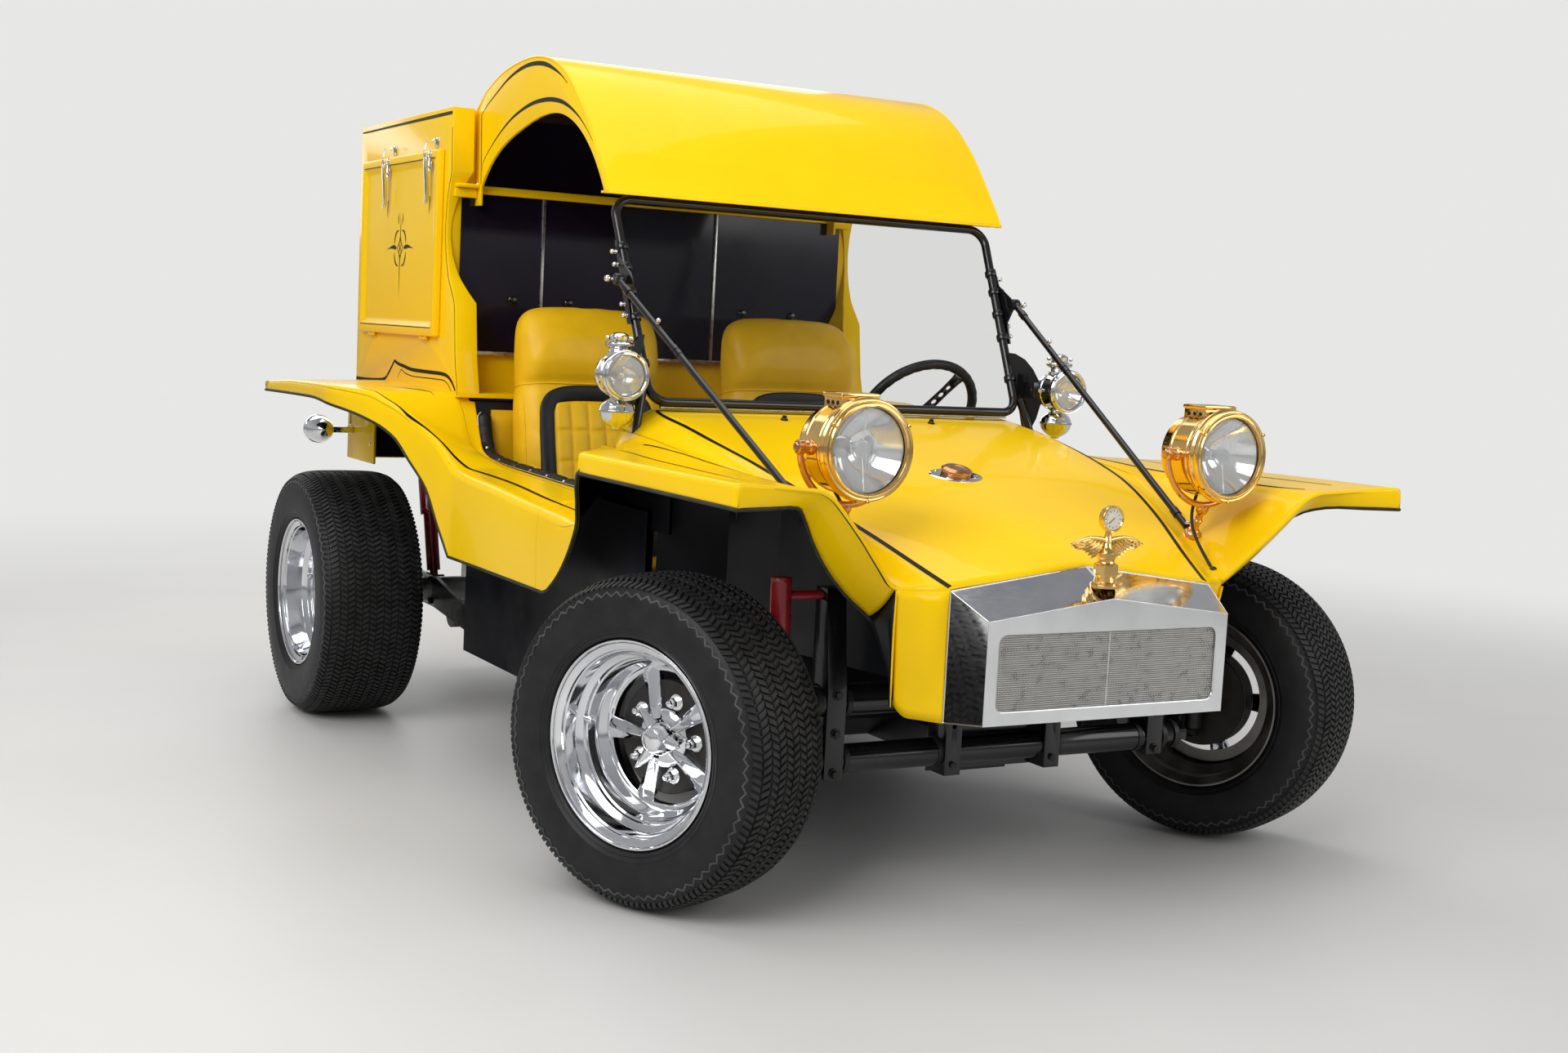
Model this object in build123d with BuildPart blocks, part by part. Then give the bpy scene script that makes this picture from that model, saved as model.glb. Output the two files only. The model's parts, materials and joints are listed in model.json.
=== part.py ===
from build123d import *
import math
import os

os.makedirs("parts", exist_ok=True)

# Driving dimensions, in millimetres. X forward, Y to the vehicle's left, Z up, ground at zero.
FRONT_AXLE_X = 1010
REAR_AXLE_X = -930
FRONT_TYRE_R = 333
REAR_TYRE_R = 347
KINGPIN_Y = 668
STEER_DEG = 24.4
REAR_HUB_Y = 700
RIM_LIP_R = 207.5
RIM_SEAT_R = RIM_LIP_R - 15.5
RUN_FIT = 0.05
STUB_R = 17

SKIN = 7
TUB_IN_Y = 590
TUB_WALL_Y = 608
FLOOR_Z = 230
TRAY_TOP_Z = 500

BOX_SIDE_Y = 645
BOX_REAR_X = -1480
BOX_FRONT_X = -660
BOX_FLOOR_Z = 930
BOX_TOP_Z = 1715
BOX_WALL = 12
ROOF_SIDE_Y = 568

TIE_ARM = 120
BUMPER_HOLE_R = 5.5

HATCH_X = (-1400, -690)
HATCH_Z = (1088, 1605)
HATCH_GAP = 0.5
HATCH_THICK = 20
HATCH_HINGE = (655, 1083)
HINGE_R = 4.5
HINGE_PIN_R = 2

SEAT_Y = 315
WHEEL_CENTRE = (250, 330, 950)
COLUMN_DEG = 33

LAMP_FRONT = (1305, 460, 931)
LAMP_FOOT = (1177, 474, 744)
COWL_LAMP = (520, 620, 1035)


def axle_plane(x, y, z, side, yaw_deg=0.0):
    """Plane of a wheel's half section: local x runs out along the axle, local y runs up."""
    yaw = math.radians(yaw_deg)
    out = Vector(-side * math.sin(yaw), side * math.cos(yaw), 0)
    return Plane(origin=(x, y, z), x_dir=out, z_dir=out.cross(Vector(0, 0, 1)))


def face_plane(axle, w):
    """Plane square to the axle, w along it, with its normal pointing out."""
    return Plane(origin=axle.origin + axle.x_dir * w, x_dir=axle.z_dir * -1, z_dir=axle.x_dir)


FRONT_RIGHT = axle_plane(FRONT_AXLE_X, -KINGPIN_Y, FRONT_TYRE_R, -1, STEER_DEG)
FRONT_LEFT = axle_plane(FRONT_AXLE_X, KINGPIN_Y, FRONT_TYRE_R, 1, STEER_DEG)
REAR_RIGHT = axle_plane(REAR_AXLE_X, -REAR_HUB_Y, REAR_TYRE_R, -1)
REAR_LEFT = axle_plane(REAR_AXLE_X, REAR_HUB_Y, REAR_TYRE_R, 1)

# Each wheel: name, plane, tyre radius, rim's inner and outer face, disc and brake drum places.
WHEELS = [
    {"name": "front_right", "at": FRONT_RIGHT, "tyre_r": FRONT_TYRE_R, "rim": (-14, 197), "disc": 80},
    {"name": "front_left", "at": FRONT_LEFT, "tyre_r": FRONT_TYRE_R, "rim": (-14, 197), "disc": 80},
    {"name": "rear_right", "at": REAR_RIGHT, "tyre_r": REAR_TYRE_R, "rim": (2, 261), "disc": 96},
    {"name": "rear_left", "at": REAR_LEFT, "tyre_r": REAR_TYRE_R, "rim": (2, 261), "disc": 96},
]


def save(piece, name):
    piece.label = name
    export_step(piece, f"parts/{name}.step")


def mirrored(piece):
    with BuildPart() as other:
        mirror(piece, about=Plane.XZ)
    return other.part


def pair(piece):
    """The right-hand piece and its mirror image as one node."""
    with BuildPart() as both:
        add(piece)
        mirror(piece, about=Plane.XZ)
    return both.part


def bent_bar(points, bend, radius, close=False):
    """Round bar along straight runs joined by arcs."""
    with BuildPart() as bar:
        with BuildLine() as path:
            FilletPolyline(*points, radius=bend, close=close)
        with BuildSketch(Plane(origin=path.line @ 0, z_dir=path.line % 0)):
            Circle(radius)
        sweep()
    return bar.part


def straight_bar(start, end, radius):
    """Round bar between two points."""
    run = Vector(*end) - Vector(*start)
    with BuildPart() as bar:
        with BuildSketch(Plane(origin=start, z_dir=run)):
            Circle(radius)
        extrude(amount=run.length)
    return bar.part


def plate_xz(points, y0, y1):
    """Flat piece with its outline in X and Z, from y0 to y1."""
    with BuildPart() as plate:
        with BuildSketch(Plane.XZ.offset(-y1)):
            with BuildLine():
                Polyline(*points, close=True)
            make_face()
        extrude(amount=y1 - y0)
    return plate.part


def box_at(x, y, z):
    """Box from three pairs of limits."""
    with BuildPart() as block:
        with Locations(((x[0] + x[1]) / 2, (y[0] + y[1]) / 2, (z[0] + z[1]) / 2)):
            Box(x[1] - x[0], y[1] - y[0], z[1] - z[0])
    return block.part


# Wheels

def make_tyre(wheel):
    """Wide low tyre: bead, bulged sidewall, square shoulder and flat crown."""
    inner, outer = wheel["rim"]
    middle, tread_r = (inner + outer) / 2, wheel["tyre_r"]
    half = (outer - inner) / 2
    with BuildPart() as tyre:
        with BuildSketch(wheel["at"]):
            with BuildLine():
                bead = (middle + half - 9.5, RIM_SEAT_R + 0.5)
                toe = (middle + half - 7.5, RIM_LIP_R + 1.5)
                low = (middle + half + 4, RIM_LIP_R + 7.5)
                bulge = (middle + half + 12, RIM_LIP_R + 0.4 * (tread_r - RIM_LIP_R))
                shoulder = (middle + half - 12, tread_r - 14)
                Polyline((middle, RIM_SEAT_R + 0.5), bead, toe, low)
                ThreePointArc(low, bulge, shoulder)
                ThreePointArc(shoulder, (middle + half - 26, tread_r - 5), (middle + half - 46, tread_r - 2))
                Polyline((middle + half - 46, tread_r - 2), (middle, tread_r), (middle, RIM_SEAT_R + 0.5))
            make_face()
            with BuildLine():
                Polyline((middle, RIM_SEAT_R - 12), (middle + half - 42, RIM_SEAT_R - 12),
                         (middle + half - 40, RIM_SEAT_R + 14), (middle + half - 4, RIM_LIP_R + 32),
                         (middle + half - 26, tread_r - 30), (middle, tread_r - 15), close=True)
            make_face(mode=Mode.SUBTRACT)
        revolve(axis=Axis(wheel["at"].origin, wheel["at"].x_dir))
        mirror(about=Plane(origin=wheel["at"].origin + wheel["at"].x_dir * middle,
                           z_dir=wheel["at"].x_dir))
    return tyre.part


def make_rim(wheel):
    """Deep-dish rim: stepped barrel, a disc with five windows, and a three-eared spinner."""
    inner, outer = wheel["rim"]
    disc = wheel["disc"]
    seat, well = RIM_SEAT_R, RIM_SEAT_R - 20
    with BuildPart() as rim:
        with BuildSketch(wheel["at"]):
            with BuildLine():
                Polyline((inner, RIM_LIP_R), (inner + 7, RIM_LIP_R), (inner + 9, seat), (inner + 38, seat - 2),
                         (inner + 50, well), (outer - 52, well), (outer - 40, seat - 2), (outer - 9, seat),
                         (outer - 7, RIM_LIP_R), (outer, RIM_LIP_R), (outer, RIM_LIP_R - 4.5),
                         (outer - 12, seat - 6), (outer - 42, seat - 8), (outer - 55, well - 6),
                         (inner + 53, well - 6), (inner + 41, seat - 8), (inner + 12, seat - 6),
                         (inner, RIM_LIP_R - 4.5), close=True)
            make_face()
        with BuildSketch(wheel["at"]):
            with BuildLine():
                Polyline((disc, 0), (disc, well - 54), (disc - 6, well - 32), (disc - 6, well - 5),
                         (disc + 8, well - 5), (disc + 8, well - 52), (disc + 24, 62), (disc + 24, 0), close=True)
            make_face()
        revolve(axis=Axis(wheel["at"].origin, wheel["at"].x_dir))
        with BuildSketch(face_plane(wheel["at"], disc - 20)) as windows:
            with PolarLocations(0, 5, start_angle=18):
                with Locations((well - 60, 0)):
                    Trapezoid(92, 74, 76, rotation=90)
        extrude(amount=70, mode=Mode.SUBTRACT)
        with BuildSketch(face_plane(wheel["at"], disc + 22)):
            Circle(36)
            with PolarLocations(0, 3, start_angle=90):
                with Locations((38, 0)):
                    Trapezoid(26, 44, 78, rotation=-90)
        extrude(amount=16)
        with BuildSketch(face_plane(wheel["at"], disc + 36)):
            Circle(30)
        extrude(amount=16, taper=20)
    return rim.part


def make_drum(wheel):
    """Brake drum behind the disc, bored for its stub axle."""
    disc = wheel["disc"]
    with BuildPart() as drum:
        with BuildSketch(face_plane(wheel["at"], disc - 48)):
            Circle(116)
        extrude(amount=48)
        with BuildSketch(face_plane(wheel["at"], disc - 48)):
            Circle(STUB_R + RUN_FIT)
        extrude(amount=24, mode=Mode.SUBTRACT)
    return drum.part


# Running gear

def make_floor_pan():
    """Shortened floor pan: shallow tray, centre tunnel and the head that carries the axle beam."""
    with BuildPart() as pan:
        add(box_at((-548, 640), (-596, 596), (FLOOR_Z, TRAY_TOP_Z)))
        add(box_at((-542, 641), (-590, 590), (FLOOR_Z + 5, TRAY_TOP_Z + 1)), mode=Mode.SUBTRACT)
        add(plate_xz([(-542, 235), (-542, 390), (-300, 390), (-100, 350), (640, 350), (640, 235)], -70, 70))
        add(plate_xz([(640, 230), (1096, 230), (1096, 300), (860, 300), (640, 350)], -60, 60))
    return pan.part


def make_beam():
    """Two cross tubes, their straps, and a damper tower at each end."""
    with BuildPart() as beam:
        for z in (285, 405):
            add(straight_bar((1130, -500, z), (1130, 500, z), 30))
        for y in (-420, 420):
            add(plate_xz([(1096, 250), (1164, 250), (1164, 430), (1140, 640), (1096, 640)], y - 22, y + 22))
        for y in (-130, 130):
            add(plate_xz([(1096, 240), (1168, 240), (1168, 445), (1096, 445)], y - 20, y + 20))
        add(box_at((1096, 1102), (-150, 150), (236, 445)))
        for y in (-130, 130):
            add(straight_bar((1150, y, 345), (1170, y, 345), BUMPER_HOLE_R), mode=Mode.SUBTRACT)
    return beam.part


def make_link():
    """Right-hand trailing arms and the fork that holds the kingpin."""
    y = -KINGPIN_Y
    with BuildPart() as link:
        for z in (285, 405):
            with BuildSketch(Plane.XY.offset(z - 12)):
                with BuildLine():
                    Polyline((1150, -500.5), (1110, -500.5), (985, y + 62), (985, y + 40), (1028, y + 40),
                             (1028, y + 62), (1150, -526), close=True)
                make_face()
            extrude(amount=24)
        add(box_at((985, 1028), (y + 40, y + 56), (246, 424)))
        for z in (246, 406):
            add(box_at((992, 1028), (y, y + 56), (z, z + 18)))
            add(straight_bar((FRONT_AXLE_X, y, z), (FRONT_AXLE_X, y, z + 18), 18))
        add(straight_bar((FRONT_AXLE_X, y, 246), (FRONT_AXLE_X, y, 424), 10))
    return link.part


def make_dampers():
    """Right-hand front damper, from the tower's stud to the lower arm, and the rear one."""
    with BuildPart() as damper:
        add(straight_bar((1118, -535, 500), (1112, -535, 660), 22))
        add(straight_bar((1118, -535, 419), (1118, -535, 505), 9))
        add(straight_bar((1118, -535, 625), (1118, -442.5, 625), 9))
        add(box_at((1104, 1132), (-549, -521), (417, 440)))
        add(straight_bar((-1010, -530, REAR_TYRE_R + 43), (-1045, -535, 560), 20))
        add(straight_bar((-1045, -535, 555), (-1080, -540, 725), 28))
        add(straight_bar((-1005, -559.5, REAR_TYRE_R + 19), (-1005, -500, REAR_TYRE_R + 19), 12))
        add(straight_bar((-1005, -528, REAR_TYRE_R + 13), (-1012, -530, REAR_TYRE_R + 53), 12))
        add(straight_bar((-1080, -589.8, 715), (-1080, -540, 715), 10))
    return damper.part


def make_knuckle(axle, side):
    """Eye round the kingpin, stub axle, brake backing plate and steering arm."""
    with BuildPart() as knuckle:
        with BuildSketch(Plane(origin=(axle.origin.X, axle.origin.Y, 265))):
            Circle(22)
        extrude(amount=140)
        with BuildSketch(face_plane(axle, 0)):
            Circle(STUB_R)
        extrude(amount=54)
        with BuildSketch(face_plane(axle, 28)):
            Circle(113)
        extrude(amount=3)
        arm_plane = Plane(origin=(axle.origin.X, axle.origin.Y, 300), x_dir=axle.z_dir * -side, z_dir=(0, 0, 1))
        with BuildSketch(arm_plane):
            with Locations((TIE_ARM / 2 + 5, 0)):
                SlotOverall(TIE_ARM + 42, 26)
        extrude(amount=16)
        with BuildSketch(arm_plane):
            with Locations((TIE_ARM, 0)):
                Circle(7)
        extrude(amount=46)
        with BuildSketch(Plane(origin=(axle.origin.X, axle.origin.Y, 264))):
            Circle(10 + RUN_FIT)
        extrude(amount=142, mode=Mode.SUBTRACT)
    return knuckle.part


def tie_end(axle, side):
    """Steering arm's pin centre, behind the kingpin."""
    return axle.origin - axle.z_dir * side * TIE_ARM


def make_tie_rod():
    right, left = tie_end(FRONT_RIGHT, -1), tie_end(FRONT_LEFT, 1)
    with BuildPart() as rod:
        add(straight_bar((right.X, right.Y, 330), (left.X, left.Y, 330), 10))
        for end in (right, left):
            add(straight_bar((end.X, end.Y, 317), (end.X, end.Y, 343), 16))
            add(straight_bar((end.X, end.Y, 316), (end.X, end.Y, 344), 7 + RUN_FIT), mode=Mode.SUBTRACT)
    return rod.part


def make_transaxle():
    """Gearbox case with its bell, and a swinging axle tube to each rear wheel."""
    with BuildPart() as transaxle:
        with BuildSketch(Plane.YZ.offset(-1040)):
            with Locations((0, REAR_TYRE_R)):
                Circle(165)
        with BuildSketch(Plane.YZ.offset(-960)):
            with Locations((0, REAR_TYRE_R)):
                Circle(100)
        loft()
        with BuildSketch(Plane.YZ.offset(-960)):
            with Locations((0, REAR_TYRE_R)):
                Circle(100)
        extrude(amount=70)
        with BuildSketch(Plane.YZ.offset(-890)):
            with Locations((0, REAR_TYRE_R)):
                Circle(85)
        extrude(amount=236, taper=4)
        add(straight_bar((REAR_AXLE_X, -690, REAR_TYRE_R), (REAR_AXLE_X, 690, REAR_TYRE_R), 35))
        add(straight_bar((REAR_AXLE_X, -766, REAR_TYRE_R), (REAR_AXLE_X, 766, REAR_TYRE_R), STUB_R))
        for y in (-690, 663):
            with BuildSketch(Plane.XZ.offset(-y - 27)):
                with Locations((REAR_AXLE_X, REAR_TYRE_R)):
                    Circle(62)
            extrude(amount=27)
    return transaxle.part


def make_rear_springs():
    """Cross tube of the rear springs, its flat arms and the rear dampers."""
    with BuildPart() as springs:
        add(straight_bar((-600, -560, 300), (-600, 560, 300), 51))
        for y in (-572, 560):
            add(plate_xz([(-560, 270), (-560, 330), (-880, REAR_TYRE_R + 43), (-1020, REAR_TYRE_R + 43),
                          (-1020, REAR_TYRE_R + 3), (-970, REAR_TYRE_R - 47), (-880, REAR_TYRE_R - 47)],
                         y, y + 12))
            add(straight_bar((REAR_AXLE_X, y - 1, REAR_TYRE_R), (REAR_AXLE_X, y + 13, REAR_TYRE_R), 35),
                mode=Mode.SUBTRACT)
    return springs.part


def make_engine():
    """Open flat-four: crankcase, two banks of finned barrels, upright cooler housing and pulley."""
    with BuildPart() as engine:
        add(box_at((-1390, -1040), (-110, 110), (235, 430)))
        for side in (-1, 1):
            for x in (-1330, -1200):
                with BuildSketch(Plane.XZ.offset(-side * 110)):
                    with Locations((x + 60, 340)):
                        Circle(52)
                extrude(amount=-side * 130)
            add(box_at((-1340, -1070), sorted((side * 240, side * 330)), (285, 400)))
        add(box_at((-1140, -1050), (-270, 270), (430, 610)))
        add(straight_bar((-1420, 0, 345), (-1385, 0, 345), 85))
        add(straight_bar((-1400, 0, 540), (-1140, 0, 540), 52))
        add(straight_bar((-1425, 0, 540), (-1395, 0, 540), 55))
        add(box_at((-1330, -1210), (-28, 28), (425, 500)))
    return engine.part


def make_exhaust():
    """Cross silencer behind the engine with two open tail pipes."""
    with BuildPart() as exhaust:
        add(straight_bar((-1437, -320, 190), (-1437, 320, 190), 48))
        for y in (-285, 285):
            add(bent_bar([(-1205, y, 285), (-1205, y, 190), (-1437, y, 190)], 45, 18))
        for y in (-120, 120):
            add(straight_bar((-1460, y, 190), (-1500, y, 190), 22))
            add(straight_bar((-1465, y, 190), (-1501, y, 190), 19), mode=Mode.SUBTRACT)
    return exhaust.part


# Body moulding

# Front body at each station: x, then outline points from the centre line out, and the flange's foot.
NOSE = [
    {"x": 400, "outline": [(0, 957), (500, 958), (560, 925), (585, 890), (598, 850), (598, 800)]},
    {"x": 560, "outline": [(0, 925), (500, 935), (560, 905), (610, 884), (650, 866), (650, 800)]},
    {"x": 720, "outline": [(0, 890), (500, 902), (590, 872), (700, 878), (815, 878), (815, 832)]},
    {"x": 930, "outline": [(0, 842), (475, 852), (550, 815), (660, 858), (816, 878), (816, 832)]},
    {"x": 1150, "outline": [(0, 786), (413, 776), (480, 744), (636, 848), (818, 879), (818, 832)]},
    {"x": 1310, "outline": [(0, 742), (356, 711), (425, 672), (622, 844), (820, 880), (820, 832)]},
    {"x": 1450, "outline": [(0, 702), (312, 656), (360, 628), (618, 843), (822, 880), (822, 832)]},
]
# Body side at each station: x, top inside, crease outside.
SIDES = [
    {"x": -1385, "in_z": 938, "out": (948, 926)},
    {"x": -1070, "in_z": 948, "out": (950, 942)},
    {"x": -760, "in_z": 950, "out": (945, 946)},
    {"x": -560, "in_z": 940, "out": (880, 938)},
    {"x": -520, "in_z": 885, "out": (850, 921)},
    {"x": -457, "in_z": 790, "out": (805, 890)},
    {"x": -340, "in_z": 768, "out": (768, 826)},
    {"x": -224, "in_z": 762, "out": (752, 757)},
    {"x": 30, "in_z": 755, "out": (750, 740)},
    {"x": 300, "in_z": 748, "out": (750, 722)},
    {"x": 580, "in_z": 744, "out": (752, 708)},
]
# Wall that joins the body side to the front fender, seen from above, and its heights.
FENDER_WALL = [(345, 590), (345, 600), (572, 752), (720, 815), (720, 590)]
FENDER_WALL_Z = (690, 866)
# Lip under the front fender's front edge: the edge above and the foot, each x and z.
FRONT_LIP = [
    {"y": 405, "edge": (1345, 655), "foot": (1252, 590)},
    {"y": 418, "edge": (1350, 667), "foot": (1255, 602)},
    {"y": 470, "edge": (1366, 712), "foot": (1265, 640)},
    {"y": 530, "edge": (1388, 764), "foot": (1283, 694)},
    {"y": 575, "edge": (1396, 803), "foot": (1305, 745)},
    {"y": 621, "edge": (1404, 840), "foot": (1335, 806)},
    {"y": 665, "edge": (1413, 849), "foot": (1385, 830)},
    {"y": 740, "edge": (1430, 862), "foot": (1422, 832)},
    {"y": 818, "edge": (1447, 877), "foot": (1447, 832)},
]
NOSE_FRONT = [(1403, -10), (1403, 326), (1372, 372), (1350, 418), (1366, 470), (1388, 530), (1404, 621),
              (1448, 822), (1448, 900), (1600, 900), (1600, -10)]
REAR_ARCH = [(-1500, 897), (-879, 905), (-680, 888), (-560, 862), (-500, 826), (-457, 772), (-370, 687),
             (-318, 610), (-253, 530), (-253, 400), (-1500, 400)]
FRONT_ARCH = [(388, 525), (437, 553), (471, 577), (513, 617), (552, 668), (577, 715), (592, 757), (640, 795),
              (718, 833), (760, 833), (760, 400), (340, 400)]


def section(plane, points):
    with BuildSketch(plane) as outline:
        with BuildLine():
            Polyline(*points, close=True)
        make_face()
    return outline.sketch


def make_nose_half():
    """Left half of the hood, cowl and front fender as one skin."""
    with BuildPart() as half:
        for station in NOSE:
            top = station["outline"]
            outer_y, foot_z = top[-1]
            under = [(outer_y - SKIN, foot_z), (outer_y - SKIN, top[-2][1] - SKIN)]
            under += [(y - (4 if y else 0), z - SKIN) for y, z in reversed(top[:-2])]
            add(section(Plane.YZ.offset(station["x"]), top + under))
        loft()
        with BuildSketch(Plane.XY.offset(400)):
            with BuildLine():
                Polyline(*NOSE_FRONT, close=True)
            make_face()
        extrude(amount=700, mode=Mode.SUBTRACT)
    return half.part


def make_nose_cheek():
    """Left side of the nose, from the hood's edge down beside the grille."""
    low = [(1404, 319), (1404, 326), (1312, 388), (1308, 382)]
    high = [(1403, 320), (1403, 327), (1352, 415), (1346, 410)]
    with BuildPart() as cheek:
        with BuildSketch(Plane.XY.offset(411)):
            with BuildLine():
                Polyline(*low, close=True)
            make_face()
        with BuildSketch(Plane.XY.offset(662)):
            with BuildLine():
                Polyline(*high, close=True)
            make_face()
        loft(ruled=True)
    return cheek.part


def make_front_lip():
    """Left lip that turns down and back from the fender's front edge to the nose's side."""
    with BuildPart() as lip:
        for station in FRONT_LIP:
            (x0, z0), (x1, z1) = station["edge"], station["foot"]
            inward = Vector(z1 - z0, x0 - x1).normalized() * 5
            add(section(Plane.XZ.offset(-station["y"]),
                        [(x0, z0), (x1, z1), (x1 + inward.X, z1 + inward.Y), (x0 + inward.X, z0 + inward.Y)]))
        loft(ruled=True)
    # Each row: height, then the front and rear ends in x and y.
    rows = [(430, (1319, 391), (1306, 386)), (480, (1326, 395), (1303, 385)), (540, (1336, 402), (1275, 391)),
            (590, (1343, 407), (1251, 403)), (657, (1353, 414), (1338, 409))]
    with BuildPart() as gusset:
        for z, (x0, y0), (x1, y1) in rows:
            add(section(Plane.XY.offset(z), [(x0, y0), (x1, y1), (x1, y1 - 5), (x0, y0 - 5)]))
        loft(ruled=True)
        add(lip.part)
    return gusset.part


def make_side_half():
    """Left body side and rear fender, closed underneath, with both wheel arches cut."""
    with BuildPart() as half:
        for station in SIDES:
            out_y, out_z = station["out"]
            add(section(Plane.YZ.offset(station["x"]),
                        [(TUB_IN_Y, TRAY_TOP_Z), (TUB_IN_Y, station["in_z"]), (out_y, out_z), (out_y, 530)]))
        loft(ruled=True)
        with BuildSketch(Plane.XY.offset(FENDER_WALL_Z[0])):
            with BuildLine():
                Polyline(*FENDER_WALL, close=True)
            make_face()
        extrude(amount=FENDER_WALL_Z[1] - FENDER_WALL_Z[0])
        add(plate_xz(REAR_ARCH, TUB_WALL_Y, 1000), mode=Mode.SUBTRACT)
        add(plate_xz(FRONT_ARCH, TUB_WALL_Y, 1000), mode=Mode.SUBTRACT)
        add(plate_xz([(-1500, 700), (-760, 700), (-600, 500), (-600, 400), (-1500, 400)], 500, 1000),
            mode=Mode.SUBTRACT)
    return half.part


def make_body():
    with BuildPart() as body:
        add(make_nose_half())
        add(make_nose_cheek())
        add(make_front_lip())
        add(make_side_half())
        add(box_at((-1470, -540), (-1, TUB_WALL_Y), (918, BOX_FLOOR_Z)))
        add(box_at((-548, -540), (-1, TUB_WALL_Y), (TRAY_TOP_Z, 925)))
        add(box_at((-1500, -520.5), (0, BOX_SIDE_Y + 0.2), (BOX_FLOOR_Z, 1100)), mode=Mode.SUBTRACT)
        add(box_at((-1476, -1468), (-1, TUB_WALL_Y + 58), (690, 920)))
        add(box_at((-1476, -1200), (TUB_WALL_Y, TUB_WALL_Y + 58), (690, BOX_FLOOR_Z)))
        add(box_at((-1468, -1199), (TUB_WALL_Y, TUB_WALL_Y + 50), (689, 900)), mode=Mode.SUBTRACT)
        mirror(about=Plane.XZ)
    return body.part


def make_inner_front():
    """Black foot well and the narrow bay under the hood, open at the back and top."""
    # Each station: x, half width, bottom and top.
    outer = [(641, 588, 231, 852), (720, 452, 231, 840), (860, 400, 301, 800)]
    bay = [(860, 400, 470, 800), (1290, 330, 470, 660)]
    with BuildPart() as inner:
        for x, half_y, low, high in outer:
            add(section(Plane.YZ.offset(x), [(-half_y, low), (half_y, low), (half_y, high), (-half_y, high)]))
        loft(ruled=True)
        for x, half_y, low, high in outer:
            wall = 5
            start = x - (1 if x == 641 else 0)
            end = x - (6 if x == 860 else 0)
            add(section(Plane.YZ.offset(start if x == 641 else end),
                        [(-half_y + wall, low + 5), (half_y - wall, low + 5), (half_y - wall, high + 60),
                         (-half_y + wall, high + 60)]))
        loft(ruled=True, mode=Mode.SUBTRACT)
    with BuildPart() as front:
        add(inner.part)
        for x, half_y, low, high in bay:
            add(section(Plane.YZ.offset(x), [(-half_y, low), (half_y, low), (half_y, high), (-half_y, high)]))
        loft(ruled=True)
        for x, half_y, low, high in bay:
            add(section(Plane.YZ.offset(x + (1 if x == 860 else -6)),
                        [(-half_y + 5, low + 5), (half_y - 5, low + 5), (half_y - 5, high + 60),
                         (-half_y + 5, high + 60)]))
        loft(ruled=True, mode=Mode.SUBTRACT)
        add(plate_xz([(600, 200), (1100, 200), (1100, 300), (860, 300), (640, 350), (600, 350)], -60, 60),
            mode=Mode.SUBTRACT)
    return front.part


# Load box and roof

# The column's front edge, from the box's top down to the tub, and the gap between the columns,
# seen from the front as half width against height. Each has one arc, through three points.
COLUMN_TOP = [(-631, 1715), (-622, 1540)]
COLUMN_ARC = [(-622, 1540), (-657, 1375), (-620, 1250)]
COLUMN_FOOT = [(-620, 1250), (-567, 1186), (-545, 1032), (-521, 950), (-521, 930)]
GAP_ARC = [(585, 1545), (632, 1366), (585, 1186)]


def box_side():
    """Outline of the box and its columns from the side, as a sketch."""
    with BuildSketch(Plane.XZ.offset(-BOX_SIDE_Y)) as side:
        with BuildLine():
            Polyline(COLUMN_FOOT[-1], (-1470, 930), (BOX_REAR_X, BOX_TOP_Z), *COLUMN_TOP)
            ThreePointArc(*COLUMN_ARC)
            Polyline(*COLUMN_FOOT)
        make_face()
    return side.sketch


def column_gap():
    """Outline of the gap between the columns, as a sketch on the box's front."""
    (high_y, high_z), (middle_y, middle_z), (low_y, low_z) = GAP_ARC
    with BuildSketch(Plane.YZ.offset(BOX_FRONT_X)) as gap:
        with BuildLine():
            Polyline((low_y, low_z), (low_y, 942), (-low_y, 942), (-low_y, low_z))
            ThreePointArc((-low_y, low_z), (-middle_y, middle_z), (-high_y, high_z))
            Polyline((-high_y, high_z), (-high_y, BOX_TOP_Z + 1), (high_y, BOX_TOP_Z + 1), (high_y, high_z))
            ThreePointArc(*GAP_ARC)
        make_face()
    return gap.sketch


def hinge_barrel(x, sign):
    """Barrel of the right-hand hatch's hinge between two x limits, with its leaf to the box or the hatch."""
    y, z = -HATCH_HINGE[0], HATCH_HINGE[1]
    with BuildPart() as barrel:
        add(straight_bar((x[0], y, z), (x[1], y, z), HINGE_R))
        if sign > 0:
            add(box_at(x, (y - HINGE_R, y + HINGE_R), (z, z + 6)))
        else:
            add(box_at(x, (y, -BOX_SIDE_Y + 1), (z - HINGE_R, z)))
    return barrel.part


def hinge_places():
    """Middle of each of a hatch's two hinges along X."""
    return (HATCH_X[0] + 110, HATCH_X[1] - 110)


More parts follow.
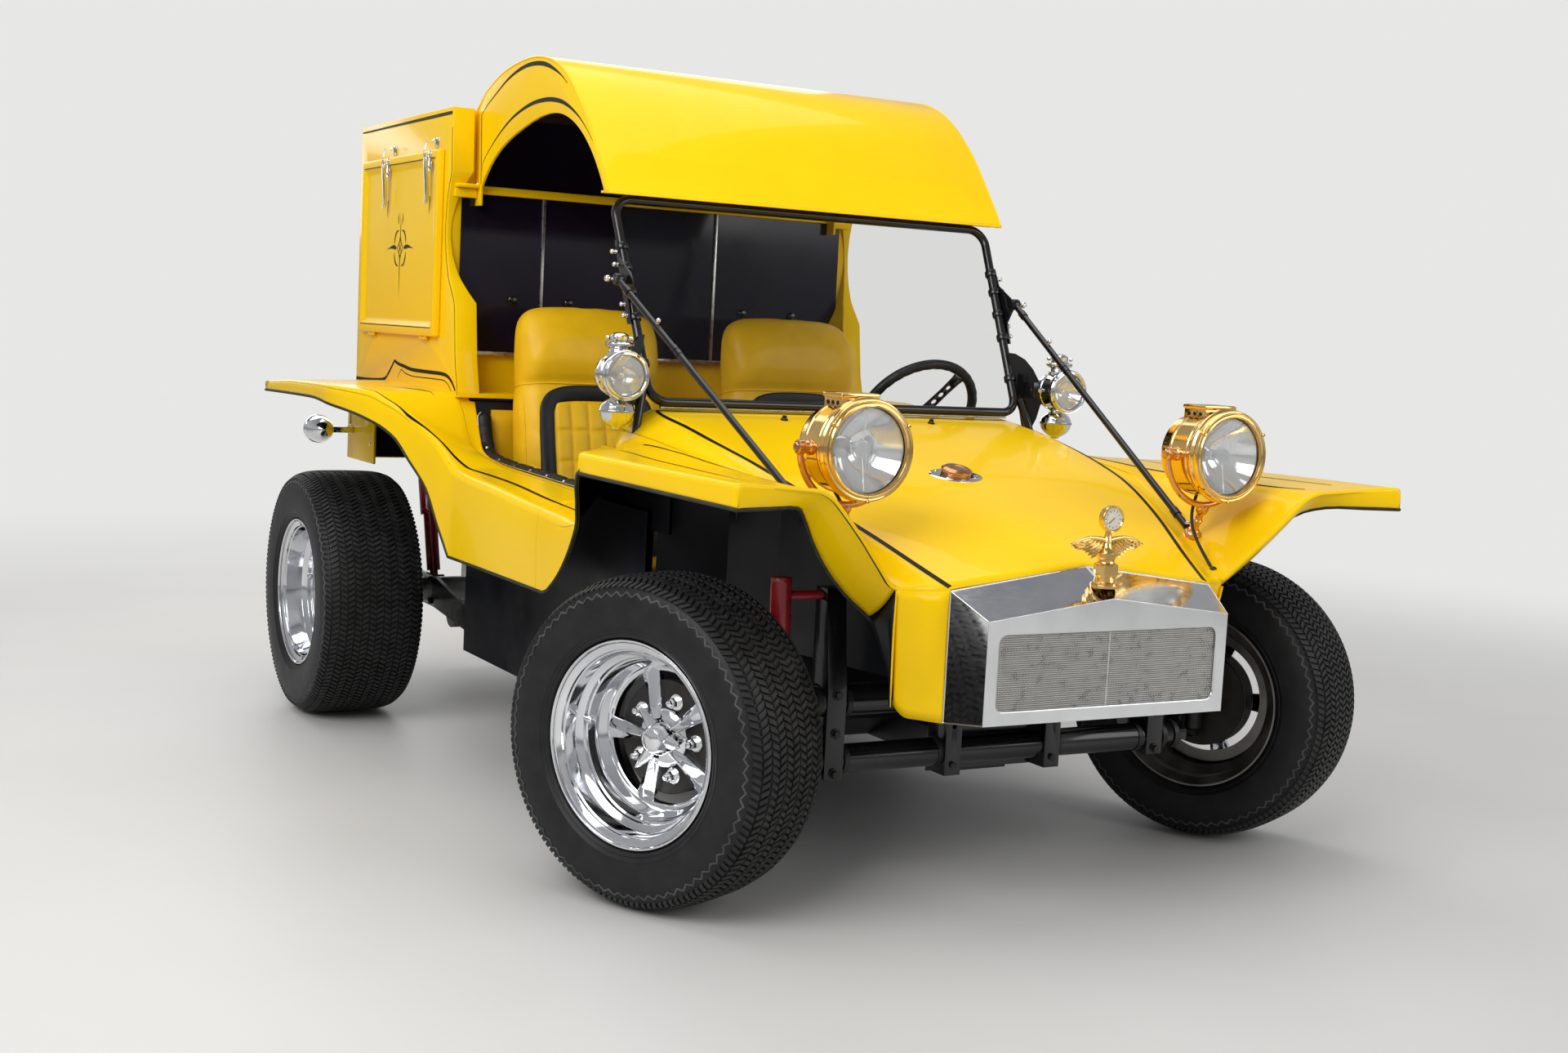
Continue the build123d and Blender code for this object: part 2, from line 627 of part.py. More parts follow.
def make_box():
    """Hollow load box with its forward columns, partition windows and side hatch openings."""
    with BuildPart() as box:
        add(box_side())
        extrude(amount=2 * BOX_SIDE_Y, dir=(0, -1, 0))
        add(box_at((BOX_REAR_X + BOX_WALL, BOX_FRONT_X - BOX_WALL),
                   (-BOX_SIDE_Y + BOX_WALL, BOX_SIDE_Y - BOX_WALL), (BOX_FLOOR_Z + 12, BOX_TOP_Z - BOX_WALL)),
            mode=Mode.SUBTRACT)
        add(column_gap())
        extrude(amount=200, dir=(1, 0, 0), mode=Mode.SUBTRACT)
        with BuildSketch(Plane.YZ.offset(BOX_FRONT_X - 30)):
            with Locations((0, 1255)):
                RectangleRounded(1120, 410, 40)
            with Locations((0, 1600)):
                RectangleRounded(1000, 190, 90)
        extrude(amount=60, mode=Mode.SUBTRACT)
        add(box_at((HATCH_X[0] + 35, HATCH_X[1] - 35), (-700, 700), (HATCH_Z[0] + 35, HATCH_Z[1] - 35)),
            mode=Mode.SUBTRACT)
        for x in hinge_places():
            with BuildPart() as barrel:
                add(hinge_barrel((x - 14.5, x + 14.5), -1))
                add(straight_bar((x - 16, -HATCH_HINGE[0], HATCH_HINGE[1]),
                                 (x + 16, -HATCH_HINGE[0], HATCH_HINGE[1]), HINGE_PIN_R + RUN_FIT),
                    mode=Mode.SUBTRACT)
            add(barrel.part)
            mirror(barrel.part, about=Plane.XZ)
    return box.part


def make_box_windows():
    with BuildPart() as windows:
        with BuildSketch(Plane.YZ.offset(BOX_FRONT_X - 9)):
            with Locations((0, 1255)):
                RectangleRounded(1120, 410, 40)
            with Locations((0, 1600)):
                RectangleRounded(1000, 190, 90)
        extrude(amount=5)
    return windows.part


def make_hatch():
    """Right-hand hatch: raised frame round a sunk panel, with its hinge barrels and pins below."""
    y = -BOX_SIDE_Y - HATCH_GAP
    with BuildPart() as hatch:
        add(box_at(HATCH_X, (y - HATCH_THICK, y), HATCH_Z))
        with BuildSketch(Plane.XZ.offset(-y + HATCH_THICK)):
            with Locations(((HATCH_X[0] + HATCH_X[1]) / 2, (HATCH_Z[0] + HATCH_Z[1]) / 2)):
                Rectangle(HATCH_X[1] - HATCH_X[0] - 80, HATCH_Z[1] - HATCH_Z[0] - 80)
        extrude(amount=-9, taper=20, mode=Mode.SUBTRACT)
        for x in hinge_places():
            for side in (-1, 1):
                add(hinge_barrel(sorted((x + side * 15, x + side * 30)), 1))
            add(straight_bar((x - 30, -HATCH_HINGE[0], HATCH_HINGE[1]),
                             (x + 30, -HATCH_HINGE[0], HATCH_HINGE[1]), HINGE_PIN_R))
    return hatch.part


def make_latches():
    """Right-hand hatch's two draw latches, on the hatch's top rail."""
    y = -BOX_SIDE_Y - HATCH_GAP - HATCH_THICK
    with BuildPart() as latches:
        for x in (-1135, -755):
            add(box_at((x - 13, x + 13), (y - 7, y), (1545, 1602)))
            add(box_at((x - 9, x + 9), (y - 20, y - 7), (1452, 1600)))
    return latches.part


def make_catches():
    """Hooks above the right-hand hatch that the latches' loops go over."""
    with BuildPart() as catches:
        for x in (-1135, -755):
            add(box_at((x - 12, x + 12), (-BOX_SIDE_Y - 22, -BOX_SIDE_Y), (1611, 1640)))
    return catches.part


ROOF_ARCH = [(BOX_FRONT_X, 1719), (-575, 1767), (-426, 1808), (-226, 1818), (-60, 1774), (79, 1668), (180, 1549),
             (250, 1454)]
ROOF_OPENING = [(-612, 1500), (-525, 1572), (-325, 1640), (-190, 1663), (-55, 1660), (70, 1612), (180, 1520),
                (232, 1452)]


def shifted(points, distance):
    """Points moved square to their line, to its right."""
    moved = []
    for i, (x, z) in enumerate(points):
        (x0, z0), (x1, z1) = points[max(i - 1, 0)], points[min(i + 1, len(points) - 1)]
        length = math.hypot(x1 - x0, z1 - z0)
        moved.append((x + (z1 - z0) / length * distance, z - (x1 - x0) / length * distance))
    return moved


def make_roof():
    """Arched roof skin with a fascia down each side and a return at the front."""
    inside = shifted(ROOF_ARCH, SKIN)
    with BuildPart() as roof:
        with BuildSketch(Plane.XZ.offset(-ROOF_SIDE_Y)):
            with BuildLine():
                Spline(*ROOF_ARCH)
                Polyline(ROOF_ARCH[-1], (BOX_FRONT_X, 1454), ROOF_ARCH[0])
            make_face()
        extrude(amount=2 * ROOF_SIDE_Y)
        with BuildSketch(Plane.XZ.offset(-ROOF_SIDE_Y + SKIN)):
            with BuildLine():
                Spline(*inside)
                Polyline(inside[-1], (inside[-1][0], 1400), (-700, 1400), (-700, inside[0][1]), inside[0])
            make_face()
        extrude(amount=2 * (ROOF_SIDE_Y - SKIN), mode=Mode.SUBTRACT)
        with BuildSketch(Plane.XZ.offset(-ROOF_SIDE_Y - 10)):
            with BuildLine():
                Spline(*ROOF_OPENING)
                Polyline(ROOF_OPENING[-1], (232, 1400), (-612, 1400), ROOF_OPENING[0])
            make_face()
        extrude(amount=2 * (ROOF_SIDE_Y + 10), mode=Mode.SUBTRACT)
        add(box_at((198, 246), (-ROOF_SIDE_Y + 5, ROOF_SIDE_Y - 5), (1456, 1462)))
    return roof.part


# Windshield

POST_FOOT = (430, 520, 975)
POST_TOP = (209, 536, 1445)
POST_R = 11


def make_windshield_frame():
    """Closed tube frame, with its two lower corners well rounded."""
    foot, top = POST_FOOT, POST_TOP
    corners = [(top[0], -top[1], top[2]), (foot[0], -foot[1], foot[2]), foot, top]
    with BuildPart() as frame:
        add(bent_bar(corners, 45, POST_R, close=True))
        for side in (-1, 1):
            y = sorted((side * 541, side * 551))
            add(plate_xz([(392, 1005), (425, 1005), (425, 1075), (372, 1075)], *y))
            add(box_at((402, 460), sorted((side * 549, side * 570)), (1015, 1055)))
            add(box_at((385, 412), sorted((side * 528, side * 545)), (1020, 1050)))
    return frame.part


def make_windshield_glass():
    foot, top = POST_FOOT, POST_TOP
    lean = Plane(origin=(foot[0], 0, foot[2]), x_dir=(0, 1, 0),
                 z_dir=(top[2] - foot[2], 0, foot[0] - top[0]))
    height = math.hypot(top[0] - foot[0], top[2] - foot[2])
    inset = POST_R + 0.4
    low_y, high_y = foot[1] - inset, top[1] - inset
    with BuildPart() as glass:
        with BuildSketch(lean.offset(-2.5)):
            with BuildLine():
                FilletPolyline((-low_y, inset), (low_y, inset), (high_y, height - inset),
                               (-high_y, height - inset), radius=34, close=True)
            make_face()
        extrude(amount=5)
    return glass.part


def make_brace():
    """Right-hand brace from the windshield post to the fender."""
    with BuildPart() as brace:
        add(straight_bar((330, -568, 1253), (1155.5, -477, 763), 8))
        add(straight_bar((330, -577, 1253), (330, -559, 1253), 13))
        add(box_at((292, 340), (-559, -540.7), (1243, 1263)))
    return brace.part


# Grille and radiator cap

GRILLE_FRONT = [(-298, 422), (298, 422), (298, 624), (0, 662), (-298, 624)]
GRILLE_BACK = [(-326, 411), (326, 411), (326, 671), (0, 714), (-326, 671)]


def make_grille():
    """Bright shell with a peaked top, tapering forwards, and a framed front opening."""
    with BuildPart() as grille:
        add(section(Plane.YZ.offset(1404), GRILLE_BACK))
        add(section(Plane.YZ.offset(1500), GRILLE_FRONT))
        loft(ruled=True)
        add(section(Plane.YZ.offset(1403), [(y * 0.985, 415 if z < 500 else z - 6) for y, z in GRILLE_BACK]))
        add(section(Plane.YZ.offset(1495), [(y * 0.985, 427 if z < 500 else z - 6) for y, z in GRILLE_FRONT]))
        loft(ruled=True, mode=Mode.SUBTRACT)
        with BuildSketch(Plane.YZ.offset(1480)):
            with Locations((0, 523)):
                RectangleRounded(546, 152, 20)
        extrude(amount=30, mode=Mode.SUBTRACT)
    return grille.part


def make_mesh():
    with BuildPart() as mesh:
        with BuildSketch(Plane.YZ.offset(1492)):
            with Locations((0, 523)):
                RectangleRounded(566, 172, 24)
        extrude(amount=3)
    return mesh.part


def make_radiator_cap():
    """Stepped neck, round dial facing forwards, and a pair of wings."""
    seat = Plane(origin=(1466, 0, 681.5), z_dir=(0.54, 0, 1))
    with BuildPart() as cap:
        add(straight_bar((1466, 0, 650), (1466, 0, 735), 20))
        split(bisect_by=seat, keep=Keep.TOP)
        with BuildSketch(seat):
            Circle(30)
        extrude(amount=6)
        add(straight_bar((1466, 0, 735), (1466, 0, 768), 15))
        add(straight_bar((1466, 0, 766), (1468, 0, 795), 7))
        add(straight_bar((1461, 0, 817), (1482, 0, 817), 27))
        with BuildSketch(Plane.YZ.offset(1462)):
            with BuildLine() as wing:
                Spline((0, 776), (45, 775), (80, 781), (97, 793), tangents=[(1, 0), (1, 1.2)])
                Spline((97, 793), (84, 768), (50, 757), (0, 755), tangents=[(-0.2, -1), (-1, 0)])
                Line((0, 755), (0, 776))
            make_face()
            mirror(about=Plane.YZ)
        extrude(amount=8)
    return cap.part


# Lamps

def make_headlamp():
    """Right-hand headlamp: stepped drum, wide rim and vent housing."""
    x, y, z = LAMP_FRONT[0], -LAMP_FRONT[1], LAMP_FRONT[2]
    with BuildPart() as lamp:
        with BuildSketch(Plane(origin=(x, y, z), x_dir=(0, 0, 1), z_dir=(0, 1, 0))):
            with BuildLine():
                Polyline((0, -8), (100, -8), (103, -22), (98, -30), (92, -34), (90, -60), (90, -100),
                         (86, -104), (86, -135), (70, -150), (0, -154), close=True)
            make_face()
        revolve(axis=Axis((x, y, z), (1, 0, 0)))
        with BuildSketch(Plane(origin=(x + 1, y, z), z_dir=(-1, 0, 0))):
            Circle(83)
        extrude(amount=19, mode=Mode.SUBTRACT)
        add(box_at((x - 120, x - 50), (y - 45, y + 45), (z + 60, z + 108)))
    return lamp.part


def make_lamp_lens():
    """Right-hand headlamp's and cowl lamp's glasses."""
    with BuildPart() as lens:
        with BuildSketch(Plane(origin=(LAMP_FRONT[0] - 18, -LAMP_FRONT[1], LAMP_FRONT[2]), z_dir=(1, 0, 0))):
            Circle(82.8)
        extrude(amount=8)
        with BuildSketch(Plane(origin=(COWL_LAMP[0] - 10, -COWL_LAMP[1], COWL_LAMP[2]), z_dir=(1, 0, 0))):
            Circle(44.8)
        extrude(amount=6)
    return lens.part


def make_lamp_fork():
    """Half hoop under the right-hand headlamp, its pivots, and the stem down to the fender."""
    x, y, z = LAMP_FRONT[0] - 80, -LAMP_FRONT[1], LAMP_FRONT[2]
    foot_x, foot_y, foot_z = LAMP_FOOT[0], -LAMP_FOOT[1], LAMP_FOOT[2]
    with BuildPart() as fork:
        with BuildSketch(Plane.XY.offset(z)):
            with Locations((x, y + 112)):
                Circle(7)
        revolve(axis=Axis((x, y, z), (1, 0, 0)), revolution_arc=-180)
        for side in (-1, 1):
            add(straight_bar((x, y + side * 90, z), (x, y + side * 124, z), 11))
        add(straight_bar((x, y, z - 110), (foot_x, foot_y, foot_z + 10), 8))
        add(straight_bar((foot_x, foot_y, foot_z + 4), (foot_x, foot_y, foot_z + 22), 17))
        add(straight_bar((foot_x, foot_y, foot_z - 5), (foot_x, foot_y, foot_z + 6), 6))
    return fork.part


def make_cowl_lamp():
    """Right-hand cowl lamp: drum with a wide rim, stacked chimney and a font below."""
    x, y, z = COWL_LAMP[0], -COWL_LAMP[1], COWL_LAMP[2]
    with BuildPart() as lamp:
        with BuildSketch(Plane(origin=(x, y, z), x_dir=(0, 0, 1), z_dir=(0, 1, 0))):
            with BuildLine():
                Polyline((0, 0), (48, 0), (57, -6), (57, -18), (50, -24), (50, -80), (36, -96), (0, -100),
                         close=True)
            make_face()
        revolve(axis=Axis((x, y, z), (1, 0, 0)))
        add(straight_bar((x - 52, y, z + 45), (x - 52, y, z + 72), 26))
        add(straight_bar((x - 52, y, z + 66), (x - 52, y, z + 78), 34))
        add(straight_bar((x - 52, y, z + 76), (x - 52, y, z + 96), 22))
        with Locations((x - 52, y, z - 82)):
            Sphere(40)
        with BuildSketch(Plane(origin=(x + 1, y, z), z_dir=(-1, 0, 0))):
            Circle(45)
        extrude(amount=11, mode=Mode.SUBTRACT)
    return lamp.part


def make_tail_lamp():
    """Right-hand tail lamp: bullet body on the tail plate, lens at the back."""
    with BuildPart() as lamp:
        with BuildSketch(Plane(origin=(-1400, -770, 780), x_dir=(0, 0, 1), z_dir=(0, 1, 0))):
            with BuildLine():
                Polyline((0, 40), (22, 30), (38, 0), (44, -50), (0, -50), close=True)
            make_face()
        revolve(axis=Axis((-1400, -770, 780), (1, 0, 0)))
        add(box_at((-1440, -1410), (-735, -666), (770, 790)))
        with BuildSketch(Plane(origin=(-1450, -770, 780), z_dir=(1, 0, 0))):
            Circle(38)
        extrude(amount=8, mode=Mode.SUBTRACT)
    return lamp.part


def make_tail_lens():
    with BuildPart() as lens:
        with BuildSketch(Plane(origin=(-1442, -770, 780), z_dir=(-1, 0, 0))):
            Circle(37.8)
        extrude(amount=20, taper=25)
    return lens.part


# Lamp lead: from the back of the drum, down and forward to a grommet in the fender.
LEAD = [(1190, -470, 844), (1198, -452, 815), (1210, -440, 780), (1238, -433, 745), (1272, -431, 712),
        (1300, -431, 685)]
LEAD_R = 3.5


def lead_radii(points):
    """Largest arcs that both runs at a corner leave room for."""
    radii = []
    for a, b, c in zip(points, points[1:], points[2:]):
        one, two = Vector(*b) - Vector(*a), Vector(*c) - Vector(*b)
        turn = math.radians(one.get_angle(two))
        radii.append(0.45 * min(one.length, two.length) / math.tan(turn / 2))
    return radii


def make_lamp_lead():
    """Right-hand headlamp's lead."""
    radii = lead_radii(LEAD)
    print("lamp lead radii", [round(r) for r in radii])
    with BuildPart() as lead:
        with BuildLine() as path:
            FilletPolyline(*LEAD, radius=radii)
        print("lamp lead length", round(path.wires()[0].length))
        with BuildSketch(Plane(origin=path.line @ 0, z_dir=path.line % 0)):
            Circle(LEAD_R)
        sweep()
    return lead.part


# Cabin

def make_seat_back():
    """Right-hand seat back with its head pad, as one plain soft block."""
    y = -SEAT_Y
    with BuildPart() as back:
        add(plate_xz([(-250, 470), (-358, 990), (-340, 1020), (-372, 1160), (-405, 1197), (-465, 1203),
                      (-520, 1160), (-430, 470)],
                     y - 228, y + 228))
        fillet(back.edges().filter_by(Axis.Y, reverse=True), 18)
    return back.part


def make_seat_cushion():
    y = -SEAT_Y
    with BuildPart() as cushion:
        add(plate_xz([(-430, 320), (-430, 469.7), (-245, 469.7), (180, 500), (225, 470), (225, 340), (180, 320)],
                     y - 228, y + 228))
        fillet(cushion.edges().filter_by(Axis.Y, reverse=True), 18)
    return cushion.part


def make_seat_frame():
    """Two rails and cross plates that carry the right-hand seat."""
    y = -SEAT_Y
    with BuildPart() as frame:
        for side in (-1, 1):
            add(box_at((-400, 180), (y + side * 170 - 15, y + side * 170 + 15), (FLOOR_Z + 5, 312)))
        add(box_at((-420, 200), (y - 215, y + 215), (312, 320)))
    return frame.part


def make_coaming():
    """Right-hand padded roll along the cockpit's edge."""
    y = -TUB_IN_Y + 19
    return bent_bar([(-518, y, 890), (-497, y, 815), (-450, y, 772), (-340, y, 762), (-224, y, 757),
                     (30, y, 750), (330, y, 742)], 30, 19)


def make_dashboard():
    with BuildPart() as dash:
        add(box_at((402, 414), (-480, 480), (800, 947)))
        add(straight_bar(column_point(100), column_point(300), 24), mode=Mode.SUBTRACT)
    return dash.part


def column_point(distance):
    """Point on the steering column, distance below the wheel's centre."""
    lean = math.radians(COLUMN_DEG)
    x, y, z = WHEEL_CENTRE
    return (x + math.cos(lean) * distance, y, z - math.sin(lean) * distance)


def make_column():
    with BuildPart() as column:
        add(straight_bar(column_point(32.5), column_point(640), 23))
    return column.part


def make_steering_wheel():
    """Padded rim, three drilled spokes and hub, square to the column."""
    lean = math.radians(COLUMN_DEG)
    flat = Plane(origin=WHEEL_CENTRE, x_dir=(0, 1, 0), z_dir=(-math.cos(lean), 0, math.sin(lean)))
    with BuildPart() as wheel:
        with BuildSketch(Plane(origin=WHEEL_CENTRE, x_dir=(0, 1, 0), z_dir=flat.y_dir)):
            with Locations((165, 0)):
                Circle(13)
        revolve(axis=Axis(WHEEL_CENTRE, flat.z_dir))
        with BuildSketch(flat.offset(-32)):
            Circle(32)
        extrude(amount=30)
        with BuildSketch(flat.offset(-8)):
            with PolarLocations(0, 3, start_angle=-90):
                with Locations((94, 0)):
                    Rectangle(130, 32)
        extrude(amount=4)
        with BuildSketch(flat.offset(-20)):
            with PolarLocations(0, 3, start_angle=-90):
                with Locations((62, 0), (88, 0), (114, 0)):
                    Circle(8)
        extrude(amount=12, mode=Mode.SUBTRACT)
    return wheel.part


def make_filler_cap():
    with BuildPart() as cap:
        with BuildSketch(Plane(origin=(927, 0, 845), z_dir=(0.24, 0, 1))):
            Ellipse(42, 62)
        extrude(amount=4)
        with BuildSketch(Plane(origin=(928, 0, 848), z_dir=(0.24, 0, 1))):
            Circle(33)
        extrude(amount=18)
    return cap.part


def make_controls():
    """Gear lever on the tunnel, and three pedals on a cross shaft at the floor."""
    with BuildPart() as controls:
        add(straight_bar((150, 0, 356), (185, 0, 560), 7))
        with Locations((186, 0, 570)):
            Sphere(22)
        with BuildSketch(Plane.XY.offset(350)):
            with Locations((150, 0)):
                Circle(36)
        extrude(amount=22, taper=30)
        for y in (240, 320, 400):
            add(straight_bar((600, y, 255), (570, y, 400), 8))
            add(box_at((556, 570), (y - 30, y + 30), (375, 445)))
        add(straight_bar((600, 200, 247.5), (600, 430, 247.5), 12))
    return controls.part


def make_bulkhead_pad():
    """Padded panel behind the seats."""
    return box_at((-540, -522), (-545, 545), (520, 900))


for wheel in WHEELS:
    save(make_tyre(wheel), "tyre_" + wheel["name"])
    save(make_rim(wheel), "rim_" + wheel["name"])
    save(make_drum(wheel), "drum_" + wheel["name"])

# Pieces on the centre line, or made for both sides at once.
SINGLE = {
    "floor_pan": make_floor_pan, "front_beam": make_beam, "tie_rod": make_tie_rod,
    "transaxle": make_transaxle, "rear_springs": make_rear_springs, "engine": make_engine,
    "exhaust": make_exhaust, "body_tub": make_body, "inner_front": make_inner_front,
    "load_box": make_box, "box_windows": make_box_windows, "roof": make_roof,
    "windshield_frame": make_windshield_frame, "windshield_glass": make_windshield_glass,
    "grille_shell": make_grille, "grille_mesh": make_mesh, "radiator_cap": make_radiator_cap,
    "dashboard": make_dashboard, "steering_column": make_column, "steering_wheel": make_steering_wheel,
    "filler_cap": make_filler_cap, "cabin_controls": make_controls, "bulkhead_pad": make_bulkhead_pad,
}
# Pieces made on the right and mirrored, both on the same body.
PAIRED = {
    "axle_links": make_link, "dampers": make_dampers, "latch_catches": make_catches,
    "windshield_braces": make_brace, "headlamps": make_headlamp, "lamp_lenses": make_lamp_lens,
    "lamp_forks": make_lamp_fork, "cowl_lamps": make_cowl_lamp, "tail_lamps": make_tail_lamp,
    "tail_lenses": make_tail_lens, "lamp_leads": make_lamp_lead, "seat_frames": make_seat_frame,
    "coamings": make_coaming,
}
# Pieces made on the right and mirrored, each side its own node.
HANDED = {"hatch": make_hatch, "latches": make_latches, "seat_back": make_seat_back,
          "seat_cushion": make_seat_cushion}

for name, make in SINGLE.items():
    save(make(), name)
for name, make in PAIRED.items():
    save(pair(make()), name)
for name, make in HANDED.items():
    piece = make()
    save(piece, name + "_right")
    save(mirrored(piece), name + "_left")
save(make_knuckle(FRONT_RIGHT, -1), "knuckle_right")
save(make_knuckle(FRONT_LEFT, 1), "knuckle_left")
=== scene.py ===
import json
import math
from collections import namedtuple

import bmesh
import bpy
from mathutils import Matrix, Vector
from mathutils.bvhtree import BVHTree


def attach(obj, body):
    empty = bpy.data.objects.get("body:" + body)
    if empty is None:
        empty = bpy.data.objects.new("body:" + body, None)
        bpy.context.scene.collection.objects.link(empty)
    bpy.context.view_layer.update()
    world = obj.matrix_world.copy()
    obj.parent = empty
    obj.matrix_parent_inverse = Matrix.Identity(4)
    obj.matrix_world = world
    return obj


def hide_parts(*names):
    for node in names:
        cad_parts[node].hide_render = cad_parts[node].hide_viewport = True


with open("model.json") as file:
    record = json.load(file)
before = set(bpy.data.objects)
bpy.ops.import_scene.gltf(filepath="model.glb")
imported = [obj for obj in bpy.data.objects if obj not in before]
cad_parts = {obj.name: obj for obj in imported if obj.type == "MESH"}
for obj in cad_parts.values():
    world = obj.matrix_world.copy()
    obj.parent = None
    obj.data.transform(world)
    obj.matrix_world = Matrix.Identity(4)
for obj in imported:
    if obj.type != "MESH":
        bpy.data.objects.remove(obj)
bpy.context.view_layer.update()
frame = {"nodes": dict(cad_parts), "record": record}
nodes = frame["nodes"]

# Measures in metres, as the solids have them: +X forward, +Y left, +Z up.
STEER = math.radians(24.4)
RIM_LIP_R = 0.2075

# The photograph's camera.
CAMERA_AT = Vector((4.3724, -2.3818, 1.1447))
CAMERA_RIGHT = Vector((0.48770004, 0.87150933, 0.05118755))
CAMERA_UP = Vector((-0.1133223, 0.00506035, 0.99354539))
CAMERA_LENS = 43.255


# Materials

M = {}


def new_material(name):
    """Node tree and shader of a new material, which M keeps under its name."""
    M[name] = bpy.data.materials.new(name)
    M[name].use_nodes = True
    tree = M[name].node_tree
    return tree, tree.nodes["Principled BSDF"]


INPUTS = {"metallic": "Metallic", "coat": "Coat Weight", "coat_roughness": "Coat Roughness",
          "specular": "Specular IOR Level", "alpha": "Alpha", "ior": "IOR"}


def object_noise(tree, scale, detail=4.0, stretch=(1, 1, 1)):
    """Noise in the object's own coordinates."""
    coords = tree.nodes.new("ShaderNodeTexCoord")
    mapping = tree.nodes.new("ShaderNodeMapping")
    mapping.inputs["Scale"].default_value = stretch
    noise = tree.nodes.new("ShaderNodeTexNoise")
    noise.inputs["Scale"].default_value = scale
    noise.inputs["Detail"].default_value = detail
    tree.links.new(coords.outputs["Object"], mapping.inputs["Vector"])
    tree.links.new(mapping.outputs["Vector"], noise.inputs["Vector"])
    return noise


def ramp(tree, source, stops):
    """Colour ramp on a source's factor; stops are (place, colour)."""
    node = tree.nodes.new("ShaderNodeValToRGB")
    elements = node.color_ramp.elements
    while len(elements) < len(stops):
        elements.new(0.5)
    for element, (place, colour) in zip(elements, stops):
        element.position = place
        element.color = (*colour, 1)
    tree.links.new(source, node.inputs["Fac"])
    return node


def value_range(tree, source, low, high, from_low=0.0, from_high=1.0):
    """A source's range mapped onto another."""
    node = tree.nodes.new("ShaderNodeMapRange")
    node.inputs["From Min"].default_value = from_low
    node.inputs["From Max"].default_value = from_high
    node.inputs["To Min"].default_value = low
    node.inputs["To Max"].default_value = high
    tree.links.new(source, node.inputs["Value"])
    return node


def mottled(tree, shader, noise, dark, light, places=(0.3, 0.7)):
    """Base colour between two close tones, by a noise."""
    colour = ramp(tree, noise.outputs["Fac"], list(zip(places, (dark, light))))
    tree.links.new(colour.outputs["Color"], shader.inputs["Base Color"])


def uneven(tree, shader, noise, *limits):
    """Roughness between two limits, by a noise."""
    gloss = value_range(tree, noise.outputs["Fac"], *limits)
    tree.links.new(gloss.outputs["Result"], shader.inputs["Roughness"])


def constants(shader, **values):
    """Plain values of the shader's inputs, by their names in small letters."""
    for name, value in values.items():
        shader.inputs[INPUTS[name]].default_value = value


def soft_edges(tree, node, radius):
    """Normals that round off sharp edges, under a bump node."""
    edge = tree.nodes.new("ShaderNodeBevel")
    edge.samples = 4
    edge.inputs["Radius"].default_value = radius
    tree.links.new(edge.outputs["Normal"], node.inputs["Normal"])


def bump(tree, shader, height, strength, distance):
    """Bump from a height into the shader's normal."""
    node = tree.nodes.new("ShaderNodeBump")
    node.inputs["Strength"].default_value = strength
    node.inputs["Distance"].default_value = distance
    tree.links.new(height, node.inputs["Height"])
    tree.links.new(node.outputs["Normal"], shader.inputs["Normal"])
    return node


def surface(name, dark, light, roughness, metallic=0.0, scale=18.0, coat=0.0, bump_scale=400.0,
            bump_strength=0.05, bump_distance=0.0005, specular=0.5):
    """General worn finish: two close colours, uneven gloss and a fine bump."""
    tree, shader = new_material(name)
    noise = object_noise(tree, scale)
    mottled(tree, shader, noise, dark, light)
    uneven(tree, shader, noise, *roughness, 0.3, 0.7)
    constants(shader, metallic=metallic, coat=coat, coat_roughness=0.04, specular=specular)
    grain = object_noise(tree, bump_scale, 2.0)
    bump(tree, shader, grain.outputs["Fac"], bump_strength, bump_distance)


def paint(name, dark, light):
    """Gloss enamel: faint mottling under a clear coat, softened edges and a little ripple."""
    tree, shader = new_material(name)
    mottled(tree, shader, object_noise(tree, 2.3, 5.0), dark, light, (0.35, 0.65))
    uneven(tree, shader, object_noise(tree, 60, 3.0), 0.16, 0.24)
    constants(shader, coat=0.17, coat_roughness=0.04, specular=0.06)
    ripple = object_noise(tree, 9, 1.0)
    soft_edges(tree, bump(tree, shader, ripple.outputs["Fac"], 0.08, 0.002), 0.003)


def polished(name, dark, light, roughness=(0.04, 0.14)):
    """Plated or polished metal with faint smears and softened edges."""
    tree, shader = new_material(name)
    mottled(tree, shader, object_noise(tree, 7.0, 6.0), dark, light, (0.35, 0.65))
    smear = object_noise(tree, 35, 8.0, (1, 1, 5))
    uneven(tree, shader, smear, *roughness, 0.35, 0.7)
    constants(shader, metallic=1.0)
    soft_edges(tree, bump(tree, shader, smear.outputs["Fac"], 0.03, 0.0006), 0.0015)


def glass(name, tint, roughness, alpha):
    """Thin glass: mostly clear, tinted, with a faint film on it."""
    tree, shader = new_material(name)
    noise = object_noise(tree, 5.0, 4.0)
    mottled(tree, shader, noise, tuple(0.92 * c for c in tint), tint)
    uneven(tree, shader, noise, roughness, roughness + 0.05, 0.4, 0.8)
    constants(shader, alpha=alpha, ior=1.5)


def vinyl(name, dark, light):
    """Grained vinyl: soft sheen, pebble grain and slight wear in colour."""
    tree, shader = new_material(name)
    noise = object_noise(tree, 14, 6.0)
    mottled(tree, shader, noise, dark, light)
    uneven(tree, shader, noise, 0.34, 0.48)
    coords = tree.nodes.new("ShaderNodeTexCoord")
    pebble = tree.nodes.new("ShaderNodeTexVoronoi")
    pebble.inputs["Scale"].default_value = 900.0
    tree.links.new(coords.outputs["Object"], pebble.inputs["Vector"])
    bump(tree, shader, pebble.outputs["Distance"], 0.25, 0.0004)
    constants(shader, coat=0.06, coat_roughness=0.25, specular=0.22)


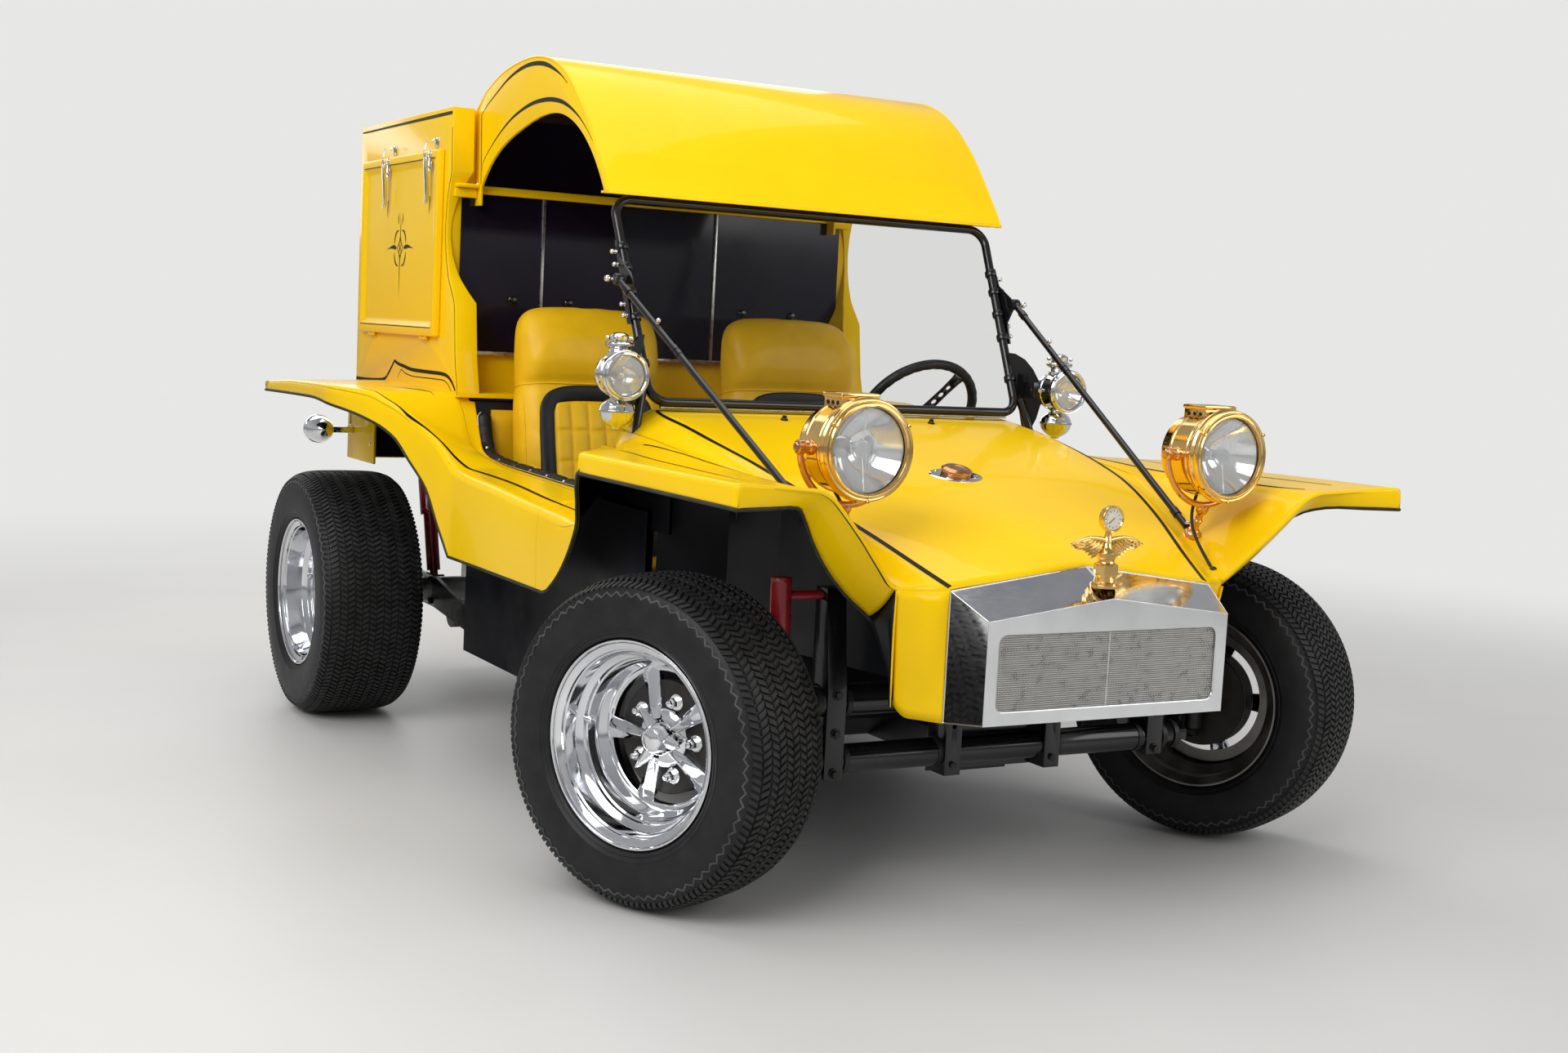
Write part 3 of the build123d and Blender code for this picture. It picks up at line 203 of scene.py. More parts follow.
def rubber(name, dark, light, roughness=(0.5, 0.72)):
    """Matt rubber with a fine grain."""
    tree, shader = new_material(name)
    noise = object_noise(tree, 26, 7.0)
    mottled(tree, shader, noise, dark, light, (0.35, 0.7))
    uneven(tree, shader, noise, *roughness)
    constants(shader, specular=0.3)
    grain = object_noise(tree, 900, 3.0)
    bump(tree, shader, grain.outputs["Fac"], 0.2, 0.0006)


paint("body_yellow", (0.90, 0.553, 0.002), (0.94, 0.598, 0.004))
surface("black_paint", (0.004, 0.0045, 0.006), (0.008, 0.0085, 0.011), (0.28, 0.46), scale=7, bump_scale=260,
        bump_strength=0.08, specular=0.3)
surface("black_gloss", (0.003, 0.003, 0.004), (0.007, 0.007, 0.008), (0.14, 0.28), scale=11, coat=0.3,
        bump_scale=180, bump_strength=0.05, specular=0.35)
surface("stripe", (0.003, 0.003, 0.003), (0.007, 0.006, 0.006), (0.34, 0.46), scale=30, bump_scale=300,
        bump_strength=0.03, specular=0.12)
polished("chrome", (0.66, 0.67, 0.69), (0.78, 0.79, 0.80))
polished("rim_chrome", (0.62, 0.63, 0.66), (0.76, 0.77, 0.79), (0.03, 0.12))
surface("dull_steel", (0.20, 0.19, 0.175), (0.33, 0.31, 0.29), (0.32, 0.5), 1.0, scale=16, bump_scale=120,
        bump_strength=0.12)
surface("stainless", (0.50, 0.49, 0.46), (0.66, 0.65, 0.62), (0.24, 0.38), 1.0, scale=60, bump_scale=800,
        bump_strength=0.1)
polished("brass", (0.78, 0.50, 0.16), (0.90, 0.62, 0.24), (0.07, 0.2))
polished("copper", (0.56, 0.27, 0.12), (0.74, 0.42, 0.22), (0.14, 0.32))
rubber("tyre", (0.006, 0.006, 0.007), (0.012, 0.012, 0.013), (0.40, 0.58))
rubber("tread", (0.009, 0.009, 0.009), (0.024, 0.024, 0.023), (0.42, 0.62))
rubber("tyre_line", (0.040, 0.042, 0.042), (0.085, 0.088, 0.088), (0.5, 0.7))
surface("iron", (0.018, 0.017, 0.016), (0.05, 0.045, 0.042), (0.4, 0.62), 0.6, scale=22, bump_scale=90,
        bump_strength=0.25)
surface("engine_alloy", (0.27, 0.27, 0.27), (0.42, 0.42, 0.41), (0.34, 0.55), 0.9, scale=14, bump_scale=150,
        bump_strength=0.25)
surface("exhaust_steel", (0.015, 0.014, 0.013), (0.05, 0.042, 0.036), (0.4, 0.65), 0.5, scale=18,
        bump_scale=130, bump_strength=0.2)
vinyl("yellow_vinyl", (0.74, 0.42, 0.006), (0.83, 0.49, 0.010))
surface("black_vinyl", (0.004, 0.004, 0.004), (0.009, 0.009, 0.009), (0.42, 0.58), scale=14, bump_scale=900,
        bump_strength=0.25, specular=0.35)
glass("clear_glass", (0.016, 0.020, 0.022), 0.0, 0.07)
glass("lens_glass", (0.90, 0.93, 0.93), 0.03, 0.32)
surface("ivory", (0.62, 0.58, 0.46), (0.74, 0.70, 0.58), (0.3, 0.45), scale=40, bump_scale=300,
        bump_strength=0.03)
surface("dark_glass", (0.006, 0.004, 0.010), (0.011, 0.008, 0.017), (0.06, 0.12), scale=3, bump_scale=4,
        bump_strength=0.02, specular=0.3)
surface("head_lining", (0.016, 0.008, 0.013), (0.030, 0.014, 0.022), (0.7, 0.9), scale=30, bump_scale=500,
        bump_strength=0.2, specular=0.2)
surface("red_glass", (0.35, 0.005, 0.006), (0.52, 0.012, 0.010), (0.06, 0.14), coat=0.8, bump_scale=240,
        bump_strength=0.3, bump_distance=0.001)
rubber("rubber_lead", (0.016, 0.016, 0.013), (0.040, 0.042, 0.032))
surface("damper_red", (0.22, 0.008, 0.012), (0.34, 0.012, 0.016), (0.22, 0.4), coat=0.4, bump_scale=150,
        bump_strength=0.06)
rubber("wheel_black", (0.008, 0.008, 0.008), (0.018, 0.018, 0.018), (0.3, 0.45))
for node_name, node in nodes.items():
    slot_name = next(p["material_slot"] for p in frame["record"]["subparts"] if p["node"] == node_name)
    node.data.materials.clear()
    node.data.materials.append(M[slot_name])


# Camera, light and floor

def frame_matrix(x, y, z, place):
    """Matrix whose axes are x, y and z, at a place."""
    return Matrix([(x[i], y[i], z[i], place[i]) for i in range(3)] + [(0, 0, 0, 1)])


def new_object(name, data):
    """Object of the scene with the given data."""
    obj = bpy.data.objects.new(name, data)
    bpy.context.scene.collection.objects.link(obj)
    return obj


BACKGROUND = (0.80, 0.80, 0.79, 1)


def make_camera():
    """The photograph's camera."""
    camera = new_object("camera", bpy.data.cameras.new("camera"))
    back = CAMERA_RIGHT.cross(CAMERA_UP)
    camera.matrix_world = frame_matrix(CAMERA_RIGHT, CAMERA_UP, back, CAMERA_AT)
    camera.data.lens = CAMERA_LENS
    camera.data.sensor_width = 36
    camera.data.clip_end = 200
    bpy.context.scene.camera = camera


def area_light(name, place, target, size, power):
    """Soft rectangular light aimed at a target."""
    light = bpy.data.lights.new(name, "AREA")
    light.shape = "RECTANGLE"
    light.size, light.size_y = size
    light.energy = power
    obj = new_object(name, light)
    obj.location = place
    obj.rotation_euler = (Vector(target) - Vector(place)).to_track_quat("-Z", "Y").to_euler()


def make_world():
    """Pale surroundings: plain light on the object, near white where the camera looks, and greys, lightest
    near the horizon, where a mirror looks.
    """
    world = bpy.data.worlds.new("studio")
    bpy.context.scene.world = world
    world.use_nodes = True
    tree = world.node_tree
    back = tree.nodes["Background"]
    back.inputs["Strength"].default_value = 0.42
    back.inputs["Color"].default_value = (0.95, 0.97, 1.0, 1)
    shown = tree.nodes.new("ShaderNodeBackground")
    shown.inputs["Color"].default_value = BACKGROUND
    shown.inputs["Strength"].default_value = 1.0
    mirror = tree.nodes.new("ShaderNodeBackground")
    coords = tree.nodes.new("ShaderNodeTexCoord")
    split = tree.nodes.new("ShaderNodeSeparateXYZ")
    tree.links.new(coords.outputs["Generated"], split.inputs[0])
    sky = ramp(tree, value_range(tree, split.outputs["Z"], 0, 1, -1, 1).outputs["Result"],
               [(0.30, (0.16, 0.155, 0.145)), (0.49, (0.20, 0.195, 0.185)), (0.53, (0.50, 0.50, 0.50)),
                (0.72, (0.42, 0.42, 0.43)), (0.95, (0.28, 0.28, 0.30))])
    tree.links.new(sky.outputs["Color"], mirror.inputs["Color"])
    path = tree.nodes.new("ShaderNodeLightPath")
    first = tree.nodes.new("ShaderNodeMixShader")
    second = tree.nodes.new("ShaderNodeMixShader")
    both = tree.nodes.new("ShaderNodeMath")
    both.operation = "MAXIMUM"
    tree.links.new(path.outputs["Is Glossy Ray"], both.inputs[0])
    tree.links.new(path.outputs["Is Transmission Ray"], both.inputs[1])
    tree.links.new(both.outputs[0], first.inputs["Fac"])
    tree.links.new(back.outputs[0], first.inputs[1])
    tree.links.new(mirror.outputs[0], first.inputs[2])
    tree.links.new(path.outputs["Is Camera Ray"], second.inputs["Fac"])
    tree.links.new(first.outputs[0], second.inputs[1])
    tree.links.new(shown.outputs[0], second.inputs[2])
    tree.links.new(second.outputs[0], tree.nodes["World Output"].inputs["Surface"])


def make_floor():
    """Plain pale floor, as it is near the object, that passes into the background with distance."""
    mesh = bpy.data.meshes.new("floor")
    mesh.from_pydata([(-40, -40, 0), (40, -40, 0), (40, 40, 0), (-40, 40, 0)], [], [(0, 1, 2, 3)])
    floor = new_object("floor", mesh)
    tree, shader = new_material("floor")
    noise = object_noise(tree, 0.8, 6.0)
    mottled(tree, shader, noise, (0.58, 0.57, 0.55), (0.63, 0.62, 0.60))
    uneven(tree, shader, noise, 0.42, 0.55)
    coords = tree.nodes.new("ShaderNodeTexCoord")
    length = tree.nodes.new("ShaderNodeVectorMath")
    length.operation = "LENGTH"
    tree.links.new(coords.outputs["Object"], length.inputs[0])
    far = value_range(tree, length.outputs["Value"], 0.0, 1.0, 2.2, 6.5)
    far.interpolation_type = "SMOOTHSTEP"
    path = tree.nodes.new("ShaderNodeLightPath")
    seen = tree.nodes.new("ShaderNodeMath")
    seen.operation = "MULTIPLY"
    tree.links.new(far.outputs["Result"], seen.inputs[0])
    tree.links.new(path.outputs["Is Camera Ray"], seen.inputs[1])
    back = tree.nodes.new("ShaderNodeEmission")
    back.inputs["Color"].default_value = BACKGROUND
    mix = tree.nodes.new("ShaderNodeMixShader")
    tree.links.new(seen.outputs[0], mix.inputs["Fac"])
    tree.links.new(shader.outputs[0], mix.inputs[1])
    tree.links.new(back.outputs[0], mix.inputs[2])
    tree.links.new(mix.outputs[0], tree.nodes["Material Output"].inputs["Surface"])
    mesh.materials.append(M["floor"])


bpy.context.scene.view_settings.view_transform = "Standard"
make_camera()
make_world()
make_floor()
area_light("key", (3.2, -5.2, 4.6), (-0.2, 0, 0.6), (5.0, 3.4), 305)
area_light("fill", (5.6, 3.6, 3.4), (0.4, 0, 0.6), (4.4, 3.4), 120)
area_light("top", (-0.6, -0.4, 5.6), (-0.2, 0, 0), (6.5, 4.0), 145)
area_light("rear", (-5.2, 0.6, 3.0), (-0.8, 0, 0.8), (5.0, 3.2), 80)


# Mesh helpers


def join(obj, body, node=None):
    """Sets a piece on its body's empty and hides the node it replaces."""
    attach(obj, body)
    if node:
        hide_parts(node)


def mesh_piece(name, verts, faces, material, body="chassis", smooth=True, angle=38, extra=(), node=None):
    """New piece from points and faces, smooth up to an edge angle, riding on a body."""
    mesh = bpy.data.meshes.new(name)
    mesh.from_pydata([tuple(v) for v in verts], [], [tuple(f) for f in faces])
    mesh.validate()
    for slot_name in (material, *extra):
        mesh.materials.append(M[slot_name])
    if smooth:
        mesh.polygons.foreach_set("use_smooth", [True] * len(mesh.polygons))
        mesh.set_sharp_from_angle(angle=math.radians(angle))
    obj = new_object(name, mesh)
    join(obj, body, node)
    return obj


class Shape:
    """Collects points and faces of one piece."""

    def __init__(self):
        """Starts empty."""
        self.verts, self.faces = [], []

    def add(self, verts, faces):
        """Adds points, and faces numbered from the first of them."""
        start = len(self.verts)
        self.verts += [Vector(v) for v in verts]
        self.faces += [tuple(start + i for i in f) for f in faces]

    def grid(self, rows, close_u=False, close_v=False, flip=False):
        """Rows of points joined by quads."""
        n, m = len(rows), len(rows[0])
        faces = []
        for i in range(n if close_u else n - 1):
            for j in range(m if close_v else m - 1):
                a, b = i * m + j, i * m + (j + 1) % m
                c, d = ((i + 1) % n) * m + (j + 1) % m, ((i + 1) % n) * m + j
                faces.append((a, d, c, b) if flip else (a, b, c, d))
        self.add([p for row in rows for p in row], faces)

    def lathe(self, profile, matrix, steps=48, close=False):
        """Profile of (along, radius) pairs turned about the matrix's X axis."""
        rows = [[matrix @ polar(w, r, a) for w, r in profile] for a in angles(steps)]
        self.grid(rows, close_u=True, close_v=close, flip=True)

    def tube(self, points, radius, steps=12, close=False):
        """Round tube along points; the radius may differ from point to point."""
        points = [Vector(p) for p in points]
        n = len(points)
        radii = radius if isinstance(radius, (list, tuple)) else [radius] * n
        up = None
        rows = []
        for i, p in enumerate(points):
            before = points[i - 1 if (close or i) else 0]
            after = points[(i + 1) % n if close else min(i + 1, n - 1)]
            along = (after - before).normalized()
            if up is None:
                up = along.orthogonal().normalized()
            up = (up - along * up.dot(along)).normalized()
            side = along.cross(up)
            rows.append([p + (up * math.cos(a) + side * math.sin(a)) * radii[i] for a in angles(steps)])
        start = len(self.verts)
        self.grid(rows, close_u=close, close_v=True)
        if not close:
            self.faces.append(tuple(start + k for k in reversed(range(steps))))
            self.faces.append(tuple(start + (n - 1) * steps + k for k in range(steps)))

    def block(self, low, high, matrix=Matrix.Identity(4), bevel=0.0):
        """Box between two corners, with cut edges if a bevel is given."""
        (x0, x1), (y0, y1), (z0, z1) = (sorted(pair) for pair in zip(low, high))
        if not bevel:
            verts = [(x, y, z) for x in (x0, x1) for y in (y0, y1) for z in (z0, z1)]
            faces = [(0, 1, 3, 2), (4, 6, 7, 5), (0, 4, 5, 1), (2, 3, 7, 6), (0, 2, 6, 4), (1, 5, 7, 3)]
            self.add([matrix @ Vector(v) for v in verts], faces)
            return
        bm = bmesh.new()
        made = bmesh.ops.create_cube(bm, size=1)
        for v in made["verts"]:
            v.co = Vector((x0 if v.co.x < 0 else x1, y0 if v.co.y < 0 else y1, z0 if v.co.z < 0 else z1))
        bmesh.ops.bevel(bm, geom=bm.edges[:], offset=bevel, segments=2, affect="EDGES", profile=0.5)
        bm.verts.index_update()
        self.add([matrix @ v.co for v in bm.verts], [[v.index for v in f.verts] for f in bm.faces])
        bm.free()

    def ball(self, centre, radius, steps=16):
        """Ball round a centre."""
        rows = []
        for i in range(steps // 2 + 1):
            tilt = math.pi * i / (steps // 2)
            ring, high = radius * math.sin(tilt), radius * math.cos(tilt)
            rows.append([Vector(centre) + Vector((ring * math.cos(a), ring * math.sin(a), high))
                         for a in angles(steps)])
        self.grid(rows, close_v=True)

    def mirrored(self):
        """The mirror image across the vehicle's middle."""
        other = Shape()
        other.add([Vector((v.x, -v.y, v.z)) for v in self.verts], [tuple(reversed(f)) for f in self.faces])
        return other

    def mirror(self):
        """Adds the mirror image across the vehicle's middle."""
        other = self.mirrored()
        self.add(other.verts, other.faces)

    def piece(self, name, material, body="chassis", **options):
        """Piece made of what was collected."""
        return mesh_piece(name, self.verts, self.faces, material, body, **options)


def angles(steps, start=0.0):
    """Angles of a full turn in equal steps."""
    return [math.tau * k / steps + start for k in range(steps)]


def polar(w, r, a):
    """Point at w along X, at radius r and angle a about it."""
    return Vector((w, r * math.cos(a), r * math.sin(a)))


def turned(place, axis, up=(0, 0, 1)):
    """Matrix at a place whose X runs along the axis and whose Y is as near up as it can be."""
    x = Vector(axis).normalized()
    y = Vector(up)
    y = (y - x * y.dot(x))
    y = y.normalized() if y.length > 1e-4 else x.orthogonal().normalized()
    z = x.cross(y)
    return frame_matrix(x, y, z, place)


def smooth_line(points, per=8, close=False):
    """Catmull-Rom line through points."""
    points = [Vector(p) for p in points]
    n = len(points)
    line = []
    for i in range(n if close else n - 1):
        p1, p2 = points[i], points[(i + 1) % n]
        p0 = points[i - 1] if (i or close) else p1 * 2 - p2
        p3 = points[(i + 2) % n] if (close or i + 2 < n) else p2 * 2 - p1
        for k in range(per):
            t = k / per
            line.append(0.5 * (2 * p1 + (p2 - p0) * t + (2 * p0 - 5 * p1 + 4 * p2 - p3) * t * t
                               + (3 * p1 - p0 - 3 * p2 + p3) * t ** 3))
    if not close:
        line.append(points[-1])
    return line


def table_value(xs, ys, x):
    """Monotone cubic reading of a table, so that no bump comes between its rows."""
    n = len(xs)
    x = min(max(x, xs[0]), xs[-1])
    i = min(max(next((k for k in range(n - 1) if x <= xs[k + 1]), n - 2), 0), n - 2)
    slopes = [(ys[k + 1] - ys[k]) / (xs[k + 1] - xs[k]) for k in range(n - 1)]

    def tangent(k):
        """Slope at a row."""
        if k == 0:
            return slopes[0]
        if k == n - 1:
            return slopes[-1]
        a, b = slopes[k - 1], slopes[k]
        if a * b <= 0:
            return 0.0
        wa, wb = 2 * (xs[k + 1] - xs[k]) + xs[k] - xs[k - 1], xs[k + 1] - xs[k] + 2 * (xs[k] - xs[k - 1])
        return (wa + wb) / (wa / a + wb / b)

    h = xs[i + 1] - xs[i]
    t = (x - xs[i]) / h
    return ((2 * t ** 3 - 3 * t * t + 1) * ys[i] + (t ** 3 - 2 * t * t + t) * h * tangent(i)
            + (3 * t * t - 2 * t ** 3) * ys[i + 1] + (t ** 3 - t * t) * h * tangent(i + 1))


def rounded(points, radii, per=5, run=3):
    """Polyline with its corners rounded, always with the same number of points."""
    points = [Vector(p) for p in points]
    line = [points[0]]
    last = points[0]
    for i in range(1, len(points) - 1):
        a, b, c = points[i - 1], points[i], points[i + 1]
        cut = min(radii[i - 1], 0.48 * (b - a).length, 0.48 * (c - b).length)
        start, end = b + (a - b).normalized() * cut, b + (c - b).normalized() * cut
        line += [last.lerp(start, (k + 1) / run) for k in range(run - 1)]
        for k in range(per + 1):
            t = k / per
            line.append(start * (1 - t) ** 2 + b * 2 * t * (1 - t) + end * t * t)
        last = end
    line += [last.lerp(points[-1], (k + 1) / run) for k in range(run)]
    return line


def shell(obj, thickness):
    """Thickness inwards, with the inner side in the piece's second material."""
    solid = obj.modifiers.new("thickness", "SOLIDIFY")
    solid.thickness = thickness
    solid.offset = -1
    solid.use_even_offset = True
    solid.thickness_clamp = 1.5
    solid.material_offset = 1
    return obj


# Wheels
Wheel = namedtuple("Wheel", "name hub axle tread_r inner outer disc")
REAR_X, REAR_Z = -0.930, 0.347
WHEELS = []
# Hub's place, steering, tyre radius, then the rim's inner and outer face and its disc along the axle.
for end, x, y, steer, tread_r, inner, outer, disc in (
        ("front", 1.010, 0.668, STEER, 0.333, -0.014, 0.197, 0.080),
        ("rear", REAR_X, 0.700, 0.0, REAR_Z, 0.002, 0.261, 0.096)):
    for side, word in ((-1, "right"), (1, "left")):
        axle = Vector((-side * math.sin(steer), side * math.cos(steer), 0))
        WHEELS.append(Wheel(end + "_" + word, Vector((x, side * y, tread_r)), axle, tread_r, inner, outer,
                            disc))


def tyre_outline(half, tread_r, depth):
    """Outer half of the carcass as (from the middle, radius), from the bead to the crown's middle."""
    side = [(half - 0.0095, 0.1925), (half - 0.0075, 0.209), (half - 0.002, 0.2105), (half + 0.002, 0.2125),
            (half + 0.0045, 0.2165), (half + 0.0055, 0.2185), (half + 0.0048, 0.2200),
            (half + 0.0068, 0.2225), (half + 0.0084, 0.2270), (half + 0.0094, 0.2275),
            (half + 0.0098, 0.2300), (half + 0.0092, 0.2305)]
    wall = [(0.0104, 0.10), (0.0117, 0.24), (0.0120, 0.38), (0.0112, 0.52), (0.0088, 0.66), (0.0045, 0.79)]
    side += [(half + w, 0.229 + (tread_r - depth - 0.229) * t) for w, t in wall]
    side += [(half - 0.0035, tread_r - 0.0185 - depth * 0.4), (half - 0.0140, tread_r - 0.0105 - depth * 0.8),
             (half - 0.0270, tread_r - 0.0052 - depth), (half - 0.0460, tread_r - 0.0022 - depth),
             (half * 0.45, tread_r - 0.0008 - depth), (0.0, tread_r - depth)]
    return side


def along_outline(line, distance):
    """Point and outward normal at a distance along a line of (w, r) points."""
    for (w0, r0), (w1, r1) in zip(line, line[1:]):
        length = math.hypot(w1 - w0, r1 - r0)
        if distance <= length:
            t = distance / length
            return (w0 + (w1 - w0) * t, r0 + (r1 - r0) * t), ((r1 - r0) / length, (w0 - w1) / length)
        distance -= length
    return line[-1], (0.0, 1.0)


def make_tyre(wheel):
    """Carcass, a border of teeth on each shoulder, and a herringbone tread of slanting blocks."""
    tread_r, depth = wheel.tread_r, 0.0055
    middle, half = (wheel.inner + wheel.outer) / 2, (wheel.outer - wheel.inner) / 2
    place = turned(wheel.hub + wheel.axle * middle, wheel.axle)
    name, body = "tyre_" + wheel.name, "wheel_" + wheel.name
    line = tyre_outline(half, tread_r, depth)
    carcass = Shape()
    whole = line + [(-w, r) for w, r in reversed(line[:-1])]
    carcass.lathe(whole, place, steps=144)
    carcass.piece(name + "_carcass", "tyre", body, angle=50, node=name)
    # Blocks lie on the line from one shoulder over the crown to the other.
    crown = [p for p in whole if p[1] > tread_r - 0.030 - depth]
    lengths = [math.hypot(b[0] - a[0], b[1] - a[1]) for a, b in zip(crown, crown[1:])]
    total = sum(lengths)
    columns = round(total / 0.0205)
    around = round(math.tau * tread_r / 0.0155)
    pitch, width = math.tau / around, total / columns
    blocks = Shape()

    def out(s, a, lift):
        """Point lifted off the crown, at a distance across it and an angle round it."""
        (w, r), (nw, nr) = along_outline(crown, min(max(s, 0), total - 1e-6))
        return place @ polar(w + nw * lift, r + nr * lift, a)

    thick = pitch * 0.66
    lift = depth - 0.0005
    for column in range(columns):
        slant = pitch * 0.62 * (1 if column % 2 else -1)
        s0, s1 = column * width + width * 0.05, (column + 1) * width - width * 0.05
        for k in range(around):
            a0 = (k + 0.25 * (column % 2)) * pitch
            low = [(s0, a0 - slant / 2), (s1, a0 + slant / 2), (s1, a0 + thick + slant / 2),
                   (s0, a0 + thick - slant / 2)]
            mid_s, mid_a = (s0 + s1) / 2, a0 + thick / 2
            top = [(mid_s + (s - mid_s) * 0.88, mid_a + (a - mid_a) * 0.86) for s, a in low]
            blocks.add([out(s, a, 0.0) for s, a in low] + [out(s, a, lift) for s, a in top],
                       [(4, 5, 6, 7), (0, 1, 5, 4), (1, 2, 6, 5), (2, 3, 7, 6), (3, 0, 4, 7)])
    blocks.piece(name + "_tread", "tread", body, smooth=False)
    # Toothed border line on each sidewall, just inside the tread.
    border = Shape()
    teeth = 72
    for side in (1, -1):
        rows = []
        for k, a in enumerate(angles(teeth * 2)):
            base = tread_r - 0.043 + (0.0085 if k % 2 else 0.0)
            row = []
            for step, lift in ((0.0, -0.001), (0.0008, 0.0012), (0.0042, 0.0012), (0.0050, -0.001)):
                r = base + step
                w = table_value([p[1] for p in line[11:20]], [p[0] for p in line[11:20]], r) + lift
                row.append(place @ polar(side * w, r, a))
            rows.append(row)
        border.grid(rows, close_u=True, flip=side < 0)
    border.piece(name + "_border", "tyre_line", body, angle=60)


def make_rim(wheel):
    """Deep stepped barrel, a five-spoke centre with ridged spokes, lug nuts, and an eared spinner."""
    inner, outer, disc = wheel.inner, wheel.outer, wheel.disc
    name, body = "rim_" + wheel.name, "wheel_" + wheel.name
    place = turned(wheel.hub, wheel.axle)
    barrel = Shape()
    lip = RIM_LIP_R
    depth = outer - disc
    front = [(outer - 0.0045, lip - 0.0105), (outer - 0.001, lip), (outer + 0.0005, lip - 0.0012),
             (outer, lip - 0.0045), (outer - 0.004, lip - 0.0075), (outer - 0.008, lip - 0.0155),
             (outer - 0.011, lip - 0.0205), (outer - 0.016, lip - 0.0215), (outer - 0.018, lip - 0.0245),
             (outer - 0.30 * depth, lip - 0.0262), (outer - 0.38 * depth, lip - 0.0285),
             (outer - 0.43 * depth, lip - 0.0350), (outer - 0.46 * depth, lip - 0.0405),
             (outer - 0.52 * depth, lip - 0.0420), (outer - 0.54 * depth, lip - 0.0455),
             (outer - 0.70 * depth, lip - 0.0475), (outer - 0.78 * depth, lip - 0.0520),
             (outer - 0.84 * depth, lip - 0.0600), (disc + 0.012, lip - 0.0640), (disc + 0.009, lip - 0.0700)]
    barrel.lathe(front, place, steps=128)
    barrel.piece(name + "_barrel", "rim_chrome", body, angle=24, node=name)
    back = Shape()
    back.lathe([(disc + 0.004, lip - 0.0415), (disc - 0.01, lip - 0.0415), (inner + 0.053, lip - 0.0415),
                (inner + 0.041, lip - 0.0235), (inner + 0.012, lip - 0.0215), (inner + 0.004, lip - 0.0100),
                (inner, lip - 0.0045), (inner, lip), (inner + 0.002, lip), (inner + 0.006, lip - 0.012)],
               place, steps=96)
    back.piece(name + "_back", "dull_steel", body, angle=30)

    # Flat ring that carries the spokes, and the hub plate with its five nut pads.
    centre = Shape()
    ring = [(disc - 0.006, 0.1480), (disc + 0.009, 0.1480), (disc + 0.0105, 0.1450), (disc + 0.0105, 0.1375),
            (disc + 0.0085, 0.1350), (disc + 0.0030, 0.1340), (disc - 0.006, 0.1340)]
    centre.lathe(ring, place, steps=96, close=True)
    centre.lathe([(disc - 0.004, 0.0), (disc - 0.004, 0.060), (disc + 0.010, 0.060), (disc + 0.014, 0.056),
                  (disc + 0.018, 0.044), (disc + 0.019, 0.0)], place, steps=64)
    spokes = Shape()
    # Each row: radius, half width, height of the edge and of the ridge above the disc.
    rows = [(0.040, 0.0125, 0.016, 0.031), (0.055, 0.0130, 0.015, 0.031), (0.075, 0.0150, 0.0135, 0.0285),
            (0.100, 0.0185, 0.0115, 0.0240), (0.125, 0.0215, 0.0100, 0.0185), (0.138, 0.0235, 0.0090, 0.0150),
            (0.149, 0.0250, 0.0080, 0.0105)]
    for a in angles(5, math.pi / 2):
        e_r, e_t = polar(0, 1, a), polar(0, 1, a + math.pi / 2)
        grid = []
        for r, half, edge, ridge in rows:
            slope = edge + (ridge - edge) * 0.52
            flank = [(half, -0.004), (half, edge - 0.002), (half * 0.94, edge), (half * 0.45, slope),
                     (0.0011, ridge)]
            section = [(-t, w) for t, w in flank] + flank[::-1]
            grid.append([place @ (e_r * r + e_t * t + Vector((disc + w, 0, 0))) for t, w in section])
        spokes.grid(grid)
    spokes.piece(name + "_spokes", "rim_chrome", body, angle=30)
    centre.piece(name + "_centre", "rim_chrome", body, angle=30)

    # Steel disc behind the spokes with a slot at each nut.
    plate = Shape()
    grid = []
    for a in angles(100, math.pi / 2):
        phase = (5 * (a - math.pi / 2) / math.tau) % 1.0
        gap = max(0.0, 1 - abs(phase - 0.5) / 0.30)
        grid.append([place @ polar(disc - 0.004, r, a) for r in (0.058, 0.08, 0.100 + 0.012 * gap)])
    plate.grid(grid, close_u=True)
    plate.lathe([(disc - 0.007, 0.134), (disc - 0.007, 0.160), (disc + 0.004, lip - 0.0415)], place, steps=96)
    plate.piece(name + "_plate", "dull_steel", body, smooth=False)
    nuts = Shape()
    for a in angles(5, math.tau * 0.1 + math.pi / 2):
        at = place @ Matrix.Translation(polar(disc, 0.078, a))
        nuts.lathe([(-0.004, 0.017), (0.004, 0.017), (0.006, 0.0145), (0.006, 0.0)], at, steps=24)
        nuts.lathe([(0.006, 0.0105), (0.020, 0.0105), (0.0235, 0.008), (0.0235, 0.0)], at, steps=6)
        nuts.lathe([(0.0235, 0.0072), (0.029, 0.0060), (0.031, 0.0)], at, steps=16)
    nuts.piece(name + "_nuts", "chrome", body, angle=30)

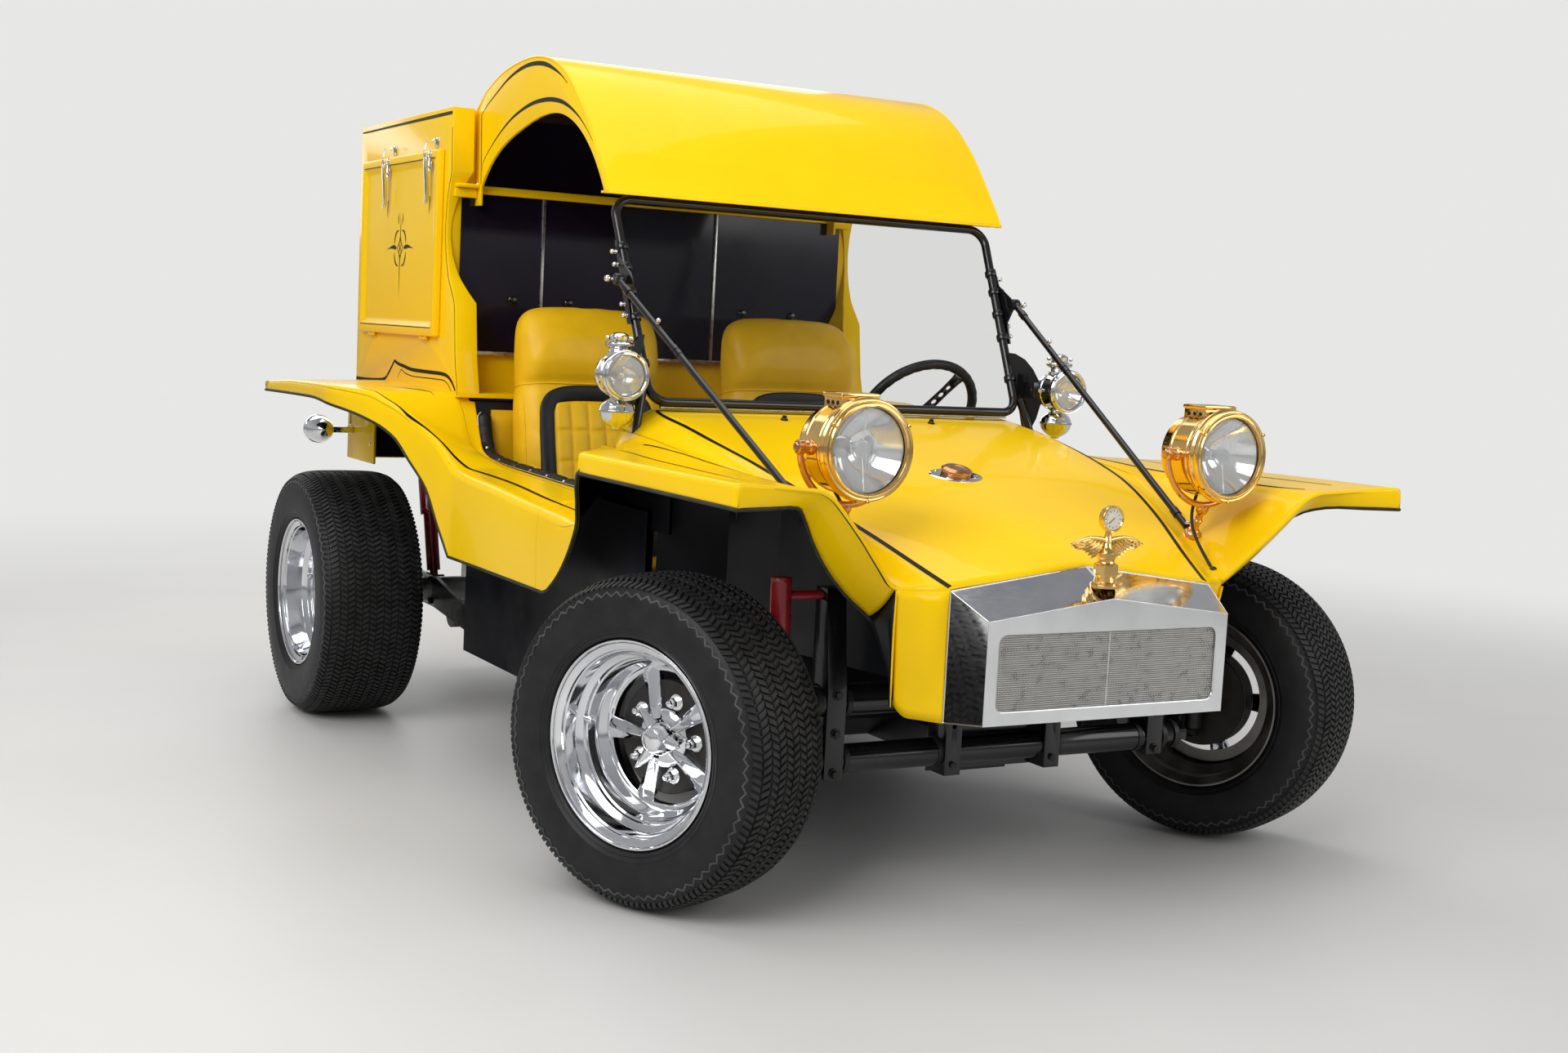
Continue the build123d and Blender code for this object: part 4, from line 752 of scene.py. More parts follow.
    # Spinner: domed cap with a ringed flat face and three blades.
    cap = Shape()
    top = disc + 0.030
    cap.lathe([(top - 0.012, 0.0), (top - 0.012, 0.034), (top, 0.0335), (top + 0.004, 0.0315),
               (top + 0.010, 0.0290), (top + 0.016, 0.0255), (top + 0.0185, 0.0235), (top + 0.0195, 0.0225),
               (top + 0.0180, 0.0212), (top + 0.0190, 0.0195), (top + 0.0205, 0.0)], place, steps=56)
    for a in angles(3, 0.5):
        e_r, e_t = polar(0, 1, a), polar(0, 1, a + math.pi / 2)
        grid = []
        for r, wide, low, high in ((0.020, 0.0150, 0.000, 0.014), (0.033, 0.0140, 0.002, 0.015),
                                   (0.045, 0.0118, 0.005, 0.0165), (0.058, 0.0080, 0.009, 0.018),
                                   (0.068, 0.0040, 0.013, 0.0185), (0.0725, 0.0010, 0.016, 0.0180)):
            middle = (low + high) / 2 + 0.002
            section = [(-wide, low), (-wide * 0.5, middle), (0.0, high), (wide * 0.5, middle), (wide, low),
                       (0.0, low - 0.002)]
            grid.append([place @ (e_r * r + e_t * t + Vector((top + w, 0, 0))) for t, w in section])
        cap.grid(grid, close_v=True)
    cap.piece(name + "_spinner", "chrome", body, angle=32)
    # Tyre valve through the barrel.
    valve = Shape()
    stem = place @ Vector((disc + 0.52 * depth, 0.02, lip - 0.042))
    toward = (place @ Vector((disc + 0.52 * depth, 0.017, lip - 0.064))) - stem
    valve.lathe([(0.0, 0.0), (0.0, 0.0055), (0.006, 0.0055), (0.007, 0.0068), (0.020, 0.0068),
                 (0.022, 0.0055), (0.022, 0.0)], turned(stem, toward), steps=14)
    valve.piece(name + "_valve", "chrome", body, smooth=False)


def make_drum(wheel):
    """Finned brake drum with a backing plate's rolled edge."""
    drum, disc = Shape(), wheel.disc
    profile = [(disc - 0.0475, 0.018), (disc - 0.0475, 0.108), (disc - 0.046, 0.1155)]
    for k in range(5):
        w = disc - 0.043 + 0.0078 * k
        profile += [(w, 0.1155), (w + 0.001, 0.1105), (w + 0.0045, 0.1105), (w + 0.0055, 0.1155)]
    profile += [(disc - 0.0015, 0.1155), (disc - 0.0005, 0.1130), (disc - 0.0005, 0.060),
                (disc - 0.0035, 0.056), (disc - 0.0035, 0.0)]
    drum.lathe(profile, turned(wheel.hub, wheel.axle), steps=72)
    name = "drum_" + wheel.name
    drum.piece(name + "_finned", "iron", "wheel_" + wheel.name, angle=28, node=name)


for each_wheel in WHEELS:
    make_tyre(each_wheel)
    make_rim(each_wheel)
    make_drum(each_wheel)


# Body moulding. Front body at each station: x, then (y, z) from the centre line out.
NOSE = [
    (0.400, [(0, 0.957), (0.500, 0.958), (0.560, 0.925), (0.585, 0.890), (0.598, 0.850), (0.598, 0.800)]),
    (0.560, [(0, 0.925), (0.500, 0.935), (0.548, 0.905), (0.585, 0.885), (0.650, 0.872), (0.650, 0.800)]),
    (0.720, [(0, 0.890), (0.500, 0.902), (0.538, 0.872), (0.570, 0.879), (0.815, 0.878), (0.815, 0.832)]),
    (0.930, [(0, 0.842), (0.475, 0.852), (0.520, 0.826), (0.568, 0.868), (0.816, 0.878), (0.816, 0.832)]),
    (1.150, [(0, 0.786), (0.413, 0.776), (0.480, 0.744), (0.596, 0.864), (0.818, 0.879), (0.818, 0.832)]),
    (1.310, [(0, 0.742), (0.356, 0.711), (0.425, 0.672), (0.608, 0.862), (0.820, 0.880), (0.820, 0.832)]),
    (1.450, [(0, 0.702), (0.312, 0.656), (0.360, 0.628), (0.604, 0.862), (0.822, 0.880), (0.822, 0.832)]),
]
# Front edge seen from above: half width against x.
NOSE_EDGE = [(0, 1.403), (0.326, 1.403), (0.372, 1.372), (0.418, 1.350), (0.470, 1.366), (0.530, 1.388),
             (0.621, 1.404), (0.822, 1.448)]
NOSE_ROUND = [0.016, 0.045, 0.035, 0.013]
# Body side at each station: x, height inside, half width and height of the crease.
SIDES = [(-1.385, 0.938, 0.948, 0.926), (-1.070, 0.948, 0.950, 0.942), (-0.760, 0.950, 0.945, 0.946),
         (-0.560, 0.940, 0.880, 0.938), (-0.520, 0.885, 0.850, 0.921), (-0.457, 0.790, 0.805, 0.890),
         (-0.340, 0.768, 0.768, 0.826), (-0.224, 0.762, 0.752, 0.757), (0.030, 0.755, 0.750, 0.740),
         (0.300, 0.748, 0.750, 0.722), (0.580, 0.744, 0.752, 0.708)]
# Wall that joins the side to the front fender: its half width against x, and its top.
FENDER_WALL = [(0.345, 0.600), (0.450, 0.664), (0.572, 0.748), (0.640, 0.783), (0.720, 0.815)]
FENDER_WALL_TOP = [(0.345, 0.866), (0.600, 0.866), (0.720, 0.877)]
REAR_ARCH = [(-1.500, 0.897), (-0.879, 0.905), (-0.680, 0.888), (-0.560, 0.862), (-0.500, 0.826),
             (-0.457, 0.772), (-0.370, 0.687), (-0.318, 0.610), (-0.253, 0.530)]
FRONT_ARCH = [(0.384, 0.530), (0.410, 0.537), (0.437, 0.553), (0.471, 0.577), (0.513, 0.617), (0.552, 0.668),
              (0.577, 0.715), (0.592, 0.757), (0.640, 0.795), (0.718, 0.833)]
# Lip under the front fender's front edge: y, then the foot's x and z.
FRONT_LIP = [(0.405, 1.252, 0.590), (0.418, 1.255, 0.602), (0.470, 1.265, 0.640), (0.530, 1.283, 0.694),
             (0.575, 1.305, 0.745), (0.621, 1.335, 0.806), (0.665, 1.385, 0.830), (0.740, 1.422, 0.832),
             (0.822, 1.448, 0.832)]
# Gusset between the lip and the nose's side: z, then the front and rear ends in x and y.
GUSSET = [(0.430, (1.319, 0.391), (1.306, 0.386)), (0.480, (1.326, 0.395), (1.303, 0.385)),
          (0.540, (1.336, 0.402), (1.275, 0.391)), (0.590, (1.343, 0.407), (1.251, 0.403)),
          (0.657, (1.353, 0.414), (1.338, 0.409))]
TUB_IN_Y, TUB_OUT_Y = 0.590, 0.6075
TAIL_X, TAIL_LOW = -1.476, 0.690
PAINT_LIFT = 0.0007


def nose_section(x):
    """Rounded outline of the front body at x, from the middle out."""
    points = []
    for i in range(6):
        y = table_value([s[0] for s in NOSE], [s[1][i][0] for s in NOSE], x)
        z = table_value([s[0] for s in NOSE], [s[1][i][1] for s in NOSE], x)
        points.append((x, y, z))
    return rounded(points, NOSE_ROUND, per=6, run=5)


def nose_point(u, index):
    """Point of the front body: u from the cowl, 0, to the front edge, 1, at an index of the outline."""
    x = 0.400 + u
    for _ in range(6):
        y = nose_section(x)[index].y
        x = 0.400 + u * (table_value([p[0] for p in NOSE_EDGE], [p[1] for p in NOSE_EDGE], y) - 0.400)
    return nose_section(x)[index]


NOSE_COUNT = len(nose_section(0.5))
NOSE_ROWS = 44


def hood_crown(p):
    """The hood swells a little between its edges."""
    half = table_value([s[0] for s in NOSE], [s[1][1][0] for s in NOSE], p.x)
    lift = 0.010 * max(0.0, 1 - (p.y / half) ** 2) if abs(p.y) < half else 0.0
    return Vector((p.x, p.y, p.z + lift * min(1.0, (1.403 - p.x) / 0.25, (p.x - 0.36) / 0.15)))


def make_nose():
    """Hood, cowl and front fenders as one skin, black underneath."""
    nose = Shape()
    rows = []
    for i in range(NOSE_ROWS + 1):
        u = i / NOSE_ROWS
        rows.append([hood_crown(nose_point(u, k)) for k in range(NOSE_COUNT)])
    nose.grid(rows, flip=True)
    nose.mirror()
    bm = bmesh.new()
    points = [bm.verts.new(v) for v in nose.verts]
    for f in nose.faces:
        bm.faces.new([points[i] for i in f])
    bmesh.ops.remove_doubles(bm, verts=bm.verts[:], dist=1e-5)
    bmesh.ops.recalc_face_normals(bm, faces=bm.faces[:])
    bm.verts.index_update()
    verts = [v.co.copy() for v in bm.verts]
    faces = [[v.index for v in f.verts] for f in bm.faces]
    top = max(bm.faces, key=lambda f: f.calc_center_median().z)
    if top.normal.z < 0:
        faces = [list(reversed(f)) for f in faces]
    bm.free()
    skin = mesh_piece("body_nose", verts, faces, "body_yellow", angle=60, extra=("black_paint",),
                      node="body_tub")
    return shell(skin, 0.006)


def reading(table, x, column=1):
    """A table's column at x; its first column holds x."""
    return table_value([row[0] for row in table], [row[column] for row in table], x)


def side_top(x):
    """Inner top edge and crease of the body side at x."""
    return [reading(SIDES, x, k) for k in (1, 2, 3)]


def side_foot(x):
    """Lowest height of the body side at x: the arches' edges and the sill."""
    foot = 0.530
    if x < REAR_ARCH[-1][0]:
        foot = max(foot, reading(REAR_ARCH, x))
    if x > FRONT_ARCH[0][0]:
        foot = max(foot, reading(FRONT_ARCH, x))
    return foot


SIDE_XS = ([-1.385 + 0.045 * k for k in range(14)] + [-0.755 + 0.014 * k for k in range(42)]
           + [-0.167 + 0.030 * k for k in range(17)] + [0.3440, 0.3448, 0.352, 0.362, 0.373]
           + [0.384 + 0.0084 * k for k in range(41)])
SIDE_XS = [x for x in SIDE_XS if x <= 0.7201]


def side_section(x):
    """Deck or fender wall, shelf, rounded crease and side panel at x, from inside to the foot."""
    in_z, out_y, out_z = side_top(x)
    foot = side_foot(x)
    if x > FENDER_WALL[0][0] - 0.0005:
        wall_y, top = reading(FENDER_WALL, x), reading(FENDER_WALL_TOP, x)
        out_y = max(out_y, wall_y)
        t = (wall_y - TUB_IN_Y) / (out_y - TUB_IN_Y)
        shelf = max(in_z + (out_z - in_z) * t, foot + 0.004)
        points = [(x, TUB_IN_Y, top), (x, wall_y, top), (x, wall_y + 0.002, shelf)]
    else:
        points = [(x, TUB_IN_Y, in_z), (x, TUB_IN_Y + 0.10 * (out_y - TUB_IN_Y), in_z + 0.002),
                  (x, TUB_IN_Y + 0.20 * (out_y - TUB_IN_Y), in_z + 0.21 * (out_z - in_z) + 0.002)]
    out_z = max(out_z, foot + 0.002)
    out_y = max(out_y, points[2][1] + 0.0005)
    drop = out_z - foot
    points += [(x, out_y, out_z), (x, out_y + min(0.004, 0.1 * drop), out_z - 0.35 * drop), (x, out_y, foot)]
    return rounded(points, [0.012, 0.014, 0.020, 0.05], per=6, run=4)


def make_side():
    """Body sides and rear fenders, with the arches' edges turned in."""
    side = Shape()
    lipped = []
    for x in SIDE_XS:
        row = side_section(x)
        foot = row[-1]
        lipped.append(row + [foot + Vector((0, -0.003, -0.001)), foot + Vector((0, -0.006, 0.0))])
    side.grid(lipped, flip=True)
    side.mirror()
    return shell(side.piece("body_sides", "body_yellow", angle=42, extra=("black_paint",)), 0.006)


def make_lip():
    """Lip that turns down and back under the fender's front edge, and its gusset to the nose's side."""
    lip = Shape()
    edge = [nose_point(1, k) for k in range(NOSE_COUNT)]
    edge = [p for p in edge if p.y > 0.408 and p.z > 0.8325 or 0.408 < p.y < 0.66]
    rows = []
    for p in edge:
        foot = Vector((reading(FRONT_LIP, p.y, 1), p.y, reading(FRONT_LIP, p.y, 2)))
        middle = p.lerp(foot, 0.5) + Vector((0.10, 0, -0.10)) * (p - foot).length
        rows.append([p * (1 - t) ** 2 + middle * 2 * t * (1 - t) + foot * t * t
                     for t in (0, 0.12, 0.25, 0.4, 0.55, 0.7, 0.85, 1)])
    lip.grid(rows)
    gusset = []
    for z, (x0, y0), (x1, y1) in GUSSET:
        gusset.append([Vector((x0 + (x1 - x0) * t, y0 + (y1 - y0) * t, z)) for t in (0, 0.25, 0.5, 0.75, 1)])
    lip.grid(gusset, flip=True)
    lip.mirror()
    shell(lip.piece("body_front_lips", "body_yellow", angle=50, extra=("black_paint",)), 0.005)


def make_edge_trim():
    """Black beading round the lips' feet, the fender flanges, both arches and the sills."""
    trim = Shape()
    front = [Vector((x, y, z)) for y, x, z in FRONT_LIP]
    flange = [Vector((1.448 - 0.728 * k / 14, 0.822 - 0.007 * k / 14, 0.832)) for k in range(1, 14)]
    side = [side_section(x)[-1] for x in reversed(SIDE_XS)]
    line = smooth_line(front, 3) + flange + side
    thin = [line[0]]
    for p in line[1:]:
        if (p - thin[-1]).length > 0.006:
            thin.append(p)
    trim.tube(thin, 0.0040, steps=8)
    trim.mirror()
    trim.piece("edge_beading", "rubber_lead", angle=80)


def make_cheeks():
    """Sides of the nose, from the hood's edge down beside the radiator shell."""
    start = next(k for k in range(NOSE_COUNT) if nose_point(1, k).y > 0.326) - 1
    stop = max(k for k in range(NOSE_COUNT) if nose_point(1, k).y < 0.424)
    tops = [nose_point(1, k) for k in range(start, stop + 1)]
    tops[0] = nose_point(1, start).lerp(nose_point(1, start + 1), 0.5)
    n = len(tops)
    cheek = Shape()
    grid = []
    for i, top in enumerate(tops):
        t = i / (n - 1)
        foot = Vector((1.404 - 0.088 * t, 0.326 + 0.058 * t, 0.411 + 0.022 * max(0, (t - 0.7) / 0.3) ** 2))
        column = []
        for j in range(13):
            s = j / 12
            p = Vector(top).lerp(foot, s)
            bulge = 0.010 * math.sin(math.pi * t) * math.sin(math.pi * min(1, s * 1.2))
            column.append(p + Vector((0.5, 0.85, 0)) * bulge)
        grid.append(column)
    cheek.grid(grid)
    cheek.mirror()
    shell(cheek.piece("body_cheeks", "body_yellow", angle=50, extra=("black_paint",)), 0.005)


def make_tub():
    """Inner walls of the tub, the deck under the load box, and the tail plates."""
    tub = Shape()
    for side in (-1, 1):
        xs = [x for x in SIDE_XS if -0.56 < x < 0.63]
        rows = []
        for x in xs:
            top = side_top(x)[0] - 0.003
            low = 0.500
            rows.append([Vector((x, side * TUB_OUT_Y, low)), Vector((x, side * TUB_IN_Y, low)),
                         Vector((x, side * TUB_IN_Y, top)), Vector((x, side * TUB_OUT_Y, top))])
        tub.grid(rows, close_v=True, flip=side > 0)
    tub.block((-0.548, -0.606, 0.500), (-0.540, 0.606, 0.925), bevel=0.002)
    tub.block((-1.470, -0.606, 0.918), (-0.540, 0.606, 0.930), bevel=0.002)
    tub.piece("tub_walls", "black_paint", angle=30)
    tail = Shape()
    tail.block((TAIL_X, -0.666, TAIL_LOW), (-1.468, 0.666, 0.920), bevel=0.003)
    for side in (-1, 1):
        tail.block((TAIL_X, side * 0.658, TAIL_LOW), (-1.200, side * 0.666, 0.928), bevel=0.003)
        tail.block((TAIL_X, side * 0.606, 0.902), (-1.200, side * 0.666, 0.930), bevel=0.003)
    tail.piece("tail_plates", "body_yellow", angle=30)


def mesh_tree(mesh):
    """Search tree of a mesh."""
    bm = bmesh.new()
    bm.from_mesh(mesh)
    tree = BVHTree.FromBMesh(bm)
    bm.free()
    return tree


def surface_tree(piece):
    """Search tree of a piece's finished surface."""
    graph = bpy.context.evaluated_depsgraph_get()
    graph.update()
    done = bpy.data.meshes.new_from_object(piece.evaluated_get(graph))
    tree = mesh_tree(done)
    bpy.data.meshes.remove(done)
    return tree


def painted_line(shape, tree, line, toward, half, taper=None, across_steps=3):
    """Thin painted stripe: every point of the line, and of its two edges, is dropped onto the surface.

    Rows start at the object's far side along the direction and stop where the surface is missed."""
    toward = Vector(toward)
    n = len(line)
    rows = []
    for i, p in enumerate(line):
        along = (line[min(i + 1, n - 1)] - line[max(i - 1, 0)]).normalized()
        across = along.cross(toward).normalized()
        width = half * (taper(i / (n - 1)) if taper else 1.0)
        row = []
        for k in range(across_steps + 1):
            start = p + across * width * (2 * k / across_steps - 1) - toward * 0.9
            hit, normal, _, _ = tree.ray_cast(start, toward)
            if hit is None:
                row = None
                break
            if normal.dot(toward) > 0:
                normal = -normal
            row.append(hit + normal * PAINT_LIFT)
        if row:
            rows.append(row)
        else:
            if len(rows) > 1:
                shape.grid(rows)
            rows = []
    if len(rows) > 1:
        shape.grid(rows)


def spindle(t):
    """Width that swells from a fine point to the middle and back."""
    return 0.12 + 0.88 * math.sin(math.pi * t)


def swell(low, high, place=0.5):
    """Width that runs from one share to another and back, widest at a place along the line."""
    def width(t):
        """Share of the width at t along the line."""
        s = t / place if t < place else (1 - t) / (1 - place)
        return low + (high - low) * (0.5 - 0.5 * math.cos(math.pi * min(max(s, 0), 1)))
    return width


NOSE_SKIN = make_nose()
SIDE_SKIN = make_side()
make_cheeks()
make_lip()
make_tub()
make_edge_trim()


# Painted stripes on the body. Paths are given in plan, as x and y of the left-hand side.
HOOD_EDGE = [(0.424, 0.498), (0.461, 0.503), (0.516, 0.504), (0.593, 0.501), (0.670, 0.497), (0.740, 0.491),
             (0.800, 0.484), (0.850, 0.477), (0.930, 0.465), (1.030, 0.441), (1.130, 0.411), (1.270, 0.362),
             (1.397, 0.322)]
FENDER_INNER = [(0.560, 0.592), (0.650, 0.583), (0.760, 0.582), (0.900, 0.586), (1.010, 0.596),
                (1.165, 0.616), (1.270, 0.630), (1.340, 0.644)]
FENDER_OUTER = [(0.665, 0.700), (0.755, 0.704), (0.859, 0.711), (0.977, 0.716), (1.107, 0.725),
                (1.229, 0.735), (1.320, 0.743)]
SHOULDER = [(-0.600, 0.885), (-0.540, 0.854), (-0.490, 0.820), (-0.430, 0.790), (-0.360, 0.758),
            (-0.300, 0.736), (-0.250, 0.716), (-0.190, 0.701), (-0.100, 0.692), (0.073, 0.691),
            (0.263, 0.697), (0.366, 0.698), (0.450, 0.701), (0.520, 0.716)]
DECK_WING = [(-0.690, 0.830), (-0.655, 0.775), (-0.615, 0.740), (-0.575, 0.716), (-0.545, 0.704)]


def both_sides(path, per=8):
    """Smooth line above a path's points on the left, and its mirror image on the right."""
    left = smooth_line([Vector((x, y, 1.2)) for x, y in path], per)
    return left, [Vector((p.x, -p.y, p.z)) for p in left]


def make_stripes():
    """Stripes on hood, fenders and shoulders, each dropped onto the skins below it."""
    down = Vector((0, 0, -1))
    nose, side = surface_tree(NOSE_SKIN), surface_tree(SIDE_SKIN)
    stripes = Shape()
    for line in both_sides(HOOD_EDGE):
        painted_line(stripes, nose, line, down, 0.0056, lambda t: 0.70 + 0.30 * t)
    half_base = [(0.420, 0.500), (0.429, 0.460), (0.436, 0.400), (0.4395, 0.360), (0.4400, 0.200),
                 (0.4400, 0.0)]
    for line in both_sides(half_base, 12):
        painted_line(stripes, nose, line, down, 0.0040)
    front = [Vector((1.3998, -0.322 + 0.644 * k / 40, 1.2)) for k in range(41)]
    painted_line(stripes, nose, front, down, 0.0040)
    for line in both_sides(FENDER_INNER):
        painted_line(stripes, nose, line, down, 0.0042, swell(0.60, 1.0, 0.60))
    for line in both_sides(FENDER_OUTER):
        painted_line(stripes, nose, line, down, 0.0030, swell(0.6, 1.0, 0.6))
    for line in both_sides(SHOULDER):
        painted_line(stripes, side, line, down, 0.0052, swell(0.22, 1.0, 0.62), across_steps=4)
    for line in both_sides(DECK_WING):
        painted_line(stripes, side, line, down, 0.0042, swell(0.10, 1.0, 0.6))
    stripes.piece("body_stripes", "stripe", angle=60)


make_stripes()


# Lamps
LAMP = Vector((1.305, -0.460, 0.931))
LAMP_FOOT = Vector((1.177, -0.474, 0.744))
COWL_LAMP = Vector((0.520, -0.620, 1.035))
LEAD = [(1.190, -0.470, 0.844), (1.198, -0.452, 0.815), (1.210, -0.440, 0.780), (1.238, -0.433, 0.745),
        (1.272, -0.431, 0.712), (1.300, -0.431, 0.685)]


def flipped(point, side):
    """A right-hand point's place on a side: -1 for the right, 1 for the left."""
    return Vector((point[0], point[1] * -side, point[2]))


def make_headlamps():
    """Brass drum with stepped bands, a wide beaded rim, a vent box with holes, and a fluted glass."""
    drum, holes, lens, bowl, bulb = Shape(), Shape(), Shape(), Shape(), Shape()
    for side in (-1, 1):
        centre = flipped(LAMP, side)
        place = turned(centre, (1, 0, 0))
        profile = [(-0.010, 0.083), (-0.002, 0.0845), (0.0, 0.0875), (-0.0005, 0.0905), (-0.003, 0.0920),
                   (-0.004, 0.0935), (-0.003, 0.0960), (-0.004, 0.0985), (-0.008, 0.1000), (-0.012, 0.1000),
                   (-0.016, 0.0985), (-0.020, 0.1020), (-0.0235, 0.1025), (-0.027, 0.1010), (-0.028, 0.0965),
                   (-0.033, 0.0920), (-0.038, 0.0912), (-0.046, 0.0912), (-0.048, 0.0930), (-0.052, 0.0930),
                   (-0.054, 0.0905), (-0.080, 0.0900), (-0.098, 0.0898), (-0.100, 0.0915), (-0.105, 0.0915),
                   (-0.107, 0.0870), (-0.112, 0.0858), (-0.130, 0.0850), (-0.136, 0.0835), (-0.138, 0.0770),
                   (-0.142, 0.0700), (-0.148, 0.0560), (-0.1505, 0.0440), (-0.1495, 0.0400), (-0.153, 0.0380),
                   (-0.1538, 0.0)]
        drum.lathe(profile, place, steps=96)
        # Vent box on top, with a rolled lid.
        x0, x1 = centre.x - 0.120, centre.x - 0.050
        drum.block((x0, centre.y - 0.041, centre.z + 0.060), (x1, centre.y + 0.041, centre.z + 0.099),
                   bevel=0.003)
        drum.block((x0 - 0.002, centre.y - 0.045, centre.z + 0.098),
                   (x1 + 0.003, centre.y + 0.045, centre.z + 0.108), bevel=0.004)
        hole = [(0.0002, 0.0), (0.0002, 0.0042), (-0.002, 0.0046)]
        for row in (0.0895, 0.0765):
            for k in range(4):
                y = centre.y + (k - 1.5) * 0.0175
                holes.lathe(hole, turned((x1 + 0.0012, y, centre.z + row), (1, 0, 0)), steps=14)
        for face in (-1, 1):
            for k in range(3):
                at = (x0 + 0.016 + 0.019 * k, centre.y + face * 0.0422, centre.z + 0.088)
                holes.lathe(hole, turned(at, (0, face, 0)), steps=14)
        # Three screws round the rim.
        for a in angles(3, math.pi):
            drum.lathe([(-0.012, 0.0040), (-0.001, 0.0040), (0.001, 0.0028), (0.001, 0.0)],
                       place @ Matrix.Translation(polar(0, 0.0984, a)), steps=12)
        # Fluted glass: upright ribs in three bands over a shallow dome.
        glass_r = 0.0828
        rows = []
        for i in range(17):
            r = glass_r * i / 16
            row = []
            for a in angles(144):
                y, z = r * math.cos(a), r * math.sin(a)
                pitch = 0.0105 if abs(z) < 0.03 else 0.007
                rib = abs(math.sin(math.pi * (y + 0.0004 * (z > 0)) / pitch))
                flute = 0.0010 * rib * min(1, (glass_r - r) / 0.008)
                dome = 0.006 * (1 - (r / glass_r) ** 2)
                row.append(Vector((centre.x - 0.0135 + dome + flute, centre.y + y, centre.z + z)))
            rows.append(row)
        lens.grid(rows, close_v=True)
        # Reflector bowl, bulb and its shield.
        bowl.lathe([(-0.016, 0.0822)] + [(-0.016 - 0.062 * (1 - (t / 10) ** 2), 0.0822 * t / 10)
                                        for t in range(9, -1, -1)], place, steps=72)
        bulb.lathe([(-0.076, 0.012), (-0.060, 0.012), (-0.058, 0.009), (-0.050, 0.009), (-0.044, 0.0)], place,
                   steps=20)
        bulb.lathe([(-0.030, 0.0), (-0.030, 0.017), (-0.034, 0.019), (-0.036, 0.019)], place, steps=28)
        for y in (1, -1):
            bulb.tube([place @ Vector((-0.033, 0.017 * y, 0)), place @ Vector((-0.020, 0.082 * y, 0))],
                      0.0015, steps=8)
    drum.piece("headlamp_drums", "brass", angle=28, node="headlamps")
    holes.piece("headlamp_vents", "black_paint", smooth=False)
    lens.piece("headlamp_glasses", "lens_glass", angle=80, node="lamp_lenses")
    bowl.piece("headlamp_reflectors", "chrome", angle=80)
    bulb.piece("headlamp_bulbs", "chrome", angle=40)


def make_forks():
    """Copper half hoops with acorn nuts at the trunnions, on waisted stems with a clamp at the foot."""
    fork, stem = Shape(), Shape()
    for side in (-1, 1):
        centre = flipped(LAMP, side) + Vector((-0.080, 0, 0))
        foot = flipped(LAMP_FOOT, side)
        fork.tube([centre + polar(0, 0.112, math.pi + math.pi * k / 40) for k in range(41)], 0.0068, steps=14)
        for face in (-1, 1):
            at = turned(centre + Vector((0, face * 0.088, 0)), (0, face, 0))
            fork.lathe([(0.0, 0.016), (0.006, 0.016), (0.008, 0.013), (0.016, 0.0115), (0.018, 0.0145),
                        (0.030, 0.0145), (0.032, 0.0105)], at, steps=28)
            fork.lathe([(0.032, 0.0105), (0.033, 0.0092), (0.0355, 0.0085), (0.036, 0.0)], at, steps=6)
        low = centre + Vector((0, 0, -0.112))
        axis = low - foot
        length = axis.length
        at = turned(foot, axis)
        stem.lathe([(-0.004, 0.0), (-0.004, 0.020), (0.002, 0.020), (0.004, 0.0165), (0.012, 0.0165),
                    (0.016, 0.013), (0.020, 0.0125), (0.022, 0.0085), (length * 0.45, 0.0075),
                    (length * 0.48, 0.0105), (length * 0.54, 0.0105), (length * 0.57, 0.0075),
                    (length - 0.022, 0.0080), (length - 0.018, 0.0125), (length - 0.006, 0.0135),
                    (length, 0.0105), (length + 0.006, 0.0)], at, steps=28)
        stem.lathe([(0.004, 0.0), (0.004, 0.0195), (0.0125, 0.0195), (0.0125, 0.0)], at, steps=6)
    fork.piece("lamp_fork_hoops", "copper", angle=32, node="lamp_forks")
    stem.piece("lamp_fork_stems", "copper", angle=32)


def make_leads():
    """Black lead from the back of each drum, down to a grommet in the fender."""
    for side, name in ((-1, "right"), (1, "left")):
        curve = bpy.data.curves.new("lamp_lead_" + name, "CURVE")
        curve.dimensions = "3D"
        spline = curve.splines.new("NURBS")
        spline.points.add(len(LEAD) - 1)
        for point, place in zip(spline.points, LEAD):
            point.co = (*flipped(place, side), 1)
        spline.order_u = 3
        spline.use_endpoint_u = True
        curve.resolution_u = 12
        curve.bevel_depth = 0.0035
        curve.bevel_resolution = 4
        curve.materials.append(M["rubber_lead"])
        lead = new_object("lamp_lead_" + name, curve)
        join(lead, "chassis", "lamp_leads" if side < 0 else None)
        grommet = Shape()
        end = flipped(LEAD[-1], side)
        grommet.lathe([(-0.004, 0.0036), (-0.004, 0.008), (0.000, 0.0095), (0.004, 0.0095), (0.006, 0.0)],
                      turned(end, end - flipped(LEAD[-2], side)), steps=20)
        grommet.piece("lead_grommet_" + name, "rubber_lead", angle=40)


